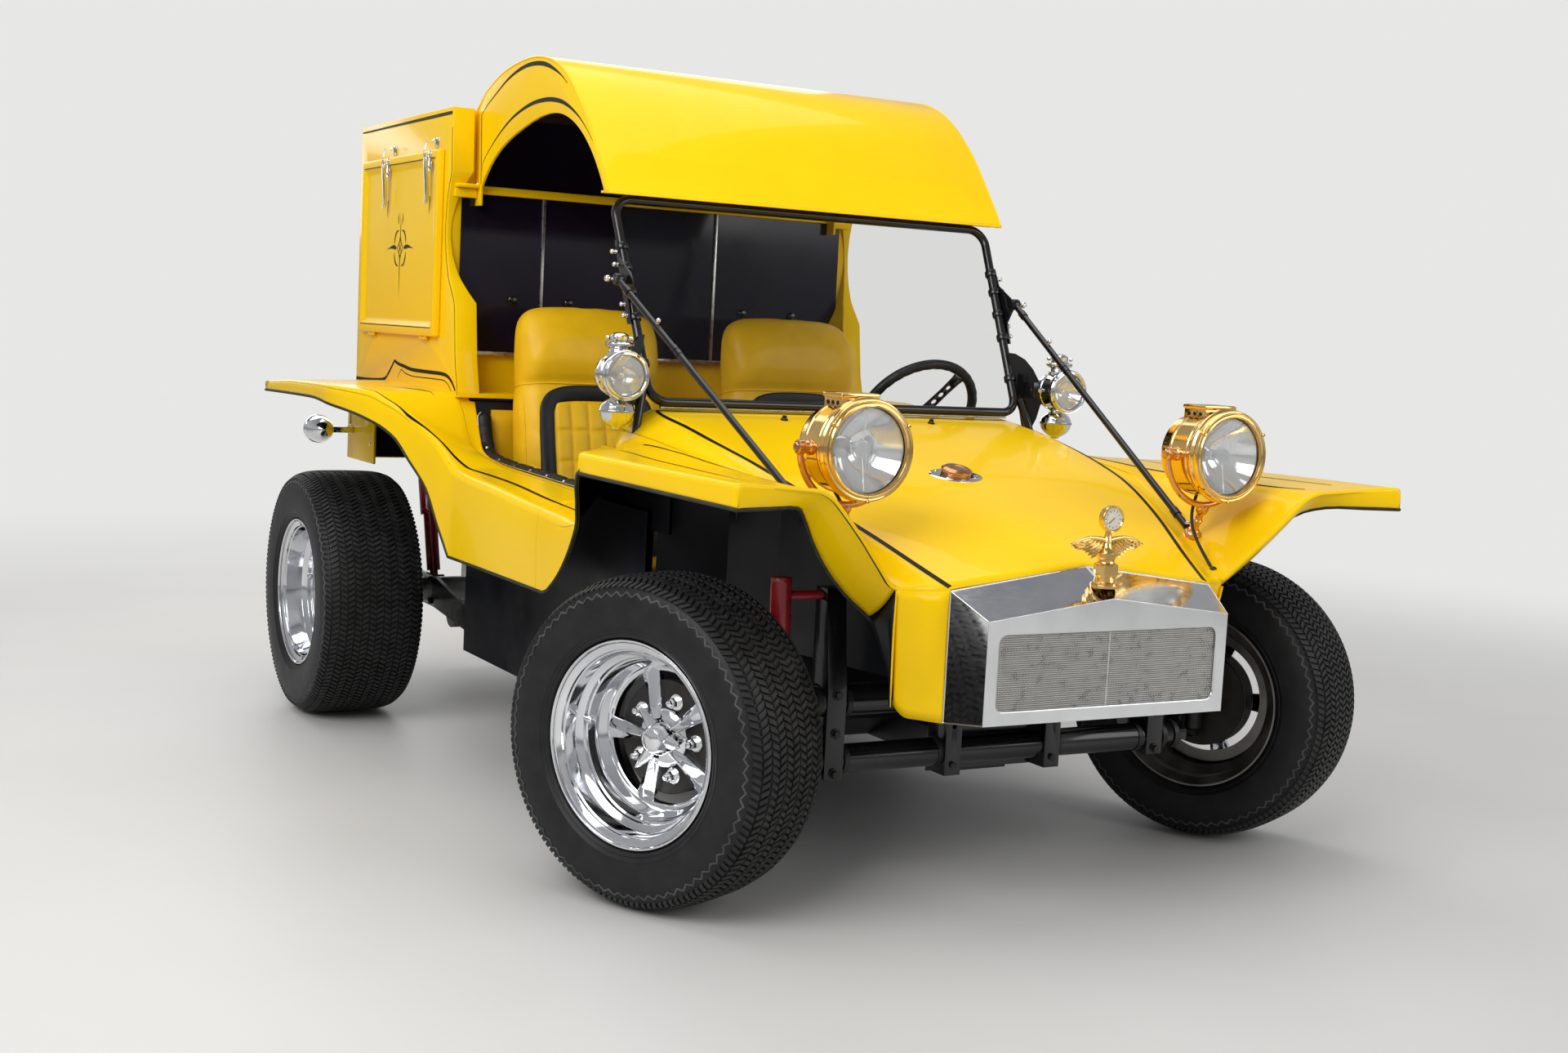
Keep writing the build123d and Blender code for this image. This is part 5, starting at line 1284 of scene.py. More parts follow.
def make_cowl_lamps():
    """Chrome cowl lamps: drum with a wide rim, a stacked chimney, a ball font and an arm to the post."""
    body, lens, bowl = Shape(), Shape(), Shape()
    for side in (-1, 1):
        centre = flipped(COWL_LAMP, side)
        place = turned(centre, (1, 0, 0))
        body.lathe([(-0.010, 0.0450), (-0.002, 0.0458), (0.0, 0.0480), (-0.001, 0.0510), (-0.004, 0.0525),
                    (-0.003, 0.0550), (-0.006, 0.0570), (-0.014, 0.0575), (-0.018, 0.0560), (-0.021, 0.0505),
                    (-0.026, 0.0485), (-0.060, 0.0480), (-0.062, 0.0500), (-0.066, 0.0500), (-0.068, 0.0475),
                    (-0.080, 0.0465), (-0.086, 0.0430), (-0.093, 0.0340), (-0.097, 0.0200), (-0.100, 0.0170),
                    (-0.100, 0.0)], place, steps=72)
        up = turned(centre + Vector((-0.052, 0, 0)), (0, 0, 1), (1, 0, 0))
        body.lathe([(0.040, 0.0270), (0.050, 0.0262), (0.052, 0.0230), (0.058, 0.0215), (0.062, 0.0290),
                    (0.066, 0.0335), (0.070, 0.0338), (0.073, 0.0300), (0.075, 0.0225), (0.079, 0.0205),
                    (0.082, 0.0215), (0.086, 0.0225), (0.090, 0.0200), (0.0945, 0.0120), (0.096, 0.0)], up,
                   steps=48)
        body.lathe([(-0.044, 0.0180), (-0.050, 0.0180), (-0.052, 0.0150), (-0.056, 0.0220), (-0.062, 0.0310),
                    (-0.070, 0.0375), (-0.078, 0.0398), (-0.080, 0.0415), (-0.084, 0.0415), (-0.086, 0.0398),
                    (-0.096, 0.0370), (-0.106, 0.0300), (-0.114, 0.0190), (-0.118, 0.0110), (-0.122, 0.0090),
                    (-0.122, 0.0)], up, steps=48)
        # Side vents and the arm to the windshield post.
        for a in angles(4, math.pi / 4):
            body.lathe([(0.0, 0.005), (0.007, 0.005), (0.009, 0.003), (0.009, 0.0)],
                       turned(centre + Vector((-0.052 + 0.024 * math.cos(a), 0.024 * math.sin(a), 0.083)),
                              (math.cos(a), math.sin(a), 0)), steps=12)
        body.tube([centre + Vector((-0.060, -side * 0.040, 0)),
                   centre + Vector((-0.078, -side * 0.066, 0.002))], 0.0095, steps=20)
        rows = []
        for i in range(11):
            r = 0.0448 * i / 10
            x = centre.x - 0.008 + 0.005 * (1 - (r / 0.0448) ** 2) + 0.0004 * math.sin(r * 900)
            rows.append([Vector((x, centre.y + r * math.cos(a), centre.z + r * math.sin(a)))
                         for a in angles(72)])
        lens.grid(rows, close_v=True)
        bowl.lathe([(-0.011, 0.0446)] + [(-0.011 - 0.036 * (1 - (t / 8) ** 2), 0.0446 * t / 8)
                                        for t in range(7, -1, -1)], place, steps=48)
        bowl.ball(centre + Vector((-0.034, 0, 0)), 0.009, 14)
    body.piece("cowl_lamp_bodies", "chrome", angle=30, node="cowl_lamps")
    lens.piece("cowl_lamp_glasses", "lens_glass", angle=80)
    bowl.piece("cowl_lamp_reflectors", "chrome", angle=80)


def make_tail_lamps():
    """Chrome bullet lamps with ringed red lenses, on a bracket from the tail plate."""
    body, lens = Shape(), Shape()
    for side in (-1, 1):
        centre = Vector((-1.400, side * 0.770, 0.780))
        place = turned(centre, (1, 0, 0))
        body.lathe([(0.040, 0.0), (0.039, 0.006), (0.034, 0.0150), (0.024, 0.0260), (0.008, 0.0355),
                    (-0.010, 0.0400), (-0.034, 0.0410), (-0.036, 0.0438), (-0.048, 0.0440), (-0.050, 0.0425),
                    (-0.050, 0.0385), (-0.046, 0.0380)], place, steps=56)
        body.block((-1.440, side * 0.666, 0.770), (-1.410, side * 0.735, 0.790), bevel=0.003)
        lens.lathe([(-0.043, 0.0378), (-0.050, 0.0370), (-0.053, 0.0340), (-0.052, 0.0325), (-0.0555, 0.0300),
                    (-0.0545, 0.0245), (-0.0585, 0.0220), (-0.0575, 0.0160), (-0.0610, 0.0130),
                    (-0.0615, 0.0)], place, steps=48)
    body.piece("tail_lamp_bodies", "chrome", angle=30, node="tail_lamps")
    lens.piece("tail_lamp_glasses", "red_glass", angle=30, node="tail_lenses")


make_headlamps()
make_forks()
make_leads()
make_cowl_lamps()
make_tail_lamps()


# Radiator shell, its mesh and cap

def make_grille_mesh():
    """Woven wire mesh with a faint seam, and a rolled rim round the opening."""
    mesh = Shape()
    x, low_y, high_y, low_z, high_z = 1.4935, -0.275, 0.275, 0.446, 0.600
    pitch = 0.0042
    count_y, count_z = int((high_y - low_y) / pitch), int((high_z - low_z) / pitch)
    half = 0.0008

    def wire(points):
        """Roof-shaped strip along points with their sideways directions."""
        mesh.grid([[p - n * half, p + Vector((0.0007, 0, 0)), p + n * half] for p, n in points])

    for i in range(count_y + 1):
        y = low_y + i * pitch
        points = []
        for k in range(count_z * 2 + 1):
            z = low_z + k * pitch / 2
            bend = 0.0007 * math.cos(math.pi * (k + (i % 2) * 2) / 2)
            points.append((Vector((x + bend, y, z)), Vector((0, 1, 0))))
        wire(points)
    for j in range(count_z + 1):
        z = low_z + j * pitch
        points = []
        for k in range(count_y * 2 + 1):
            y = low_y + k * pitch / 2
            bend = -0.0007 * math.cos(math.pi * (k + (j % 2) * 2) / 2)
            points.append((Vector((x + bend, y, z)), Vector((0, 0, -1))))
        wire(points)
    mesh.block((x - 0.0015, -0.0011, low_z), (x + 0.0009, 0.0011, high_z))
    mesh.piece("grille_weave", "stainless", angle=80, node="grille_mesh")
    core = Shape()
    core.block((1.4750, -0.282, 0.438), (1.4765, 0.282, 0.608))
    core.piece("grille_core", "black_paint", smooth=False)
    rim = Shape()
    path = []
    for cy, cz, start in ((0.253, 0.579, 0), (-0.253, 0.579, 90), (-0.253, 0.467, 180), (0.253, 0.467, 270)):
        for k in range(7):
            a = math.radians(start + 15 * k)
            path.append(Vector((1.4972, cy + 0.0205 * math.cos(a), cz + 0.0205 * math.sin(a))))
    rim.tube(path, 0.0028, steps=10, close=True)
    rim.piece("grille_rim", "chrome", angle=60)


def make_cap():
    """Brass neck in steps, a pair of feathered wings, and a small ringed gauge facing forwards."""
    cap, wings, dial, face = Shape(), Shape(), Shape(), Shape()
    up = turned((1.466, 0, 0.650), (0, 0, 1), (1, 0, 0))
    cap.lathe([(0.030, 0.0295), (0.036, 0.0295), (0.040, 0.0270), (0.042, 0.0225), (0.052, 0.0205),
               (0.054, 0.0225), (0.058, 0.0225)], up, steps=40)
    cap.lathe([(0.058, 0.0245), (0.074, 0.0245), (0.077, 0.0225), (0.079, 0.0180)], up, steps=8)
    cap.lathe([(0.079, 0.0180), (0.084, 0.0165), (0.087, 0.0165), (0.089, 0.0190), (0.099, 0.0190),
               (0.101, 0.0165), (0.106, 0.0140), (0.110, 0.0105), (0.118, 0.0085), (0.122, 0.0100),
               (0.126, 0.0085), (0.138, 0.0062), (0.142, 0.0062), (0.145, 0.0)], up, steps=32)
    # Each wing: three ranks of feathers that narrow towards the tip.
    for side in (-1, 1):
        ranks = 9
        for rank in range(3):
            for k in range(ranks - rank):
                t = k / (ranks - 1)
                root = Vector((1.466, side * (0.012 + 0.058 * t), 0.770 + 0.010 * math.sin(math.pi * t)
                               - 0.006 * t - 0.0062 * rank))
                length = 0.028 - 0.008 * t
                out = Vector((0, side * math.cos(0.5 - 0.9 * t), -math.sin(0.75 - 0.9 * t)))
                rows = []
                for s, wide in ((0.0, 0.0022), (0.35, 0.0042), (0.75, 0.0040), (1.0, 0.0008)):
                    p = root + out * length * s
                    across = out.cross(Vector((1, 0, 0)))
                    crown = 0.0035 - 0.001 * rank
                    rows.append([p - across * wide - Vector((0.0022, 0, 0)), p + Vector((crown, 0, 0)),
                                 p + across * wide - Vector((0.0022, 0, 0)), p - Vector((0.004, 0, 0))])
                wings.grid(rows, close_v=True)
        bar = [Vector((1.466, side * y, z)) for y, z in ((0.0, 0.772), (0.020, 0.777), (0.045, 0.779),
                                                        (0.070, 0.774), (0.090, 0.764))]
        wings.tube(smooth_line(bar, 5), [0.0060 - 0.0045 * i / 20 for i in range(21)], steps=10)
    at = turned((1.472, 0, 0.817), (1, 0, 0))
    dial.lathe([(-0.011, 0.0), (-0.011, 0.021), (-0.006, 0.0258), (0.004, 0.0265), (0.008, 0.0262),
                (0.010, 0.0240), (0.0085, 0.0222), (0.0070, 0.0215)], at, steps=48)
    face.lathe([(0.0070, 0.0218), (0.0072, 0.0)], at, steps=40)
    marks = Shape()
    for a in angles(12):
        marks.block((0.0074, -0.0005, 0.0150), (0.0077, 0.0005, 0.0185),
                    at @ Matrix.Rotation(a, 4, "X"))
    marks.block((0.0078, -0.0006, -0.004), (0.0082, 0.0006, 0.0135), at @ Matrix.Rotation(0.7, 4, "X"))
    marks.piece("cap_gauge_marks", "black_paint", smooth=False)
    cap.piece("cap_neck", "brass", angle=28, node="radiator_cap")
    wings.piece("cap_wings", "brass", angle=50)
    dial.piece("cap_gauge", "brass", angle=30)
    face.piece("cap_gauge_face", "ivory", angle=30)


def make_filler():
    """Oval chrome base on the hood with four screws, a domed copper cap, and two washer jets."""
    plate, cap = Shape(), Shape()
    x, z = 0.927, hood_height(0.927, 0.0)
    normal = Vector((hood_height(0.917, 0) - hood_height(0.937, 0), 0, 0.02)).normalized()
    at = turned((x, 0, z), normal, (1, 0, 0))
    rows = []
    for w, long, wide in ((-0.004, 0.068, 0.047), (0.0012, 0.066, 0.045), (0.0030, 0.062, 0.0415),
                          (0.0036, 0.056, 0.036), (0.0036, 0.030, 0.030)):
        rows.append([at @ Vector((w, wide * math.cos(a), long * math.sin(a))) for a in angles(72)])
    plate.grid(rows, close_v=True)
    for a in angles(4, math.pi / 4):
        plate.lathe([(0.003, 0.0042), (0.0048, 0.0036), (0.0055, 0.0)],
                    at @ Matrix.Translation((0, 0.0355 * math.cos(a), 0.052 * math.sin(a))), steps=12)
    cap.lathe([(0.002, 0.0330), (0.010, 0.0335), (0.0115, 0.0350), (0.0155, 0.0350), (0.0170, 0.0335),
               (0.0185, 0.0300), (0.0205, 0.0270), (0.0205, 0.0200), (0.0190, 0.0170), (0.0195, 0.0)], at,
              steps=64)
    cap.piece("filler_lid", "copper", angle=30, node="filler_cap")
    plate.piece("filler_plate", "chrome", angle=30)
    # Two small black washer jets on the cowl.
    jets = Shape()
    for x, y in ((0.519, -0.213), (0.515, 0.203)):
        jets.lathe([(0.0, 0.009), (0.004, 0.009), (0.006, 0.006), (0.012, 0.005), (0.013, 0.0)],
                   turned((x, y, hood_height(x, y) - 0.001), (0.1, 0, 1), (1, 0, 0)), steps=16)
    jets.piece("washer_jets", "black_gloss", angle=40)


def hood_height(x, y):
    """Height of the hood's skin above the ground at x and y."""
    row = [hood_crown(p) for p in nose_section(x)]
    for a, b in zip(row, row[1:]):
        if a.y <= abs(y) <= b.y:
            t = (abs(y) - a.y) / max(b.y - a.y, 1e-9)
            return a.z + (b.z - a.z) * t
    return row[0].z


make_grille_mesh()
make_cap()
make_filler()


# Seats. The back's own frame: X forward, Y across, Z up along the back.
SEAT_Y = 0.315
BACK_UP = Vector((-0.145, 0, 0.680)).normalized()
BACK_OUT = Vector((BACK_UP.z, 0, -BACK_UP.x))
BACK_AT = Matrix(((BACK_OUT.x, 0, BACK_UP.x, -0.250), (0, 1, 0, -SEAT_Y), (BACK_OUT.z, 0, BACK_UP.z, 0.470),
                  (0, 0, 0, 1)))
SEAT_AT = Matrix.Translation((0, -SEAT_Y, 0))


def pad_row(centre, half_x, half_y, power):
    """Closed superellipse loop in the plane of X and Y."""
    row = []
    for a in angles(48):
        c, s = math.cos(a), math.sin(a)
        row.append(Vector((centre[0] + half_x * math.copysign(abs(c) ** (2 / power), c),
                           centre[1] + half_y * math.copysign(abs(s) ** (2 / power), s), centre[2])))
    return row


def closed_pad(rows):
    """Loops joined and capped into one closed form."""
    shape = Shape()
    shape.grid(rows, close_v=True)
    n, m = len(rows), len(rows[0])
    for row, order in ((0, 1), (n - 1, -1)):
        middle = sum(rows[row], Vector()) / m
        start = len(shape.verts)
        shape.verts.append(middle)
        for k in range(m):
            a, b = row * m + k, row * m + (k + 1) % m
            shape.faces.append((a, start, b) if order > 0 else (a, b, start))
    return shape


def back_form():
    """Seat back with side bolsters and a thick head pad, a little under its final size."""
    rows = []
    # Height, half width, front and rear face.
    table = [(0.004, 0.150, -0.020, -0.140), (0.012, 0.196, 0.004, -0.160), (0.035, 0.214, 0.016, -0.168),
             (0.120, 0.218, 0.016, -0.166), (0.260, 0.220, 0.012, -0.150), (0.420, 0.219, 0.008, -0.135),
             (0.502, 0.215, 0.000, -0.128), (0.522, 0.210, -0.005, -0.125), (0.540, 0.213, 0.010, -0.124),
             (0.595, 0.213, 0.028, -0.120), (0.655, 0.208, 0.028, -0.112), (0.700, 0.198, 0.016, -0.102),
             (0.728, 0.180, -0.004, -0.090), (0.744, 0.146, -0.026, -0.078), (0.750, 0.085, -0.040, -0.064)]
    hs = [t[0] for t in table]
    for i in range(56):
        s = i / 55
        h = 0.004 + (0.750 - 0.004) * (0.5 - 0.5 * math.cos(math.pi * s)) ** 0.92
        half, front, rear = (table_value(hs, [t[k] for t in table], h) for k in (1, 2, 3))
        row = pad_row(((front + rear) / 2, 0, h), (front - rear) / 2, half, 3.6)
        # The insert lies between raised bolsters.
        for p in row:
            if p.x > (front + rear) / 2 and h < 0.51:
                dip = 0.014 * max(0.0, 1 - (abs(p.y) / 0.165) ** 4) * min(1.0, (0.515 - h) / 0.03, h / 0.03)
                p.x -= dip
        rows.append(row)
    return closed_pad(rows)


def cushion_form():
    """Seat cushion, crowned, with raised sides and a rounded front edge."""
    rows = []
    # Height, half width, front and rear end.
    table = [(0.326, 0.196, 0.175, -0.410), (0.334, 0.212, 0.196, -0.418), (0.360, 0.219, 0.208, -0.421),
             (0.420, 0.220, 0.212, -0.421), (0.452, 0.216, 0.208, -0.418), (0.474, 0.204, 0.190, -0.405),
             (0.486, 0.170, 0.150, -0.370), (0.489, 0.090, 0.060, -0.280)]
    hs = [t[0] for t in table]
    for i in range(40):
        s = i / 39
        h = 0.326 + 0.163 * (0.5 - 0.5 * math.cos(math.pi * s))
        half, front, rear = (table_value(hs, [t[k] for t in table], h) for k in (1, 2, 3))
        row = pad_row(((front + rear) / 2, 0, h), (front - rear) / 2, half, 4.2)
        for p in row:
            lean = (p.x + 0.42) / 0.62
            if h > 0.40:
                p.z += (0.006 * lean - 0.026 * (1 - lean)) * (h - 0.40) / 0.09
                inner = max(0.0, 1 - (abs(p.y) / 0.165) ** 4)
                p.z -= 0.010 * inner * (h - 0.40) / 0.09
        rows.append(row)
    return closed_pad(rows)


def puffed(form, name, cap=0.010):
    """Mesh of a form remeshed and swollen by cloth pressure, no point further than the cap."""
    mesh = bpy.data.meshes.new(name)
    mesh.from_pydata([tuple(v) for v in form.verts], [], [tuple(f) for f in form.faces])
    obj = new_object(name, mesh)
    remesh = obj.modifiers.new("remesh", "REMESH")
    remesh.mode = "VOXEL"
    remesh.voxel_size = 0.006
    graph = bpy.context.evaluated_depsgraph_get()
    base = bpy.data.meshes.new_from_object(obj.evaluated_get(graph))
    obj.modifiers.clear()
    obj.data = base
    rest = [v.co.copy() for v in base.vertices]
    cloth = obj.modifiers.new("cloth", "CLOTH")
    settings = cloth.settings
    settings.quality = 5
    settings.mass = 0.3
    settings.tension_stiffness = settings.compression_stiffness = 25
    settings.shear_stiffness = 10
    settings.bending_stiffness = 2
    settings.use_pressure = True
    settings.uniform_pressure_force = 4.0
    settings.effector_weights.gravity = 0
    cloth.collision_settings.use_collision = False
    scene = bpy.context.scene
    for number in range(1, 21):
        scene.frame_set(number)
    graph = bpy.context.evaluated_depsgraph_get()
    swollen = bpy.data.meshes.new_from_object(obj.evaluated_get(graph))
    obj.modifiers.clear()
    scene.frame_set(1)
    obj.data = swollen
    for v, start in zip(swollen.vertices, rest):
        move = v.co - start
        if move.length > cap:
            v.co = start + move * (cap / move.length)
    result = obj.data
    # Three light smoothing passes take out the voxel steps.
    bm = bmesh.new()
    bm.from_mesh(result)
    for _ in range(3):
        bmesh.ops.smooth_vert(bm, verts=bm.verts, factor=0.5, use_axis_x=True, use_axis_y=True,
                              use_axis_z=True)
    bm.to_mesh(result)
    bm.free()
    result.polygons.foreach_set("use_smooth", [True] * len(result.polygons))
    bpy.data.objects.remove(obj)
    return result


def pad_piece(mesh, matrix, name, material, node):
    """Padded piece: a copy of a swollen mesh, set in its place."""
    copy = mesh.copy()
    copy.transform(matrix)
    copy.materials.clear()
    copy.materials.append(M[material])
    obj = new_object(name, copy)
    join(obj, "chassis", node)


def on_surface(tree, origin, direction):
    """Point and normal where a ray meets a surface, or two times None."""
    return tree.ray_cast(origin, direction)[:2]


def trim_seat(tree, project, outline, insert, name, matrix):
    """Black band, piping and ribbed insert laid on a pad's face.

    project(a, b) gives the ray on the pad's face at across a and along b; outline is the band's middle."""
    band, rib = Shape(), Shape()
    line = smooth_line([Vector((a, b, 0)) for a, b in outline], 10)
    rows = []
    for i, p in enumerate(line):
        q0, q1 = line[max(i - 1, 0)], line[min(i + 1, len(line) - 1)]
        along = (q1 - q0).normalized()
        across = Vector((-along.y, along.x, 0))
        row = []
        for s, lift in ((-0.0215, -0.003), (-0.0205, 0.0025), (-0.0165, 0.0045), (-0.006, 0.0062),
                        (0.006, 0.0062), (0.0165, 0.0045), (0.0205, 0.0025), (0.0215, -0.003)):
            q = p + across * s
            at, normal = on_surface(tree, *project(q.x, q.y))
            if at is None:
                return
            row.append(at + normal * lift)
        rows.append(row)
    band.grid(rows)
    (a0, a1), (b0, b1) = insert
    across_steps, along_steps = 72, 96
    channels, seams = 5, 5
    rows = []
    for j in range(along_steps + 1):
        b = b0 + (b1 - b0) * j / along_steps
        row = []
        for i in range(across_steps + 1):
            a = a0 + (a1 - a0) * i / across_steps
            at, normal = on_surface(tree, *project(a, b))
            if at is None:
                return
            rib_lift = abs(math.sin(math.pi * channels * i / across_steps)) ** 0.55
            seam = (seams * j / along_steps) % 1.0
            seam_lift = min(1.0, abs(math.sin(math.pi * seam)) ** 0.5 + 0.35)
            edge = min(1.0, min(i, across_steps - i) / 3, min(j, along_steps - j) / 3)
            row.append(at + normal * (0.0005 + 0.0075 * rib_lift * seam_lift * edge))
        rows.append(row)
    rib.grid(rows)
    for shape, suffix, material in ((band, "band", "black_vinyl"), (rib, "insert", "yellow_vinyl")):
        for side, word in ((1, "right"), (-1, "left")):
            moved = Shape()
            shift = matrix if side > 0 else Matrix.Translation((0, 2 * SEAT_Y, 0)) @ matrix
            moved.add([shift @ v for v in shape.verts], shape.faces)
            moved.piece(f"{name}_{suffix}_{word}", material, angle=70)


def make_seats():
    """Bucket seats: swollen vinyl pads, each with a black band round a ribbed insert."""
    backs = puffed(back_form(), "back_pad")
    seats = puffed(cushion_form(), "cushion_pad", cap=0.008)
    over = Matrix.Translation((0, 2 * SEAT_Y, 0))
    for word, shift in (("right", Matrix.Identity(4)), ("left", over)):
        pad_piece(backs, shift @ BACK_AT, "seat_back_pad_" + word, "yellow_vinyl", "seat_back_" + word)
        pad_piece(seats, shift @ SEAT_AT, "seat_cushion_pad_" + word, "yellow_vinyl", "seat_cushion_" + word)
    for mesh, matrix, name, project, outline, insert in (
        (backs, BACK_AT, "seat_back",
         lambda a, b: (Vector((0.2, a, b)), Vector((-1, 0, 0))),
         [(-0.146, 0.055), (-0.147, 0.22), (-0.147, 0.40), (-0.138, 0.467), (-0.096, 0.494), (0.0, 0.499),
          (0.096, 0.494), (0.138, 0.467), (0.147, 0.40), (0.147, 0.22), (0.146, 0.055)],
         ((-0.124, 0.124), (0.06, 0.478))),
        (seats, SEAT_AT, "seat_cushion",
         lambda a, b: (Vector((b, a, 0.8)), Vector((0, 0, -1))),
         [(-0.148, -0.30), (-0.150, -0.15), (-0.150, 0.02), (-0.142, 0.105), (-0.100, 0.140), (0.0, 0.147),
          (0.100, 0.140), (0.142, 0.105), (0.150, 0.02), (0.150, -0.15), (0.148, -0.30)],
         ((-0.124, 0.124), (-0.295, 0.115))),
    ):
        trim_seat(mesh_tree(mesh), project, outline, insert, name, matrix)
    # Seam across the back, under the head pad, and piping round the back's edge.
    tree = mesh_tree(backs)
    for word, shift in (("right", Matrix.Identity(4)), ("left", over)):
        piping = Shape()
        loop = []
        for a in angles(72):
            start = Vector((-0.06 + 0.5 * math.cos(a), 0.5 * math.sin(a), 0.524))
            at, normal = on_surface(tree, start, Vector((-math.cos(a), -math.sin(a), 0)))
            loop.append(at + normal * 0.0006)
        piping.tube([shift @ BACK_AT @ p for p in loop], 0.0022, steps=8, close=True)
        for side in (-1, 1):
            line = []
            for k in range(36):
                h = 0.03 + 0.48 * k / 35
                at, normal = on_surface(tree, Vector((0.2, side * 0.200, h)), Vector((-1, 0, 0)))
                if at is not None:
                    line.append(at + normal * 0.0006)
            piping.tube([shift @ BACK_AT @ p for p in line], 0.0020, steps=8)
        piping.piece("seat_piping_" + word, "yellow_vinyl", angle=80)


def make_coamings():
    """Tufted black rolls along the cockpit's edge, pinched at each bright stud, with a bright edge line."""
    roll, studs, edge = Shape(), Shape(), Shape()
    line = smooth_line([(-0.522, 0, 0.893), (-0.511, 0, 0.852), (-0.493, 0, 0.812), (-0.466, 0, 0.784),
                        (-0.420, 0, 0.769), (-0.340, 0, 0.762), (-0.224, 0, 0.757), (-0.100, 0, 0.754),
                        (0.030, 0, 0.750), (0.180, 0, 0.746), (0.330, 0, 0.742)], 26)
    lengths = [0.0]
    for a, b in zip(line, line[1:]):
        lengths.append(lengths[-1] + (b - a).length)
    pitch = 0.112
    y = -TUB_IN_Y + 0.019
    rows = []
    outline = []
    for i, p in enumerate(line):
        q0, q1 = line[max(i - 1, 0)], line[min(i + 1, len(line) - 1)]
        along = (q1 - q0).normalized()
        up = Vector((-along.z, 0, along.x))
        phase = (lengths[i] / pitch) % 1.0
        near = min(phase, 1 - phase)
        end = min(1.0, (i + 0.3) / 9, (len(line) - 1 - i + 0.2) / 6)
        wide = 0.0215 - 0.0035 * i / len(line)
        row = []
        for a in angles(36):
            across = max(0.0, math.cos(a - 0.6))
            tuft = 0.0075 * math.exp(-((near * 9) ** 2)) * across
            pleat = 0.0026 * math.exp(-((near * 22) ** 2))
            fine = 0.0007 * math.sin(phase * math.tau * 4) * across
            r = (0.0188 - tuft - pleat + fine) * math.sqrt(end)
            row.append(Vector((p.x, y, p.z)) - Vector((0, 1, 0)) * r * math.sin(a) * wide / 0.0188
                       + up * r * math.cos(a))
        rows.append(row)
        outline.append(Vector((p.x, y - wide * 0.93 * math.sqrt(end), p.z)) + up * 0.0075)
    roll.grid(rows, close_v=True, flip=True)
    edge.tube(outline[2:], 0.0016, steps=8)
    for n in range(1, int(lengths[-1] / pitch) + 1):
        i = min(range(len(line)), key=lambda q: abs(lengths[q] - n * pitch))
        q0, q1 = line[max(i - 1, 0)], line[min(i + 1, len(line) - 1)]
        along = (q1 - q0).normalized()
        out = Vector((-along.z, 0, along.x)) * math.cos(0.6) + Vector((0, -1, 0)) * math.sin(0.6)
        studs.lathe([(-0.002, 0.0058), (0.0005, 0.0058), (0.0026, 0.0044), (0.0036, 0.0)],
                    turned(Vector((line[i].x, y, line[i].z)) + out * 0.0105, out), steps=16)
    for shape in (roll, studs, edge):
        shape.mirror()
    roll.piece("coaming_rolls", "black_vinyl", angle=80, node="coamings")
    studs.piece("coaming_studs", "chrome", angle=50)
    edge.piece("coaming_edges", "stainless", angle=60)


def make_bulkhead_pad():
    """Yellow padded panel behind the seats, in upright channels."""
    pad = Shape()
    y0, y1, z0, z1 = -0.543, 0.543, 0.522, 0.898
    rows = []
    count = 132
    for j in range(25):
        row = []
        for i in range(count + 1):
            t = i / count
            z = z0 + (z1 - z0) * j / 24
            edge = min(1.0, min(j, 24 - j) / 2.0, min(i, count - i) / 3.0)
            lift = 0.004 + 0.011 * abs(math.sin(math.pi * 12 * t)) ** 0.5 * math.sqrt(max(edge, 0))
            row.append(Vector((-0.538 + lift, y0 + (y1 - y0) * t, z)))
        rows.append(row)
    pad.grid(rows, flip=True)
    pad.block((-0.5395, y0, z0), (-0.5345, y1, z1))
    pad.piece("bulkhead_padding", "yellow_vinyl", angle=80, node="bulkhead_pad")


STEERING_AT = Vector((0.25, 0.33, 0.95))
STEERING_LEAN = math.radians(33)


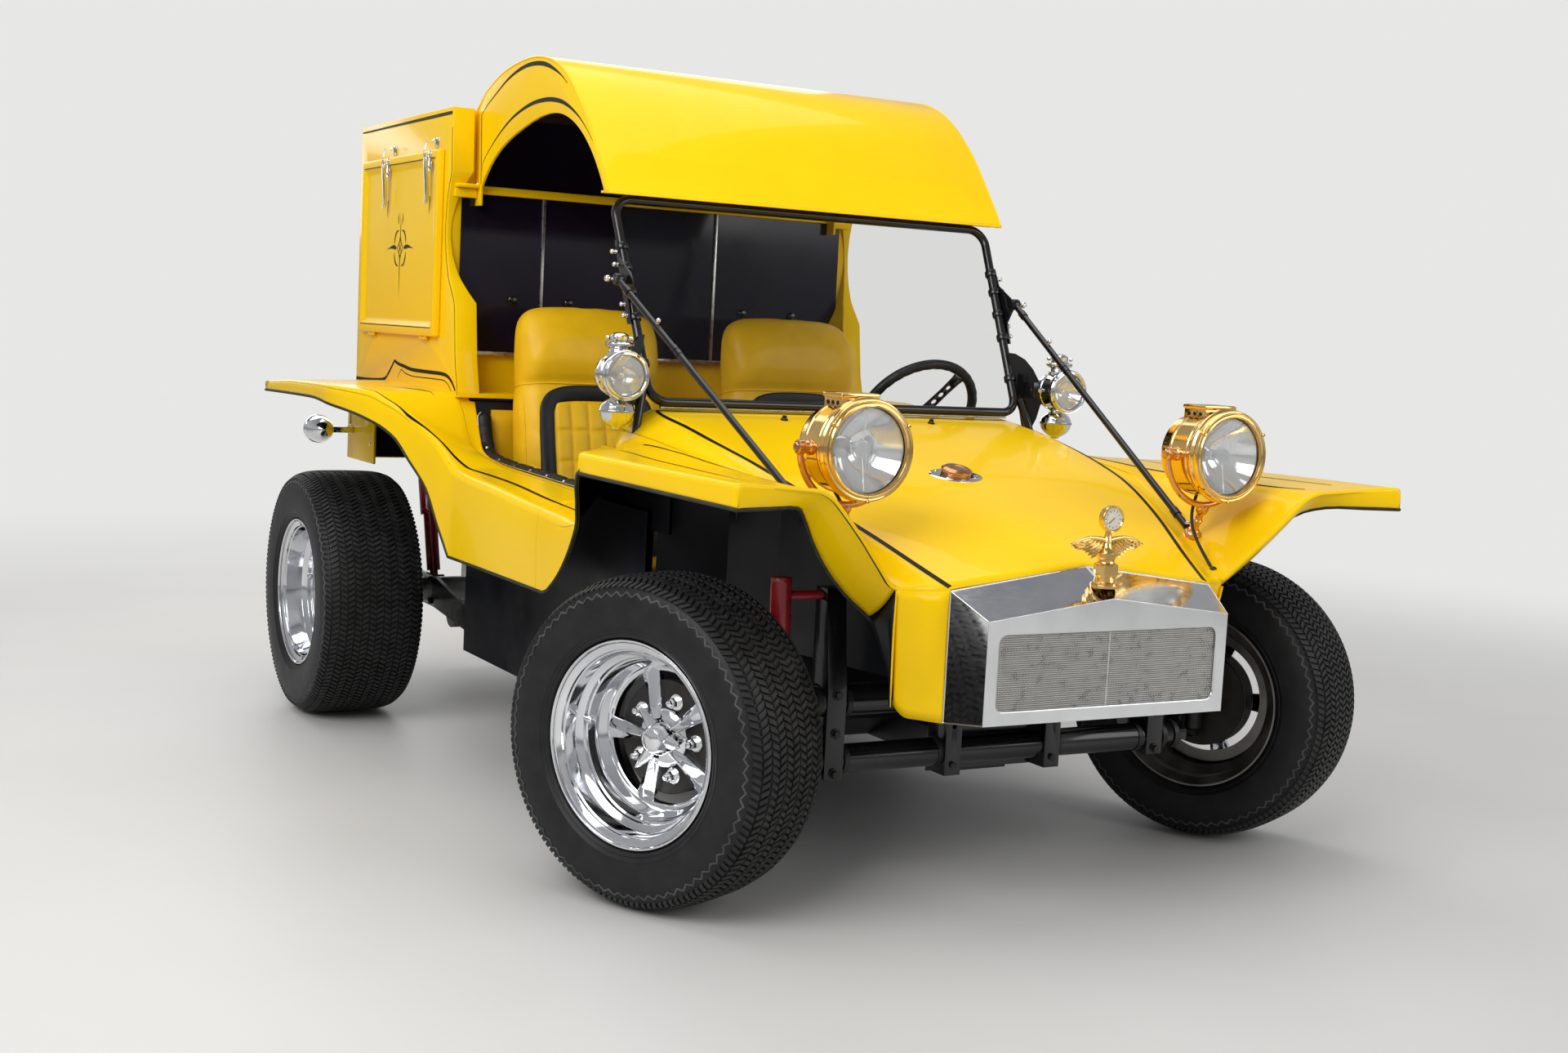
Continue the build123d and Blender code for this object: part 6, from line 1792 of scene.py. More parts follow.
def make_wheel():
    """Black rim with finger grips behind, three drilled spokes in gloss black, and a domed hub."""
    place = turned(STEERING_AT, (-math.cos(STEERING_LEAN), 0, math.sin(STEERING_LEAN)))
    rim = Shape()
    rows = []
    for a in angles(144):
        r_in = 0.0128 - 0.0011 * abs(math.sin(a * 18)) ** 3
        row = []
        for b in angles(18):
            r = r_in if math.sin(b) < 0.3 else 0.0128
            row.append(place @ polar(r * math.sin(b), 0.165 + r * math.cos(b), a))
        rows.append(row)
    rim.grid(rows, close_u=True, close_v=True)
    rim.piece("steering_rim", "wheel_black", "steering_wheel", angle=80, node="steering_wheel")
    # Spokes at the sides and straight down, each with three round holes.
    spokes = Shape()
    bm = bmesh.new()
    edge = [(0.019, 0.026), (0.0165, 0.040), (0.0145, 0.100), (0.0165, 0.140), (0.0195, 0.153)]
    loops = [edge + [(-w, r) for w, r in reversed(edge)]]
    for r, hole in ((0.062, 0.0078), (0.088, 0.0078), (0.114, 0.0070)):
        loops.append([(hole * math.cos(a), r + hole * math.sin(a)) for a in angles(20)])
    for angle in (180, 60, 300):
        turn = Matrix.Rotation(math.radians(angle), 4, "X")
        edges = []
        for loop in loops:
            ring = [bm.verts.new(place @ turn @ Vector((-0.007, w, r))) for w, r in loop]
            edges += [bm.edges.new(pair) for pair in zip(ring, ring[1:] + ring[:1])]
        bmesh.ops.triangle_fill(bm, use_beauty=True, use_dissolve=False, edges=edges)
    bm.verts.index_update()
    spokes.add([v.co.copy() for v in bm.verts], [[v.index for v in f.verts] for f in bm.faces])
    bm.free()
    flat = spokes.piece("steering_spokes", "black_gloss", "steering_wheel", angle=30)
    solid = flat.modifiers.new("thickness", "SOLIDIFY")
    solid.thickness = 0.0035
    solid.offset = 0
    hub = Shape()
    hub.lathe([(-0.032, 0.0), (-0.032, 0.026), (-0.022, 0.028), (-0.012, 0.030), (-0.004, 0.0325),
               (0.002, 0.031), (0.008, 0.026), (0.011, 0.018), (0.012, 0.0)], place, steps=40)
    for a in angles(6):
        hub.lathe([(-0.004, 0.0034), (0.0055, 0.0034), (0.0065, 0.0024), (0.0065, 0.0)],
                  place @ Matrix.Translation(polar(0, 0.0245, a)), steps=6)
    hub.piece("steering_hub", "black_gloss", "steering_wheel", angle=30)


make_seats()
make_coamings()
make_bulkhead_pad()
make_wheel()


# Load box, hatches and roof. Right-hand side first; most pieces are mirrored to the left.
BOX_SIDE = 0.645
HATCH_X = (-1.400, -0.690)
HATCH_Z = (1.088, 1.605)
HATCH_OUT = 0.6655
LATCH_XS = (-1.135, -0.755)


def softened(node, width, name, material="body_yellow", angle=35, segments=3):
    """Copy of a solid's mesh with its sharp edges rounded, shown in its place."""
    bm = bmesh.new()
    bm.from_mesh(nodes[node].data)
    bmesh.ops.remove_doubles(bm, verts=bm.verts[:], dist=1e-6)
    bmesh.ops.dissolve_limit(bm, angle_limit=math.radians(1.0), verts=bm.verts[:], edges=bm.edges[:])
    edges = [e for e in bm.edges if len(e.link_faces) == 2 and e.calc_face_angle(0) > math.radians(angle)]
    bmesh.ops.bevel(bm, geom=edges, offset=width, segments=segments, affect="EDGES", profile=0.5,
                    clamp_overlap=True)
    mesh = bpy.data.meshes.new(name)
    bm.to_mesh(mesh)
    bm.free()
    verts = [nodes[node].matrix_world @ v.co for v in mesh.vertices]
    faces = [list(p.vertices) for p in mesh.polygons]
    bpy.data.meshes.remove(mesh)
    mesh_piece(name, verts, faces, material, angle=32, node=node)


def column_edge():
    """Front edge of the box's column from the top down, as x and z."""
    line = [(-0.631, 1.715), (-0.6285, 1.660), (-0.625, 1.600), (-0.622, 1.540)]
    # Arc through three points: its centre lies behind the edge.
    cx, cz, r = arc_centre((-0.622, 1.540), (-0.657, 1.375), (-0.620, 1.250))
    a0, a1 = math.atan2(1.540 - cz, -0.622 - cx) % math.tau, math.atan2(1.250 - cz, -0.620 - cx) % math.tau
    for k in range(1, 11):
        a = a0 + (a1 - a0) * k / 10
        line.append((cx + r * math.cos(a), cz + r * math.sin(a)))
    line += [(-0.595, 1.219), (-0.572, 1.191), (-0.562, 1.160), (-0.554, 1.095), (-0.545, 1.032),
             (-0.533, 0.990), (-0.521, 0.950), (-0.521, 0.935)]
    return line


def arc_centre(a, b, c):
    """Centre and radius of the circle through three points of a plane."""
    (ax, az), (bx, bz), (cx, cz) = a, b, c
    d = 2 * (ax * (bz - cz) + bx * (cz - az) + cx * (az - bz))
    ux = ((ax * ax + az * az) * (bz - cz) + (bx * bx + bz * bz) * (cz - az)
          + (cx * cx + cz * cz) * (az - bz)) / d
    uz = ((ax * ax + az * az) * (cx - bx) + (bx * bx + bz * bz) * (ax - cx)
          + (cx * cx + cz * cz) * (bx - ax)) / d
    return ux, uz, math.hypot(ax - ux, az - uz)


def flat_line(shape, points, y, half, taper=None, per=8):
    """Painted line on an upright side face at -y, through points given as x and z."""
    line = smooth_line([Vector((x, -y, z)) for x, z in points], per)
    n = len(line)
    rows = []
    for i, p in enumerate(line):
        along = (line[min(i + 1, n - 1)] - line[max(i - 1, 0)]).normalized()
        across = Vector((along.z, 0, -along.x))
        width = half * (taper(i / (n - 1)) if taper else 1.0)
        rows.append([p - across * width, p + across * width])
    shape.grid(rows, flip=True)


def make_box():
    """Box with softened edges, the corbels under the roof, the partition's beam and the painted lines."""
    softened("load_box", 0.007, "load_box_shell")
    trim = Shape()
    # Stepped corbel under the roof's rear corner, on the column's front face.
    for z0, z1, out in ((1.474, 1.500, 0.030), (1.500, 1.512, 0.046)):
        trim.block((-0.664, -0.632, z0), (-0.664 + out, -0.568, z1), bevel=0.004)
    # Beam across between the lower and the upper window.
    trim.block((-0.664, -0.600, 1.487), (-0.640, 0.0, 1.510), bevel=0.003)
    trim.mirror()
    trim.piece("partition_beam", "body_yellow", angle=35)
    lines = Shape()
    y = BOX_SIDE + PAINT_LIFT
    flat_line(lines, [(-1.470, 1.6985), (-1.200, 1.6990), (-0.900, 1.6995), (-0.641, 1.7000)], y, 0.0046,
              lambda t: 0.45 + 0.55 * min(1.0, t * 1.3))
    flat_line(lines, [(x - 0.009, z) for x, z in column_edge() if z < 1.7], y, 0.0014, per=4)
    flat_line(lines, [(-1.468, 0.941), (-1.373, 0.941), (-1.232, 0.946), (-1.172, 0.953), (-1.139, 0.971),
                      (-1.110, 0.991), (-1.086, 1.009)], y, 0.0050, lambda t: 1.0 - 0.25 * t)
    flat_line(lines, [(-1.086, 1.009), (-1.050, 1.001), (-0.998, 0.996), (-0.919, 0.989), (-0.793, 0.988),
                      (-0.664, 0.988), (-0.612, 0.983), (-0.575, 0.969), (-0.545, 0.947)], y, 0.0052,
              lambda t: 0.8 + 0.2 * math.sin(math.pi * t))
    flat_line(lines, [(-1.052, 0.960), (-1.036, 0.974), (-1.020, 0.986)], y, 0.0014, lambda t: 0.4 + 0.6 * t)
    flat_line(lines, [(-1.020, 0.986), (-0.985, 0.977), (-0.930, 0.971), (-0.850, 0.970), (-0.710, 0.971),
                      (-0.640, 0.970), (-0.600, 0.958), (-0.580, 0.944)], y, 0.0013)
    lines.mirror()
    lines.piece("box_stripes", "stripe", smooth=False)


def bevelled_frame(shape, x, z, y_out, rows):
    """Rectangular ring of faces from an outer edge to a sunk panel; rows give inset, depth and rounding."""
    loops = []
    for inset, depth, corner in rows:
        x0, x1, z0, z1 = x[0] + inset, x[1] - inset, z[0] + inset, z[1] - inset
        loop = []
        for cx, cz, start in ((x1 - corner, z1 - corner, 0), (x0 + corner, z1 - corner, 90),
                              (x0 + corner, z0 + corner, 180), (x1 - corner, z0 + corner, 270)):
            for k in range(6):
                a = math.radians(start + 18 * k)
                loop.append(Vector((cx + corner * math.cos(a), -y_out + depth, cz + corner * math.sin(a))))
        loops.append(loop)
    shape.grid(loops, close_v=True)
    return loops


def make_hatch(side, word):
    """Hatch with rounded rails, a sunk panel, painted lines, a painted shadow below each latch and a flourish
    of its own design.
    """
    hatch = Shape()
    rows = [(0.002, 0.0200, 0.004), (0.000, 0.0170, 0.006), (0.000, 0.0060, 0.007), (0.0015, 0.0028, 0.007),
            (0.0050, 0.0006, 0.007), (0.0090, 0.0000, 0.006), (0.0230, 0.0000, 0.005),
            (0.0255, 0.0006, 0.006), (0.0290, 0.0022, 0.008), (0.0390, 0.0078, 0.011),
            (0.0420, 0.0088, 0.013), (0.0460, 0.0090, 0.014)]
    loops = bevelled_frame(hatch, HATCH_X, HATCH_Z, HATCH_OUT, rows)
    order = range(len(loops[0]))
    hatch.add(loops[-1], [tuple(order)])
    hatch.add(loops[0], [tuple(reversed(order))])
    lines_and_shadows = Shape()
    face, panel = HATCH_OUT + 0.0006, HATCH_OUT - 0.0083
    x0, x1, z0, z1 = HATCH_X[0] + 0.0245, HATCH_X[1] - 0.0245, HATCH_Z[0] + 0.0245, HATCH_Z[1] - 0.0245
    flat_line(lines_and_shadows, [(x0, z1), (x1, z1)], face, 0.0013, per=2)
    flat_line(lines_and_shadows, [(x0, z0), (x1, z0)], face, 0.0013, per=2)
    # Tapering dark line beside and below each latch: a painted shadow of the latch on the sunk panel.
    for x in LATCH_XS:
        flat_line(lines_and_shadows, [(x - 0.022, 1.478), (x - 0.023, 1.450), (x - 0.024, 1.428)], panel, 0.0030,
                  lambda t: 1.0 - 0.93 * t)
    make_flourish(lines_and_shadows, -1.030, 1.338, panel)
    if side > 0:
        hatch, lines_and_shadows = hatch.mirrored(), lines_and_shadows.mirrored()
    node = "hatch_" + word
    hatch.piece("hatch_panel_" + word, "body_yellow", node, angle=30, node=node)
    lines_and_shadows.piece("hatch_lines_and_shadows_" + word, "stripe", node, smooth=False)


def make_flourish(lines_and_shadows, x, z, y):
    """Painted ornament: crossed spears in an open lozenge, two pairs of crescents and three drops."""
    def line(points, half, taper):
        """Painted line through points measured from the ornament's middle."""
        flat_line(lines_and_shadows, [(x + a, z + b) for a, b in points], y, half, taper, 10)

    line([(0, 0.020), (0.0015, 0.060), (0, 0.105)], 0.0030, lambda t: 1.0 - 0.9 * t)
    line([(0, -0.020), (-0.0015, -0.075), (0, -0.145)], 0.0030, lambda t: 1.0 - 0.9 * t)
    for sign in (-1, 1):
        # Sides of the lozenge, then the crescents and the drops beside it.
        line([(0, 0.034), (sign * 0.010, 0.014), (sign * 0.026, 0)], 0.0028, swell(0.35, 1.0, 0.6))
        line([(sign * 0.026, 0), (sign * 0.010, -0.014), (0, -0.034)], 0.0028, swell(0.35, 1.0, 0.4))
        line([(sign * 0.030, 0.0), (sign * 0.070, 0.004), (sign * 0.120, -0.002)], 0.0062,
             swell(0.12, 1.0, 0.25))
        line([(sign * 0.012, 0.052), (sign * 0.036, 0.046), (sign * 0.050, 0.026), (sign * 0.052, 0.012)],
             0.0036, spindle)
        line([(sign * 0.012, -0.052), (sign * 0.036, -0.046), (sign * 0.050, -0.026), (sign * 0.052, -0.012)],
             0.0036, spindle)
        line([(sign * 0.014, 0.066), (sign * 0.021, 0.086), (sign * 0.017, 0.104)], 0.0030,
             swell(0.1, 1.0, 0.4))
    line([(0, 0.010), (0.0, 0.0), (0, -0.010)], 0.0050, spindle)


def make_latches(side, word):
    """Draw latches: base with screws, hinged lever with a rolled end, and a wire loop over the hook."""
    latches, hooks = Shape(), Shape()
    for x in LATCH_XS:
        y = HATCH_OUT
        rows = []
        # Base plate with a waist, standing on the top rail.
        for z, wide in ((1.546, 0.0085), (1.552, 0.0125), (1.566, 0.0125), (1.576, 0.0095), (1.588, 0.0125),
                        (1.598, 0.0125), (1.602, 0.0095)):
            rows.append([Vector((x - wide, y, z)), Vector((x - wide, y + 0.0014, z)),
                         Vector((x - wide + 0.001, y + 0.0022, z)), Vector((x + wide - 0.001, y + 0.0022, z)),
                         Vector((x + wide, y + 0.0014, z)), Vector((x + wide, y, z))])
        latches.grid(rows, close_v=True)
        for dx, z in ((-0.0075, 1.5925), (0.0075, 1.5925), (-0.0075, 1.557), (0.0075, 1.557)):
            latches.lathe([(0.0, 0.0030), (0.0012, 0.0026), (0.0018, 0.0)],
                          turned((x + dx, y + 0.0022, z), (0, 1, 0)), steps=12)
        # Lever: channel section that tapers to its rolled end, hinged on a pin at the top.
        rows = []
        for z, wide, out in ((1.589, 0.0062, 0.0135), (1.583, 0.0088, 0.0175), (1.570, 0.0092, 0.0190),
                             (1.548, 0.0096, 0.0172), (1.520, 0.0090, 0.0150), (1.490, 0.0078, 0.0132),
                             (1.468, 0.0066, 0.0120), (1.459, 0.0060, 0.0142), (1.4545, 0.0052, 0.0182)):
            low = max(0.003, out - 0.0085)
            rows.append([Vector((x - wide, y + low, z)), Vector((x - wide, y + out - 0.0015, z)),
                         Vector((x - wide * 0.72, y + out, z)), Vector((x, y + out + 0.0006, z)),
                         Vector((x + wide * 0.72, y + out, z)), Vector((x + wide, y + out - 0.0015, z)),
                         Vector((x + wide, y + low, z)), Vector((x + wide * 0.8, y + low + 0.001, z)),
                         Vector((x, y + out - 0.0022, z)), Vector((x - wide * 0.8, y + low + 0.001, z))])
        latches.grid(rows, close_v=True, flip=True)
        latches.tube([(x - 0.0125, y + 0.0095, 1.584), (x + 0.0125, y + 0.0095, 1.584)], 0.0028, steps=12)
        for dx in (-0.0125, 0.0125):
            latches.ball((x + dx, y + 0.0095, 1.584), 0.0036, 12)
        # Loop from the lever up to the hook.
        loop = smooth_line([(x - 0.0045, y + 0.0150, 1.574), (x - 0.0045, y + 0.0175, 1.598),
                            (x - 0.0040, y + 0.0120, 1.6235), (x, y + 0.0105, 1.6265),
                            (x + 0.0040, y + 0.0120, 1.6235), (x + 0.0045, y + 0.0175, 1.598),
                            (x + 0.0045, y + 0.0150, 1.574)], 6)
        latches.tube(loop, 0.0016, steps=8)
        # Hook on the box, curled over the loop.
        rows = []
        for s, (out, z) in enumerate(((0.0, 1.611), (0.0028, 1.612), (0.0030, 1.619), (0.0035, 1.630),
                                      (0.0065, 1.6345), (0.0115, 1.6355), (0.0150, 1.631), (0.0152, 1.6245))):
            wide = 0.0105 if s < 4 else 0.0085
            rows.append([Vector((x - wide, BOX_SIDE + out, z)), Vector((x + wide, BOX_SIDE + out, z))])
        hooks.grid(rows)
        hooks.block((x - 0.0112, BOX_SIDE - 0.001, 1.611), (x + 0.0112, BOX_SIDE + 0.0022, 1.640),
                    bevel=0.001)
        hooks.lathe([(0.002, 0.0034), (0.0036, 0.0028), (0.0042, 0.0)],
                    turned((x, BOX_SIDE, 1.6145), (0, 1, 0)), steps=12)
    if side < 0:
        latches, hooks = latches.mirrored(), hooks.mirrored()
    latches.piece("latch_levers_" + word, "chrome", "hatch_" + word, angle=40, node="latches_" + word)
    hooks.piece("latch_hooks_" + word, "chrome", angle=40, node="latch_catches" if side < 0 else None)


def make_hinges(side, word):
    """Knuckles and leaves of the hatch's lower hinges, in the body's yellow, on the box and the hatch."""
    moving, fixed = Shape(), Shape()
    y, z = side * 0.655, 1.083
    for x in (HATCH_X[0] + 0.110, HATCH_X[1] - 0.110):
        for a, b in ((-0.030, -0.0155), (0.0155, 0.030)):
            moving.lathe([(0, 0.0), (0.0004, 0.0044), (b - a - 0.0004, 0.0044), (b - a, 0.0)],
                         turned((x + a, y, z), (1, 0, 0)), steps=20)
            moving.block((x + a, y, z), (x + b, y + side * 0.0042, z + 0.012), bevel=0.0008)
        fixed.lathe([(-0.0145, 0.0), (-0.0141, 0.0044), (0.0141, 0.0044), (0.0145, 0.0)],
                    turned((x, y, z), (1, 0, 0)), steps=20)
        for out, low, high in ((y, z - 0.0043, z - 0.0003), (side * 0.6465, z - 0.016, z - 0.004)):
            fixed.block((x - 0.0145, side * 0.6445, low), (x + 0.0145, out, high), bevel=0.0008)
    moving.piece("hinge_knuckles_" + word, "body_yellow", "hatch_" + word, angle=40)
    fixed.piece("hinge_leaves_" + word, "body_yellow", angle=40)


def make_box_rear():
    """Rear wall: two plain doors with painted lines, handles and hinge pins."""
    parts, lines = Shape(), Shape()
    x = -1.4815
    for y0, y1 in ((-0.600, -0.004), (0.004, 0.600)):
        parts.block((x - 0.006, y0, 0.985), (x + 0.004, y1, 1.670), bevel=0.004)
        middle = (y0 + y1) / 2
        lines.tube(smooth_line([(x - 0.0065, y0 + 0.05, 1.035), (x - 0.0065, middle, 1.026),
                                (x - 0.0065, y1 - 0.05, 1.035), (x - 0.0065, y1 - 0.04, 1.330),
                                (x - 0.0065, y1 - 0.05, 1.620), (x - 0.0065, middle, 1.629),
                                (x - 0.0065, y0 + 0.05, 1.620), (x - 0.0065, y0 + 0.04, 1.330)], 8,
                               close=True), 0.0012, steps=6, close=True)
    handle = Shape()
    for y in (-0.030, 0.030):
        handle.lathe([(0.0, 0.020), (0.003, 0.020), (0.006, 0.012), (0.016, 0.009), (0.020, 0.009)],
                     turned((x - 0.006, y, 1.330), (-1, 0, 0)), steps=24)
        handle.tube(smooth_line([(x - 0.024, y, 1.335), (x - 0.026, y, 1.300), (x - 0.021, y, 1.262)], 5),
                    0.006, steps=12)
    for y in (-0.590, 0.590):
        for z in (1.080, 1.575):
            handle.tube([(x - 0.009, y, z - 0.030), (x - 0.009, y, z + 0.030)], 0.0055, steps=12)
    parts.piece("rear_doors", "body_yellow", angle=35)
    lines.piece("rear_door_lines", "stripe", angle=60)
    handle.piece("rear_door_handles", "chrome", angle=35)


def make_partition():
    """Dark glass of the partition: lower panes with a bright divider, and the arched pane above."""
    panes = Shape()
    x = -0.652
    low = [Vector((x, -0.606 + 1.212 * k / 40, 0.0)) for k in range(41)]
    panes.grid([[Vector((x, p.y, 1.052)) for p in low], [Vector((x, p.y, 1.487)) for p in low]])
    upper = []
    for k in range(41):
        y = -0.558 + 1.116 * k / 40
        upper.append((Vector((x, y, 1.508)), Vector((x, y, 1.703 - 0.010 * (y / 0.558) ** 2))))
    panes.grid([[a for a, _ in upper], [b for _, b in upper]])
    panes.block((x - 0.004, -0.606, 1.050), (x - 0.002, 0.606, 1.490))
    panes.piece("partition_glass", "dark_glass", smooth=False, node="box_windows")
    frames = Shape()
    frames.block((x, -0.606, 1.044), (x + 0.010, 0.606, 1.056), bevel=0.002)
    for y in (-0.365, 0.180):
        frames.block((x, y - 0.0045, 1.056), (x + 0.007, y + 0.0045, 1.487), bevel=0.0015)
    frames.piece("partition_frames", "stainless", angle=35)
    knobs = Shape()
    for y in (-0.450, -0.280, 0.280, 0.450):
        at = turned((x + 0.002, y, 1.200), (1, 0, 0))
        knobs.lathe([(0.0, 0.013), (0.004, 0.013), (0.006, 0.010), (0.012, 0.008), (0.013, 0.0)], at,
                    steps=20)
    knobs.piece("partition_knobs", "black_gloss", angle=40)


def make_roof():
    """Roof with softened edges, black lines on its fascias and a dark lining."""
    softened("roof", 0.004, "roof_shell", angle=40)
    lines = Shape()
    y = 0.568 + 0.0008
    flat_line(lines, [(-0.610, 1.512), (-0.613, 1.571), (-0.618, 1.640), (-0.6225, 1.700)], y, 0.0015, per=6)
    flat_line(lines, [(-0.6225, 1.700), (-0.580, 1.722), (-0.512, 1.749), (-0.437, 1.776), (-0.363, 1.793),
                      (-0.291, 1.801), (-0.219, 1.799), (-0.162, 1.790), (-0.112, 1.775), (-0.063, 1.755),
                      (-0.022, 1.732)], y, 0.0056, swell(0.16, 1.0, 0.66))
    flat_line(lines, [(-0.605, 1.545), (-0.598, 1.571), (-0.538, 1.610), (-0.463, 1.647), (-0.389, 1.674),
                      (-0.316, 1.691), (-0.244, 1.701), (-0.174, 1.703), (-0.118, 1.700), (-0.056, 1.690),
                      (-0.002, 1.673), (0.053, 1.648), (0.106, 1.615), (0.150, 1.580)], y, 0.0056,
              swell(0.12, 1.0, 0.62))
    lines.mirror()
    lines.piece("roof_stripes", "stripe", smooth=False)
    lining = Shape()
    rows = []
    arch = smooth_line([(-0.655, 0, 1.700), (-0.575, 0, 1.752), (-0.426, 0, 1.796), (-0.226, 0, 1.806),
                        (-0.060, 0, 1.761), (0.079, 0, 1.652), (0.176, 0, 1.537), (0.236, 0, 1.462)], 6)
    for p in arch:
        rows.append([Vector((p.x, -0.5605 + 1.121 * k / 24, p.z - 0.0015)) for k in range(25)])
    lining.grid(rows, flip=True)
    lining.piece("roof_lining", "head_lining", angle=60)


def make_gutters():
    """Rolled bead along the roof's side edges, and the bright buttons near its rear corners."""
    bead, buttons = Shape(), Shape()
    arch = smooth_line([(-0.658, 0, 1.719), (-0.575, 0, 1.767), (-0.426, 0, 1.808), (-0.226, 0, 1.818),
                        (-0.060, 0, 1.774), (0.079, 0, 1.668), (0.180, 0, 1.549), (0.246, 0, 1.460)], 8)
    bead.tube([Vector((p.x, -0.5665, p.z - 0.0022)) for p in arch], 0.0030, steps=10)
    at = turned((-0.640, -0.569, 1.512), (0, -1, 0))
    buttons.lathe([(-0.002, 0.0060), (0.001, 0.0060), (0.0030, 0.0045), (0.0038, 0.0)], at, steps=20)
    bead.mirror()
    buttons.mirror()
    bead.piece("roof_beads", "body_yellow", angle=70)
    buttons.piece("roof_buttons", "chrome", angle=50)


make_box()
for hatch_side, hatch_word in ((-1, "right"), (1, "left")):
    make_hatch(hatch_side, hatch_word)
    make_latches(hatch_side, hatch_word)
    make_hinges(hatch_side, hatch_word)
make_box_rear()
make_partition()
make_roof()
make_gutters()


# Fittings: windshield posts and braces, dashboard, engine, axles and the nose's shell

def prism(shape, points, y0, y1, matrix=Matrix.Identity(4)):
    """Flat plate with an outline in x and z, between two heights in y."""
    n = len(points)
    verts = [matrix @ Vector((x, y, z)) for y in (y0, y1) for x, z in points]
    faces = [tuple(range(n)), tuple(reversed(range(n, 2 * n)))]
    faces += [(k, n + k, n + (k + 1) % n, (k + 1) % n) for k in range(n)]
    shape.add(verts, faces)


def bolt(shape, place, axis, radius=0.006, height=0.006):
    """Hexagon head on a washer."""
    at = turned(place, axis)
    shape.lathe([(0.0, 1.55 * radius), (0.0010, 1.55 * radius), (0.0012, 1.35 * radius)], at, steps=20)
    shape.lathe([(0.0010, 1.12 * radius), (0.85 * height, 1.12 * radius), (height, 0.9 * radius),
                 (height, 0.0)], at, steps=6)


def post_point(z, out=0.0):
    """Point of the right-hand windshield post at z, moved outwards."""
    t = (z - 0.975) / 0.470
    return Vector((0.430 - 0.221 * t, -(0.520 + 0.016 * t + out), z))


def make_post_fittings():
    """Clamps, gussets, bolts and knobs up both posts, and each brace's eye and foot."""
    black, bright = Shape(), Shape()
    along = (post_point(1.4) - post_point(1.0)).normalized()
    for z in (1.060, 1.165, 1.225, 1.282, 1.330):
        black.lathe([(-0.008, 0.0110), (-0.008, 0.0142), (-0.006, 0.0152), (0.006, 0.0152), (0.008, 0.0142),
                     (0.008, 0.0110)], turned(post_point(z), along, (1, 0, 0)), steps=24)
    strap = [(post_point(z).x + dx, z) for z, dx in ((1.150, -0.007), (1.345, -0.007), (1.345, 0.007),
                                                     (1.300, 0.010), (1.268, 0.052), (1.246, 0.060),
                                                     (1.205, 0.014), (1.150, 0.007))]
    prism(black, strap, -0.5455, -0.5415)
    for z in (1.170, 1.196, 1.288, 1.318):
        place = post_point(z, 0.0165)
        bright.lathe([(0.0, 0.0052), (0.004, 0.0052), (0.0045, 0.0030), (0.006, 0.0030)],
                     turned(place, (0, -1, 0)), steps=16)
        bright.ball(place + Vector((0, -0.0105, 0)), 0.0062, 14)
    bolt(bright, (0.318, -0.560, 1.253), (0, -1, 0), 0.006, 0.006)
    # Brace: eye and knob above, tongue and bolt below.
    black.lathe([(-0.010, 0.0), (-0.010, 0.0125), (-0.007, 0.0145), (0.007, 0.0145), (0.010, 0.0125),
                 (0.010, 0.0)], turned((0.330, -0.568, 1.253), (0, -1, 0)), steps=24)
    bright.tube([(0.330, -0.577, 1.253), (0.330, -0.590, 1.253)], 0.0035, steps=10)
    bright.ball((0.330, -0.595, 1.253), 0.0085, 16)
    start, end = Vector((0.330, -0.568, 1.253)), Vector((1.1555, -0.477, 0.763))
    run = (end - start).normalized()
    for t, radius in ((0.055, 0.0102), (0.315, 0.0094), (0.330, 0.0094), (0.945, 0.0102)):
        p = start.lerp(end, t)
        black.tube([p - run * 0.010, p + run * 0.010], radius, steps=18)
    knob = start.lerp(end, 0.215)
    bright.tube([knob, knob + Vector((0.006, 0, 0.011))], 0.003, steps=8)
    bright.ball(knob + Vector((0.008, 0, 0.014)), 0.0058, 12)
    # Bracket that carries the cowl lamp, and the post's foot beside the hood.
    lean = turned((0.398, -0.545, 0), (0.62, -0.78, 0), (0, 0, 1))
    flat = Matrix(((lean[0][0], 0.78, 0, lean[0][3]), (lean[1][0], 0.62, 0, lean[1][3]), (0, 0, 1, 0),
                   (0, 0, 0, 1)))
    outline = [(-0.034, 1.128), (-0.012, 1.126), (0.014, 1.112), (0.036, 1.088), (0.052, 1.060),
               (0.076, 1.050), (0.078, 1.018), (0.060, 0.996), (0.052, 0.962), (0.040, 0.934), (0.016, 0.934),
               (0.004, 0.990), (-0.012, 1.060)]
    prism(black, outline, -0.003, 0.003, flat)
    black.tube(smooth_line([Vector((0.420, -0.536, 1.010)), Vector((0.436, -0.549, 0.960)),
                            Vector((0.447, -0.560, 0.915)), Vector((0.452, -0.566, 0.884))], 5),
               [0.0115 - 0.0002 * k for k in range(16)], steps=14)
    for x, z in ((0.385, 1.045), (0.409, 1.028), (0.395, 1.062)):
        bolt(bright, (x, -0.5512, z), (0, -1, 0), 0.0042, 0.004)
    bolt(bright, (1.158, -0.4775, 0.7715), (0.2, 0.1, 1), 0.0050, 0.005)
    for shape, name, material in ((black, "post_clamps", "black_gloss"), (bright, "post_bolts", "chrome")):
        shape.mirror()
        shape.piece(name, material, angle=35)
    # Seal and bright bead along the foot of the windshield.
    bead = Shape()
    bead.tube([Vector((0.427, -0.49 + 0.98 * k / 50, 0.9625)) for k in range(51)], 0.0030, steps=8)
    bead.piece("windshield_bead", "stainless", angle=60)


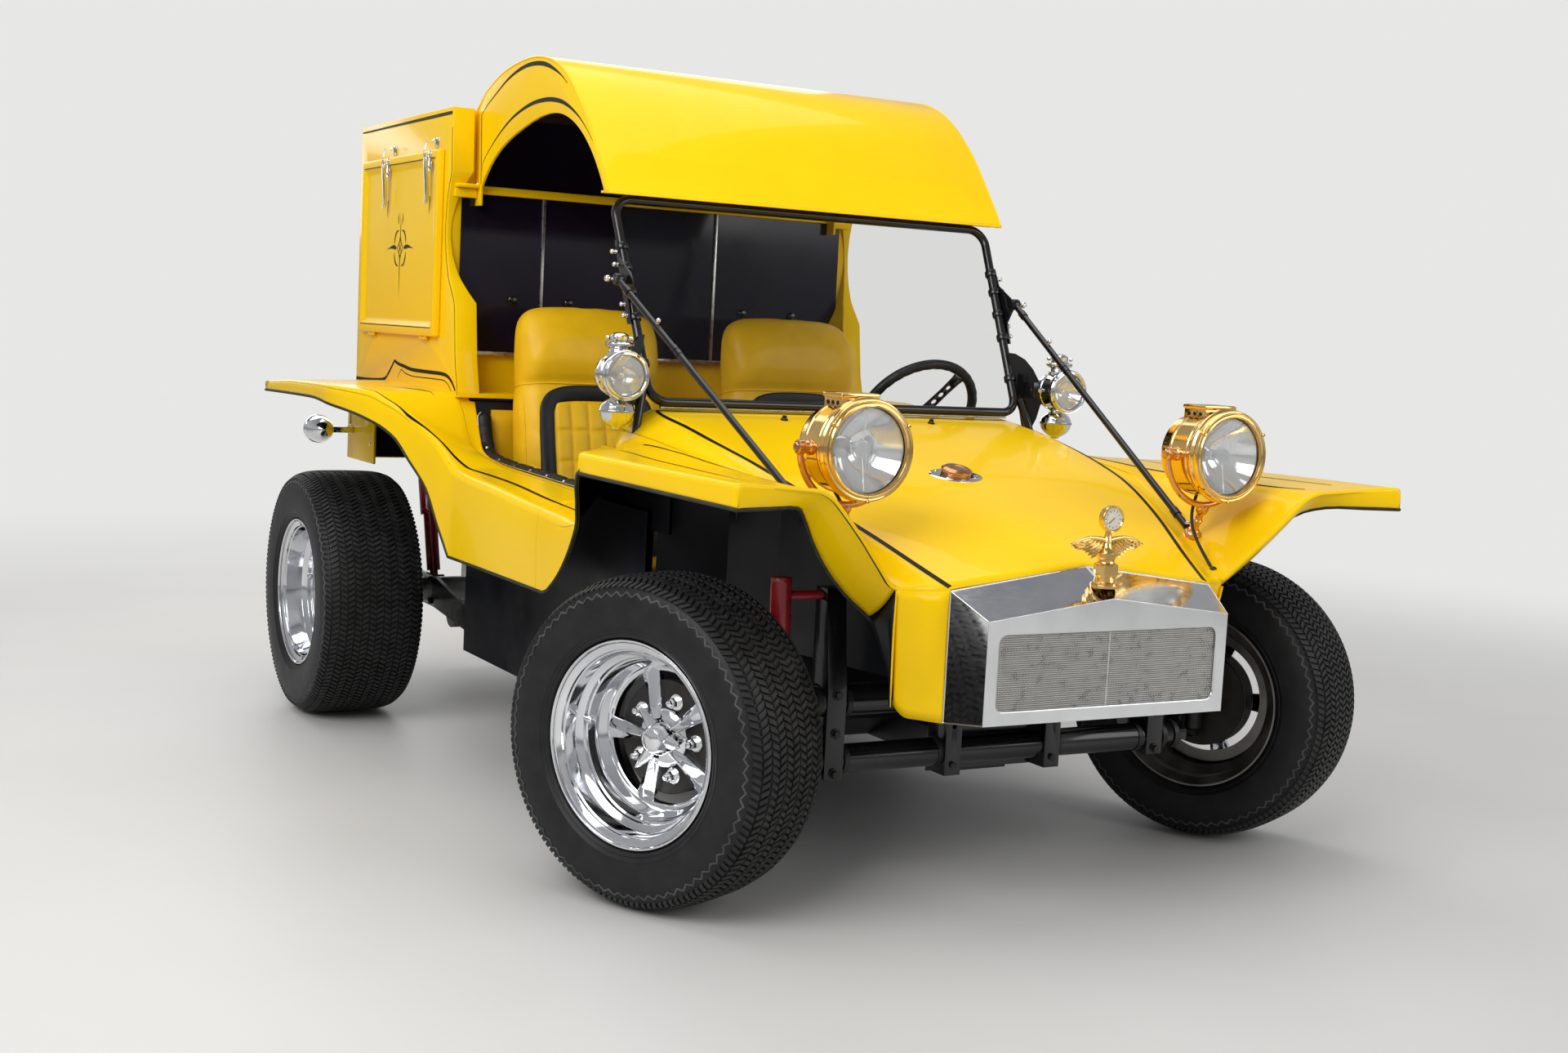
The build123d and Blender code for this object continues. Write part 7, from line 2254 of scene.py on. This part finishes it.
def make_dashboard():
    """Padded panel with four gauges and switches, the steering column, the gear lever and the pedals."""
    pad, rings, faces, marks = Shape(), Shape(), Shape(), Shape()
    rows = []
    for y in [-0.480 + 0.016 * k for k in range(61)]:
        end = 0.94 if abs(y) > 0.47 else 1.0
        rows.append([Vector((x, y, 0.8735 + (z - 0.8735) * end)) for x, z in
                     ((0.414, 0.801), (0.403, 0.801), (0.4015, 0.806), (0.4015, 0.925), (0.4030, 0.936),
                      (0.4065, 0.944), (0.4110, 0.9468), (0.4140, 0.944))])
    pad.grid(rows, close_v=True)
    pad.faces.append(tuple(range(8)))
    pad.faces.append(tuple(reversed(range(len(pad.verts) - 8, len(pad.verts)))))
    pad.piece("dash_pad", "black_vinyl", angle=40, node="dashboard")
    for y, z, r in ((0.165, 0.886, 0.030), (0.330, 0.914, 0.024), (0.438, 0.880, 0.026),
                    (0.065, 0.886, 0.026)):
        at = turned((0.4015, y, z), (-1, 0, 0))
        rings.lathe([(0.0, r + 0.004), (0.003, r + 0.004), (0.0055, r + 0.002), (0.006, r),
                     (0.003, r - 0.002)], at, steps=36)
        faces.lathe([(0.0030, r - 0.001), (0.0031, 0.0)], at, steps=28)
        for k in range(9):
            turn = Matrix.Rotation(math.radians(-120 + 30 * k), 4, "X")
            marks.block((0.0032, r - 0.008, -0.0006), (0.0035, r - 0.004, 0.0006), at @ turn)
        marks.block((0.0033, -0.003, -0.0007), (0.0038, r - 0.007, 0.0007), at @ Matrix.Rotation(1.1, 4, "X"))
        marks.lathe([(0.0033, 0.003), (0.0045, 0.0025), (0.0048, 0.0)], at, steps=12)
    for y in (-0.07, -0.04, 0.22, 0.225):
        at = turned((0.4015, y, 0.842), (-1, 0, 0))
        rings.lathe([(0.0, 0.0075), (0.003, 0.0070), (0.0035, 0.0035), (0.010, 0.0030), (0.011, 0.0060),
                     (0.017, 0.0062), (0.019, 0.0045), (0.0195, 0.0)], at, steps=20)
    rings.piece("gauge_rings", "chrome", angle=30)
    faces.piece("gauge_faces", "black_gloss", angle=30)
    marks.piece("gauge_marks", "ivory", smooth=False)
    collar = Shape()
    at = turned(STEERING_AT, (math.cos(STEERING_LEAN), 0, -math.sin(STEERING_LEAN)), (0, 1, 0))
    collar.lathe([(0.0335, 0.0), (0.0335, 0.0215), (0.037, 0.0250), (0.070, 0.0255), (0.074, 0.0235),
                  (0.110, 0.0235), (0.112, 0.0250), (0.122, 0.0250), (0.124, 0.0235), (0.560, 0.0235),
                  (0.564, 0.0265), (0.580, 0.0265), (0.584, 0.0235), (0.640, 0.0235), (0.640, 0.0)], at,
                 steps=32)
    collar.tube([at @ Vector((w, y, 0)) for w, y in ((0.092, 0.022), (0.080, 0.060), (0.074, 0.105))],
                [0.0042, 0.0036, 0.0050], steps=10)
    collar.piece("column_jacket", "black_gloss", angle=30, node="steering_column")
    # Gear lever, gaiter and pedals with ribbed pads.
    gear = Shape()
    base = turned((0.150, 0, 0.350), (0, 0, 1), (1, 0, 0))
    gear.lathe([(0.0, 0.0355), (0.004, 0.0345), (0.008, 0.0285), (0.011, 0.0300), (0.015, 0.0235),
                (0.018, 0.0245), (0.022, 0.0160), (0.030, 0.0095), (0.032, 0.0)], base, steps=32)
    gear.tube([(0.150, 0, 0.372), (0.162, 0, 0.425), (0.176, 0, 0.505), (0.185, 0, 0.558)],
              [0.0068, 0.0062, 0.0055, 0.0052], steps=12)
    at = turned((0.185, 0, 0.548), (0.03, 0, 1), (1, 0, 0))
    gear.lathe([(0.0, 0.0075), (0.004, 0.0140), (0.012, 0.0205), (0.022, 0.0222), (0.032, 0.0205),
                (0.040, 0.0140), (0.0435, 0.0060), (0.044, 0.0)], at, steps=28)
    for y in (0.240, 0.320, 0.400):
        gear.tube([(0.600, y, 0.250), (0.596, y, 0.300), (0.584, y, 0.360), (0.571, y, 0.405)], 0.0075,
                  steps=10)
        gear.block((0.561, y - 0.029, 0.376), (0.570, y + 0.029, 0.444), bevel=0.003)
        for k in range(6):
            z = 0.384 + 0.0105 * k
            gear.block((0.5570, y - 0.024, z), (0.5620, y + 0.024, z + 0.005), bevel=0.0012)
    gear.tube([(0.600, 0.205, 0.2475), (0.600, 0.425, 0.2475)], 0.0115, steps=14)
    gear.piece("gear_and_pedals", "black_gloss", angle=40, node="cabin_controls")


def make_shell():
    """Folded bright beads along the radiator shell's edges."""
    beads = Shape()
    front = [(1.4985, -0.2975, 0.4235), (1.4985, -0.2975, 0.6235), (1.4985, 0, 0.6615),
             (1.4985, 0.2975, 0.6235), (1.4985, 0.2975, 0.4235)]
    back = [(1.4055, -0.3255, 0.4125), (1.4055, -0.3255, 0.6705), (1.4055, 0, 0.7135),
            (1.4055, 0.3255, 0.6705), (1.4055, 0.3255, 0.4125)]
    for a, b in list(zip(front, front[1:])) + list(zip(back, back[1:])) + list(zip(front, back)):
        beads.tube([a, b], 0.0015, steps=8)
    beads.tube([front[0], front[-1]], 0.0015, steps=8)
    for p in front[1:4]:
        beads.ball(p, 0.0016, 10)
    beads.piece("grille_shell_beads", "chrome", angle=60)


CRANK_Z, FAN_Z = 0.345, 0.540


def make_engine():
    """Flat four with finned barrels, covers, cooler housing, fan, belt, coil and leads."""
    case, fins, dark = Shape(), Shape(), Shape()
    case.block((-1.388, -0.109, 0.236), (-1.042, 0.109, 0.429), bevel=0.012)
    for k in range(5):
        x = -1.365 + 0.072 * k
        case.block((x, -0.1105, 0.246), (x + 0.010, 0.1105, 0.416), bevel=0.003)
    for side in (-1, 1):
        for x in (-1.270, -1.140):
            at = turned((x, side * 0.108, 0.340), (0, side, 0))
            profile = [(0.0, 0.040)]
            for k in range(11):
                w = 0.008 + 0.0115 * k
                profile += [(w, 0.040), (w + 0.001, 0.0515), (w + 0.004, 0.0515), (w + 0.005, 0.040)]
            fins.lathe(profile + [(0.134, 0.040)], at, steps=40)
        case.block((-1.338, side * 0.241, 0.286), (-1.072, side * 0.318, 0.399), bevel=0.006)
        dark.block((-1.330, side * 0.316, 0.290), (-1.080, side * 0.3295, 0.395), bevel=0.005)
        for x in (-1.270, -1.140):
            dark.lathe([(0.0, 0.007), (0.012, 0.007), (0.014, 0.005), (0.030, 0.004), (0.031, 0.0)],
                       turned((x, side * 0.282, 0.399), (0.1, side * 0.2, 1)), steps=12)
            dark.tube(smooth_line([Vector((x, side * 0.288, 0.428)), Vector((x, side * 0.24, 0.470)),
                                   Vector((x + 0.02, side * 0.12, 0.470)),
                                   Vector((-1.225, side * 0.03, 0.455)),
                                   Vector((-1.235, side * 0.008, 0.478))], 6), 0.0034, steps=8)
    dark.block((-1.138, -0.268, 0.430), (-1.052, 0.268, 0.608), bevel=0.010)
    for k in range(9):
        y = -0.24 + 0.06 * k
        dark.block((-1.1395, y - 0.004, 0.440), (-1.052, y + 0.004, 0.600), bevel=0.0015)
    generator = turned((-1.400, 0, FAN_Z), (1, 0, 0))
    case.lathe([(0.0, 0.0), (0.0, 0.046), (0.010, 0.051), (0.060, 0.052), (0.064, 0.049), (0.190, 0.049),
                (0.194, 0.052), (0.260, 0.052)], generator, steps=40)
    for centre, r, w in ((Vector((-1.4195, 0, CRANK_Z)), 0.085, 0.030),
                         (Vector((-1.4245, 0, FAN_Z)), 0.055, 0.026)):
        at = turned(centre, (1, 0, 0))
        dark.lathe([(0.0, 0.0), (0.0, 0.016), (0.004, 0.020), (0.006, 0.7 * r), (0.001, 0.8 * r), (0.0, r),
                    (0.008, 0.94 * r), (0.016, 0.94 * r), (w, r), (w, 0.0)], at, steps=44)
    belt = []
    for start, sweep, r, z in ((8, 164, 0.0545, FAN_Z), (172, 196, 0.0825, CRANK_Z)):
        for k in range(25):
            a = math.radians(start + sweep * k / 24)
            belt.append((r * math.cos(a), z + r * math.sin(a)))
    corners = ((-1.413, -1), (-1.403, -1), (-1.403, 1), (-1.413, 1))
    rows = []
    for i, (y, z) in enumerate(belt):
        before, after = belt[i - 1], belt[(i + 1) % len(belt)]
        t = Vector((0, after[0] - before[0], after[1] - before[1])).normalized()
        n = Vector((0, -t.z, t.y)) * 0.004
        rows.append([Vector((x, y, z)) + n * s for x, s in corners])
    dark.grid(rows, close_u=True, close_v=True)
    dark.lathe([(0.0, 0.020), (0.050, 0.020), (0.052, 0.028), (0.066, 0.027), (0.072, 0.014), (0.074, 0.0)],
               turned((-1.270, 0, 0.426), (0, 0, 1), (1, 0, 0)), steps=28)
    dark.lathe([(0.0, 0.0), (0.0, 0.022), (0.080, 0.022), (0.084, 0.008), (0.092, 0.007), (0.092, 0.0)],
               turned((-1.135, 0.19, 0.405), (0, 0, 1), (1, 0, 0)), steps=24)
    case.piece("engine_case", "engine_alloy", angle=35, node="engine")
    fins.piece("engine_fins", "engine_alloy", angle=35)
    dark.piece("engine_covers", "black_gloss", angle=35)


def make_running_gear():
    """Ribs, flanges, bolts, boots and brake pipes on the axles, springs and silencer."""
    iron, rubber_parts, bright = Shape(), Shape(), Shape()
    # Transaxle: ribs round the bell and case, bolted flanges on the axle tubes.
    nose = turned((-1.040, 0, REAR_Z), (1, 0, 0))
    for w, r in ((0.002, 0.168), (0.078, 0.106), (0.148, 0.104)):
        bright.lathe([(w, r - 0.02), (w, r), (w + 0.003, r + 0.002), (w + 0.009, r + 0.002), (w + 0.012, r),
                      (w + 0.012, r - 0.02)], nose, steps=56)
    for a in angles(10):
        bolt(iron, (-1.026, 0.150 * math.cos(a), REAR_Z + 0.150 * math.sin(a)), (1, 0, 0), 0.006, 0.007)
        bright.tube([(-0.950, 0.099 * math.cos(a), REAR_Z + 0.099 * math.sin(a)),
                     (-0.700, 0.082 * math.cos(a), REAR_Z + 0.082 * math.sin(a))], 0.0042, steps=8)
    for side in (-1, 1):
        boot = [(0.0, 0.036)]
        for k in range(6):
            boot += [(0.010 + 0.022 * k, 0.040), (0.021 + 0.022 * k, 0.058 - 0.003 * k)]
        rubber_parts.lathe(boot + [(0.146, 0.038), (0.156, 0.037)],
                           turned((REAR_X, side * 0.110, REAR_Z), (0, side, 0)), steps=32)
        for a in angles(6, 0.3):
            bolt(iron, (REAR_X + 0.050 * math.cos(a), side * 0.662, REAR_Z + 0.050 * math.sin(a)),
                 (0, -side, 0), 0.005, 0.006)
        # Spring arm's bolts and the silencer's straps.
        for x, z in ((-0.600, 0.300), (-0.910, 0.378), (-0.955, 0.372), (-0.905, 0.312)):
            bolt(iron, (x, side * 0.5725, z), (0, side, 0), 0.0060, 0.007)
        rubber_parts.tube([(-0.600, side * 0.548, 0.300), (-0.600, side * 0.559, 0.300)], 0.056, steps=36)
        for y in (0.22, 0.08):
            iron.tube([(-1.437, side * y - 0.010, 0.190), (-1.437, side * y + 0.010, 0.190)], 0.0495,
                      steps=40)
        # Brake pipe along the axle beam.
        iron.tube(smooth_line([Vector((1.130, 0.0, 0.438)), Vector((1.128, side * 0.15, 0.437)),
                               Vector((1.120, side * 0.34, 0.438)), Vector((1.104, side * 0.47, 0.436)),
                               Vector((1.080, side * 0.505, 0.400))], 6), 0.0030, steps=8)
        # Bands, bolts and shock absorber details on the beam.
        for z in (0.285, 0.405):
            for y in (0.155, 0.385, 0.455, 0.490):
                iron.tube([(1.130, side * y - 0.006, z), (1.130, side * y + 0.006, z)], 0.0325, steps=28)
        for y, z in ((0.13, 0.262), (0.13, 0.425), (0.42, 0.262), (0.42, 0.345), (0.42, 0.425)):
            bolt(iron, (1.1665, side * y, z), (1, 0, 0), 0.0070, 0.008)
        bolt(iron, (1.116, side * 0.4445, 0.625), (0, -side, 0), 0.007, 0.006)
    for name, material, shape in (("gear_bolts", "iron", iron), ("gear_boots", "rubber_lead", rubber_parts),
                                  ("gear_ribs", "engine_alloy", bright)):
        shape.piece(name, material, angle=35)
    dampers = Shape()
    for side in (-1, 1):
        for foot, head, r0, r1 in (((1.118, 0.535, 0.500), (1.112, 0.535, 0.660), 0.020, 0.0222),
                                   ((-1.045, 0.535, 0.560), (-1.080, 0.540, 0.725), 0.0265, 0.0285)):
            foot, head = (Vector((x, side * y, z)) for x, y, z in (foot, head))
            axis = head - foot
            length = axis.length
            at = turned(foot, axis, (0, 1, 0))
            dampers.lathe([(-0.002, 0.0), (-0.002, r0), (0.003, r1), (0.010, r1), (0.012, r0 + 0.001),
                           (length - 0.012, r0 + 0.001), (length - 0.010, r1), (length - 0.002, r1),
                           (length + 0.002, r0), (length + 0.002, 0.0)], at, steps=36)
    dampers.piece("damper_bodies", "damper_red", angle=30)


def make_well_lining():
    """Black lining inside the front fenders, painted shade on the tail plate's back, and the tail plate's
    screws and strips.
    """
    lining = Shape()
    for side in (-1, 1):
        rows = []
        for x, top in ((0.345, 0.860), (0.450, 0.868), (0.560, 0.870), (0.640, 0.862), (0.716, 0.862)):
            rows.append([Vector((x, side * 0.590, 0.700)), Vector((x, side * 0.590, top)),
                         Vector((x, side * 0.596, top)), Vector((x, side * 0.596, 0.700))])
        lining.grid(rows, close_v=True)
    lining.piece("well_lining", "black_paint", smooth=False)
    plate, screws, strips = Shape(), Shape(), Shape()
    # Black sheet on the front face of the tail's cross plate: painted shade over the yellow plate.
    plate.block((-1.4675, -0.655, 0.694), (-1.4655, 0.655, 0.900))
    plate.piece("tail_plate_painted_shade", "black_paint", smooth=False)
    for side in (-1, 1):
        for x, z in ((-1.232, 0.885), (-1.232, 0.850), (-1.232, 0.820), (-1.236, 0.750), (-1.448, 0.872),
                     (-1.448, 0.790)):
            screws.lathe([(0.0, 0.0062), (0.0016, 0.0056), (0.0028, 0.0036), (0.0031, 0.0)],
                         turned((x, side * 0.666, z), (0, side, 0)), steps=16)
        strips.block((-1.452, side * 0.6655, 0.780), (-1.444, side * 0.6665, 0.884), bevel=0.0004)
    screws.piece("tail_plate_screws", "chrome", angle=30)
    strips.piece("tail_plate_strips", "black_paint", smooth=False)


make_post_fittings()
make_dashboard()
make_shell()
make_engine()
make_running_gear()
make_well_lining()
for plain, cut, slot_name in (("front_beam", 0.003, "black_gloss"), ("axle_links", 0.0025, "black_gloss")):
    softened(plain, cut, plain + "_soft", slot_name, segments=2)
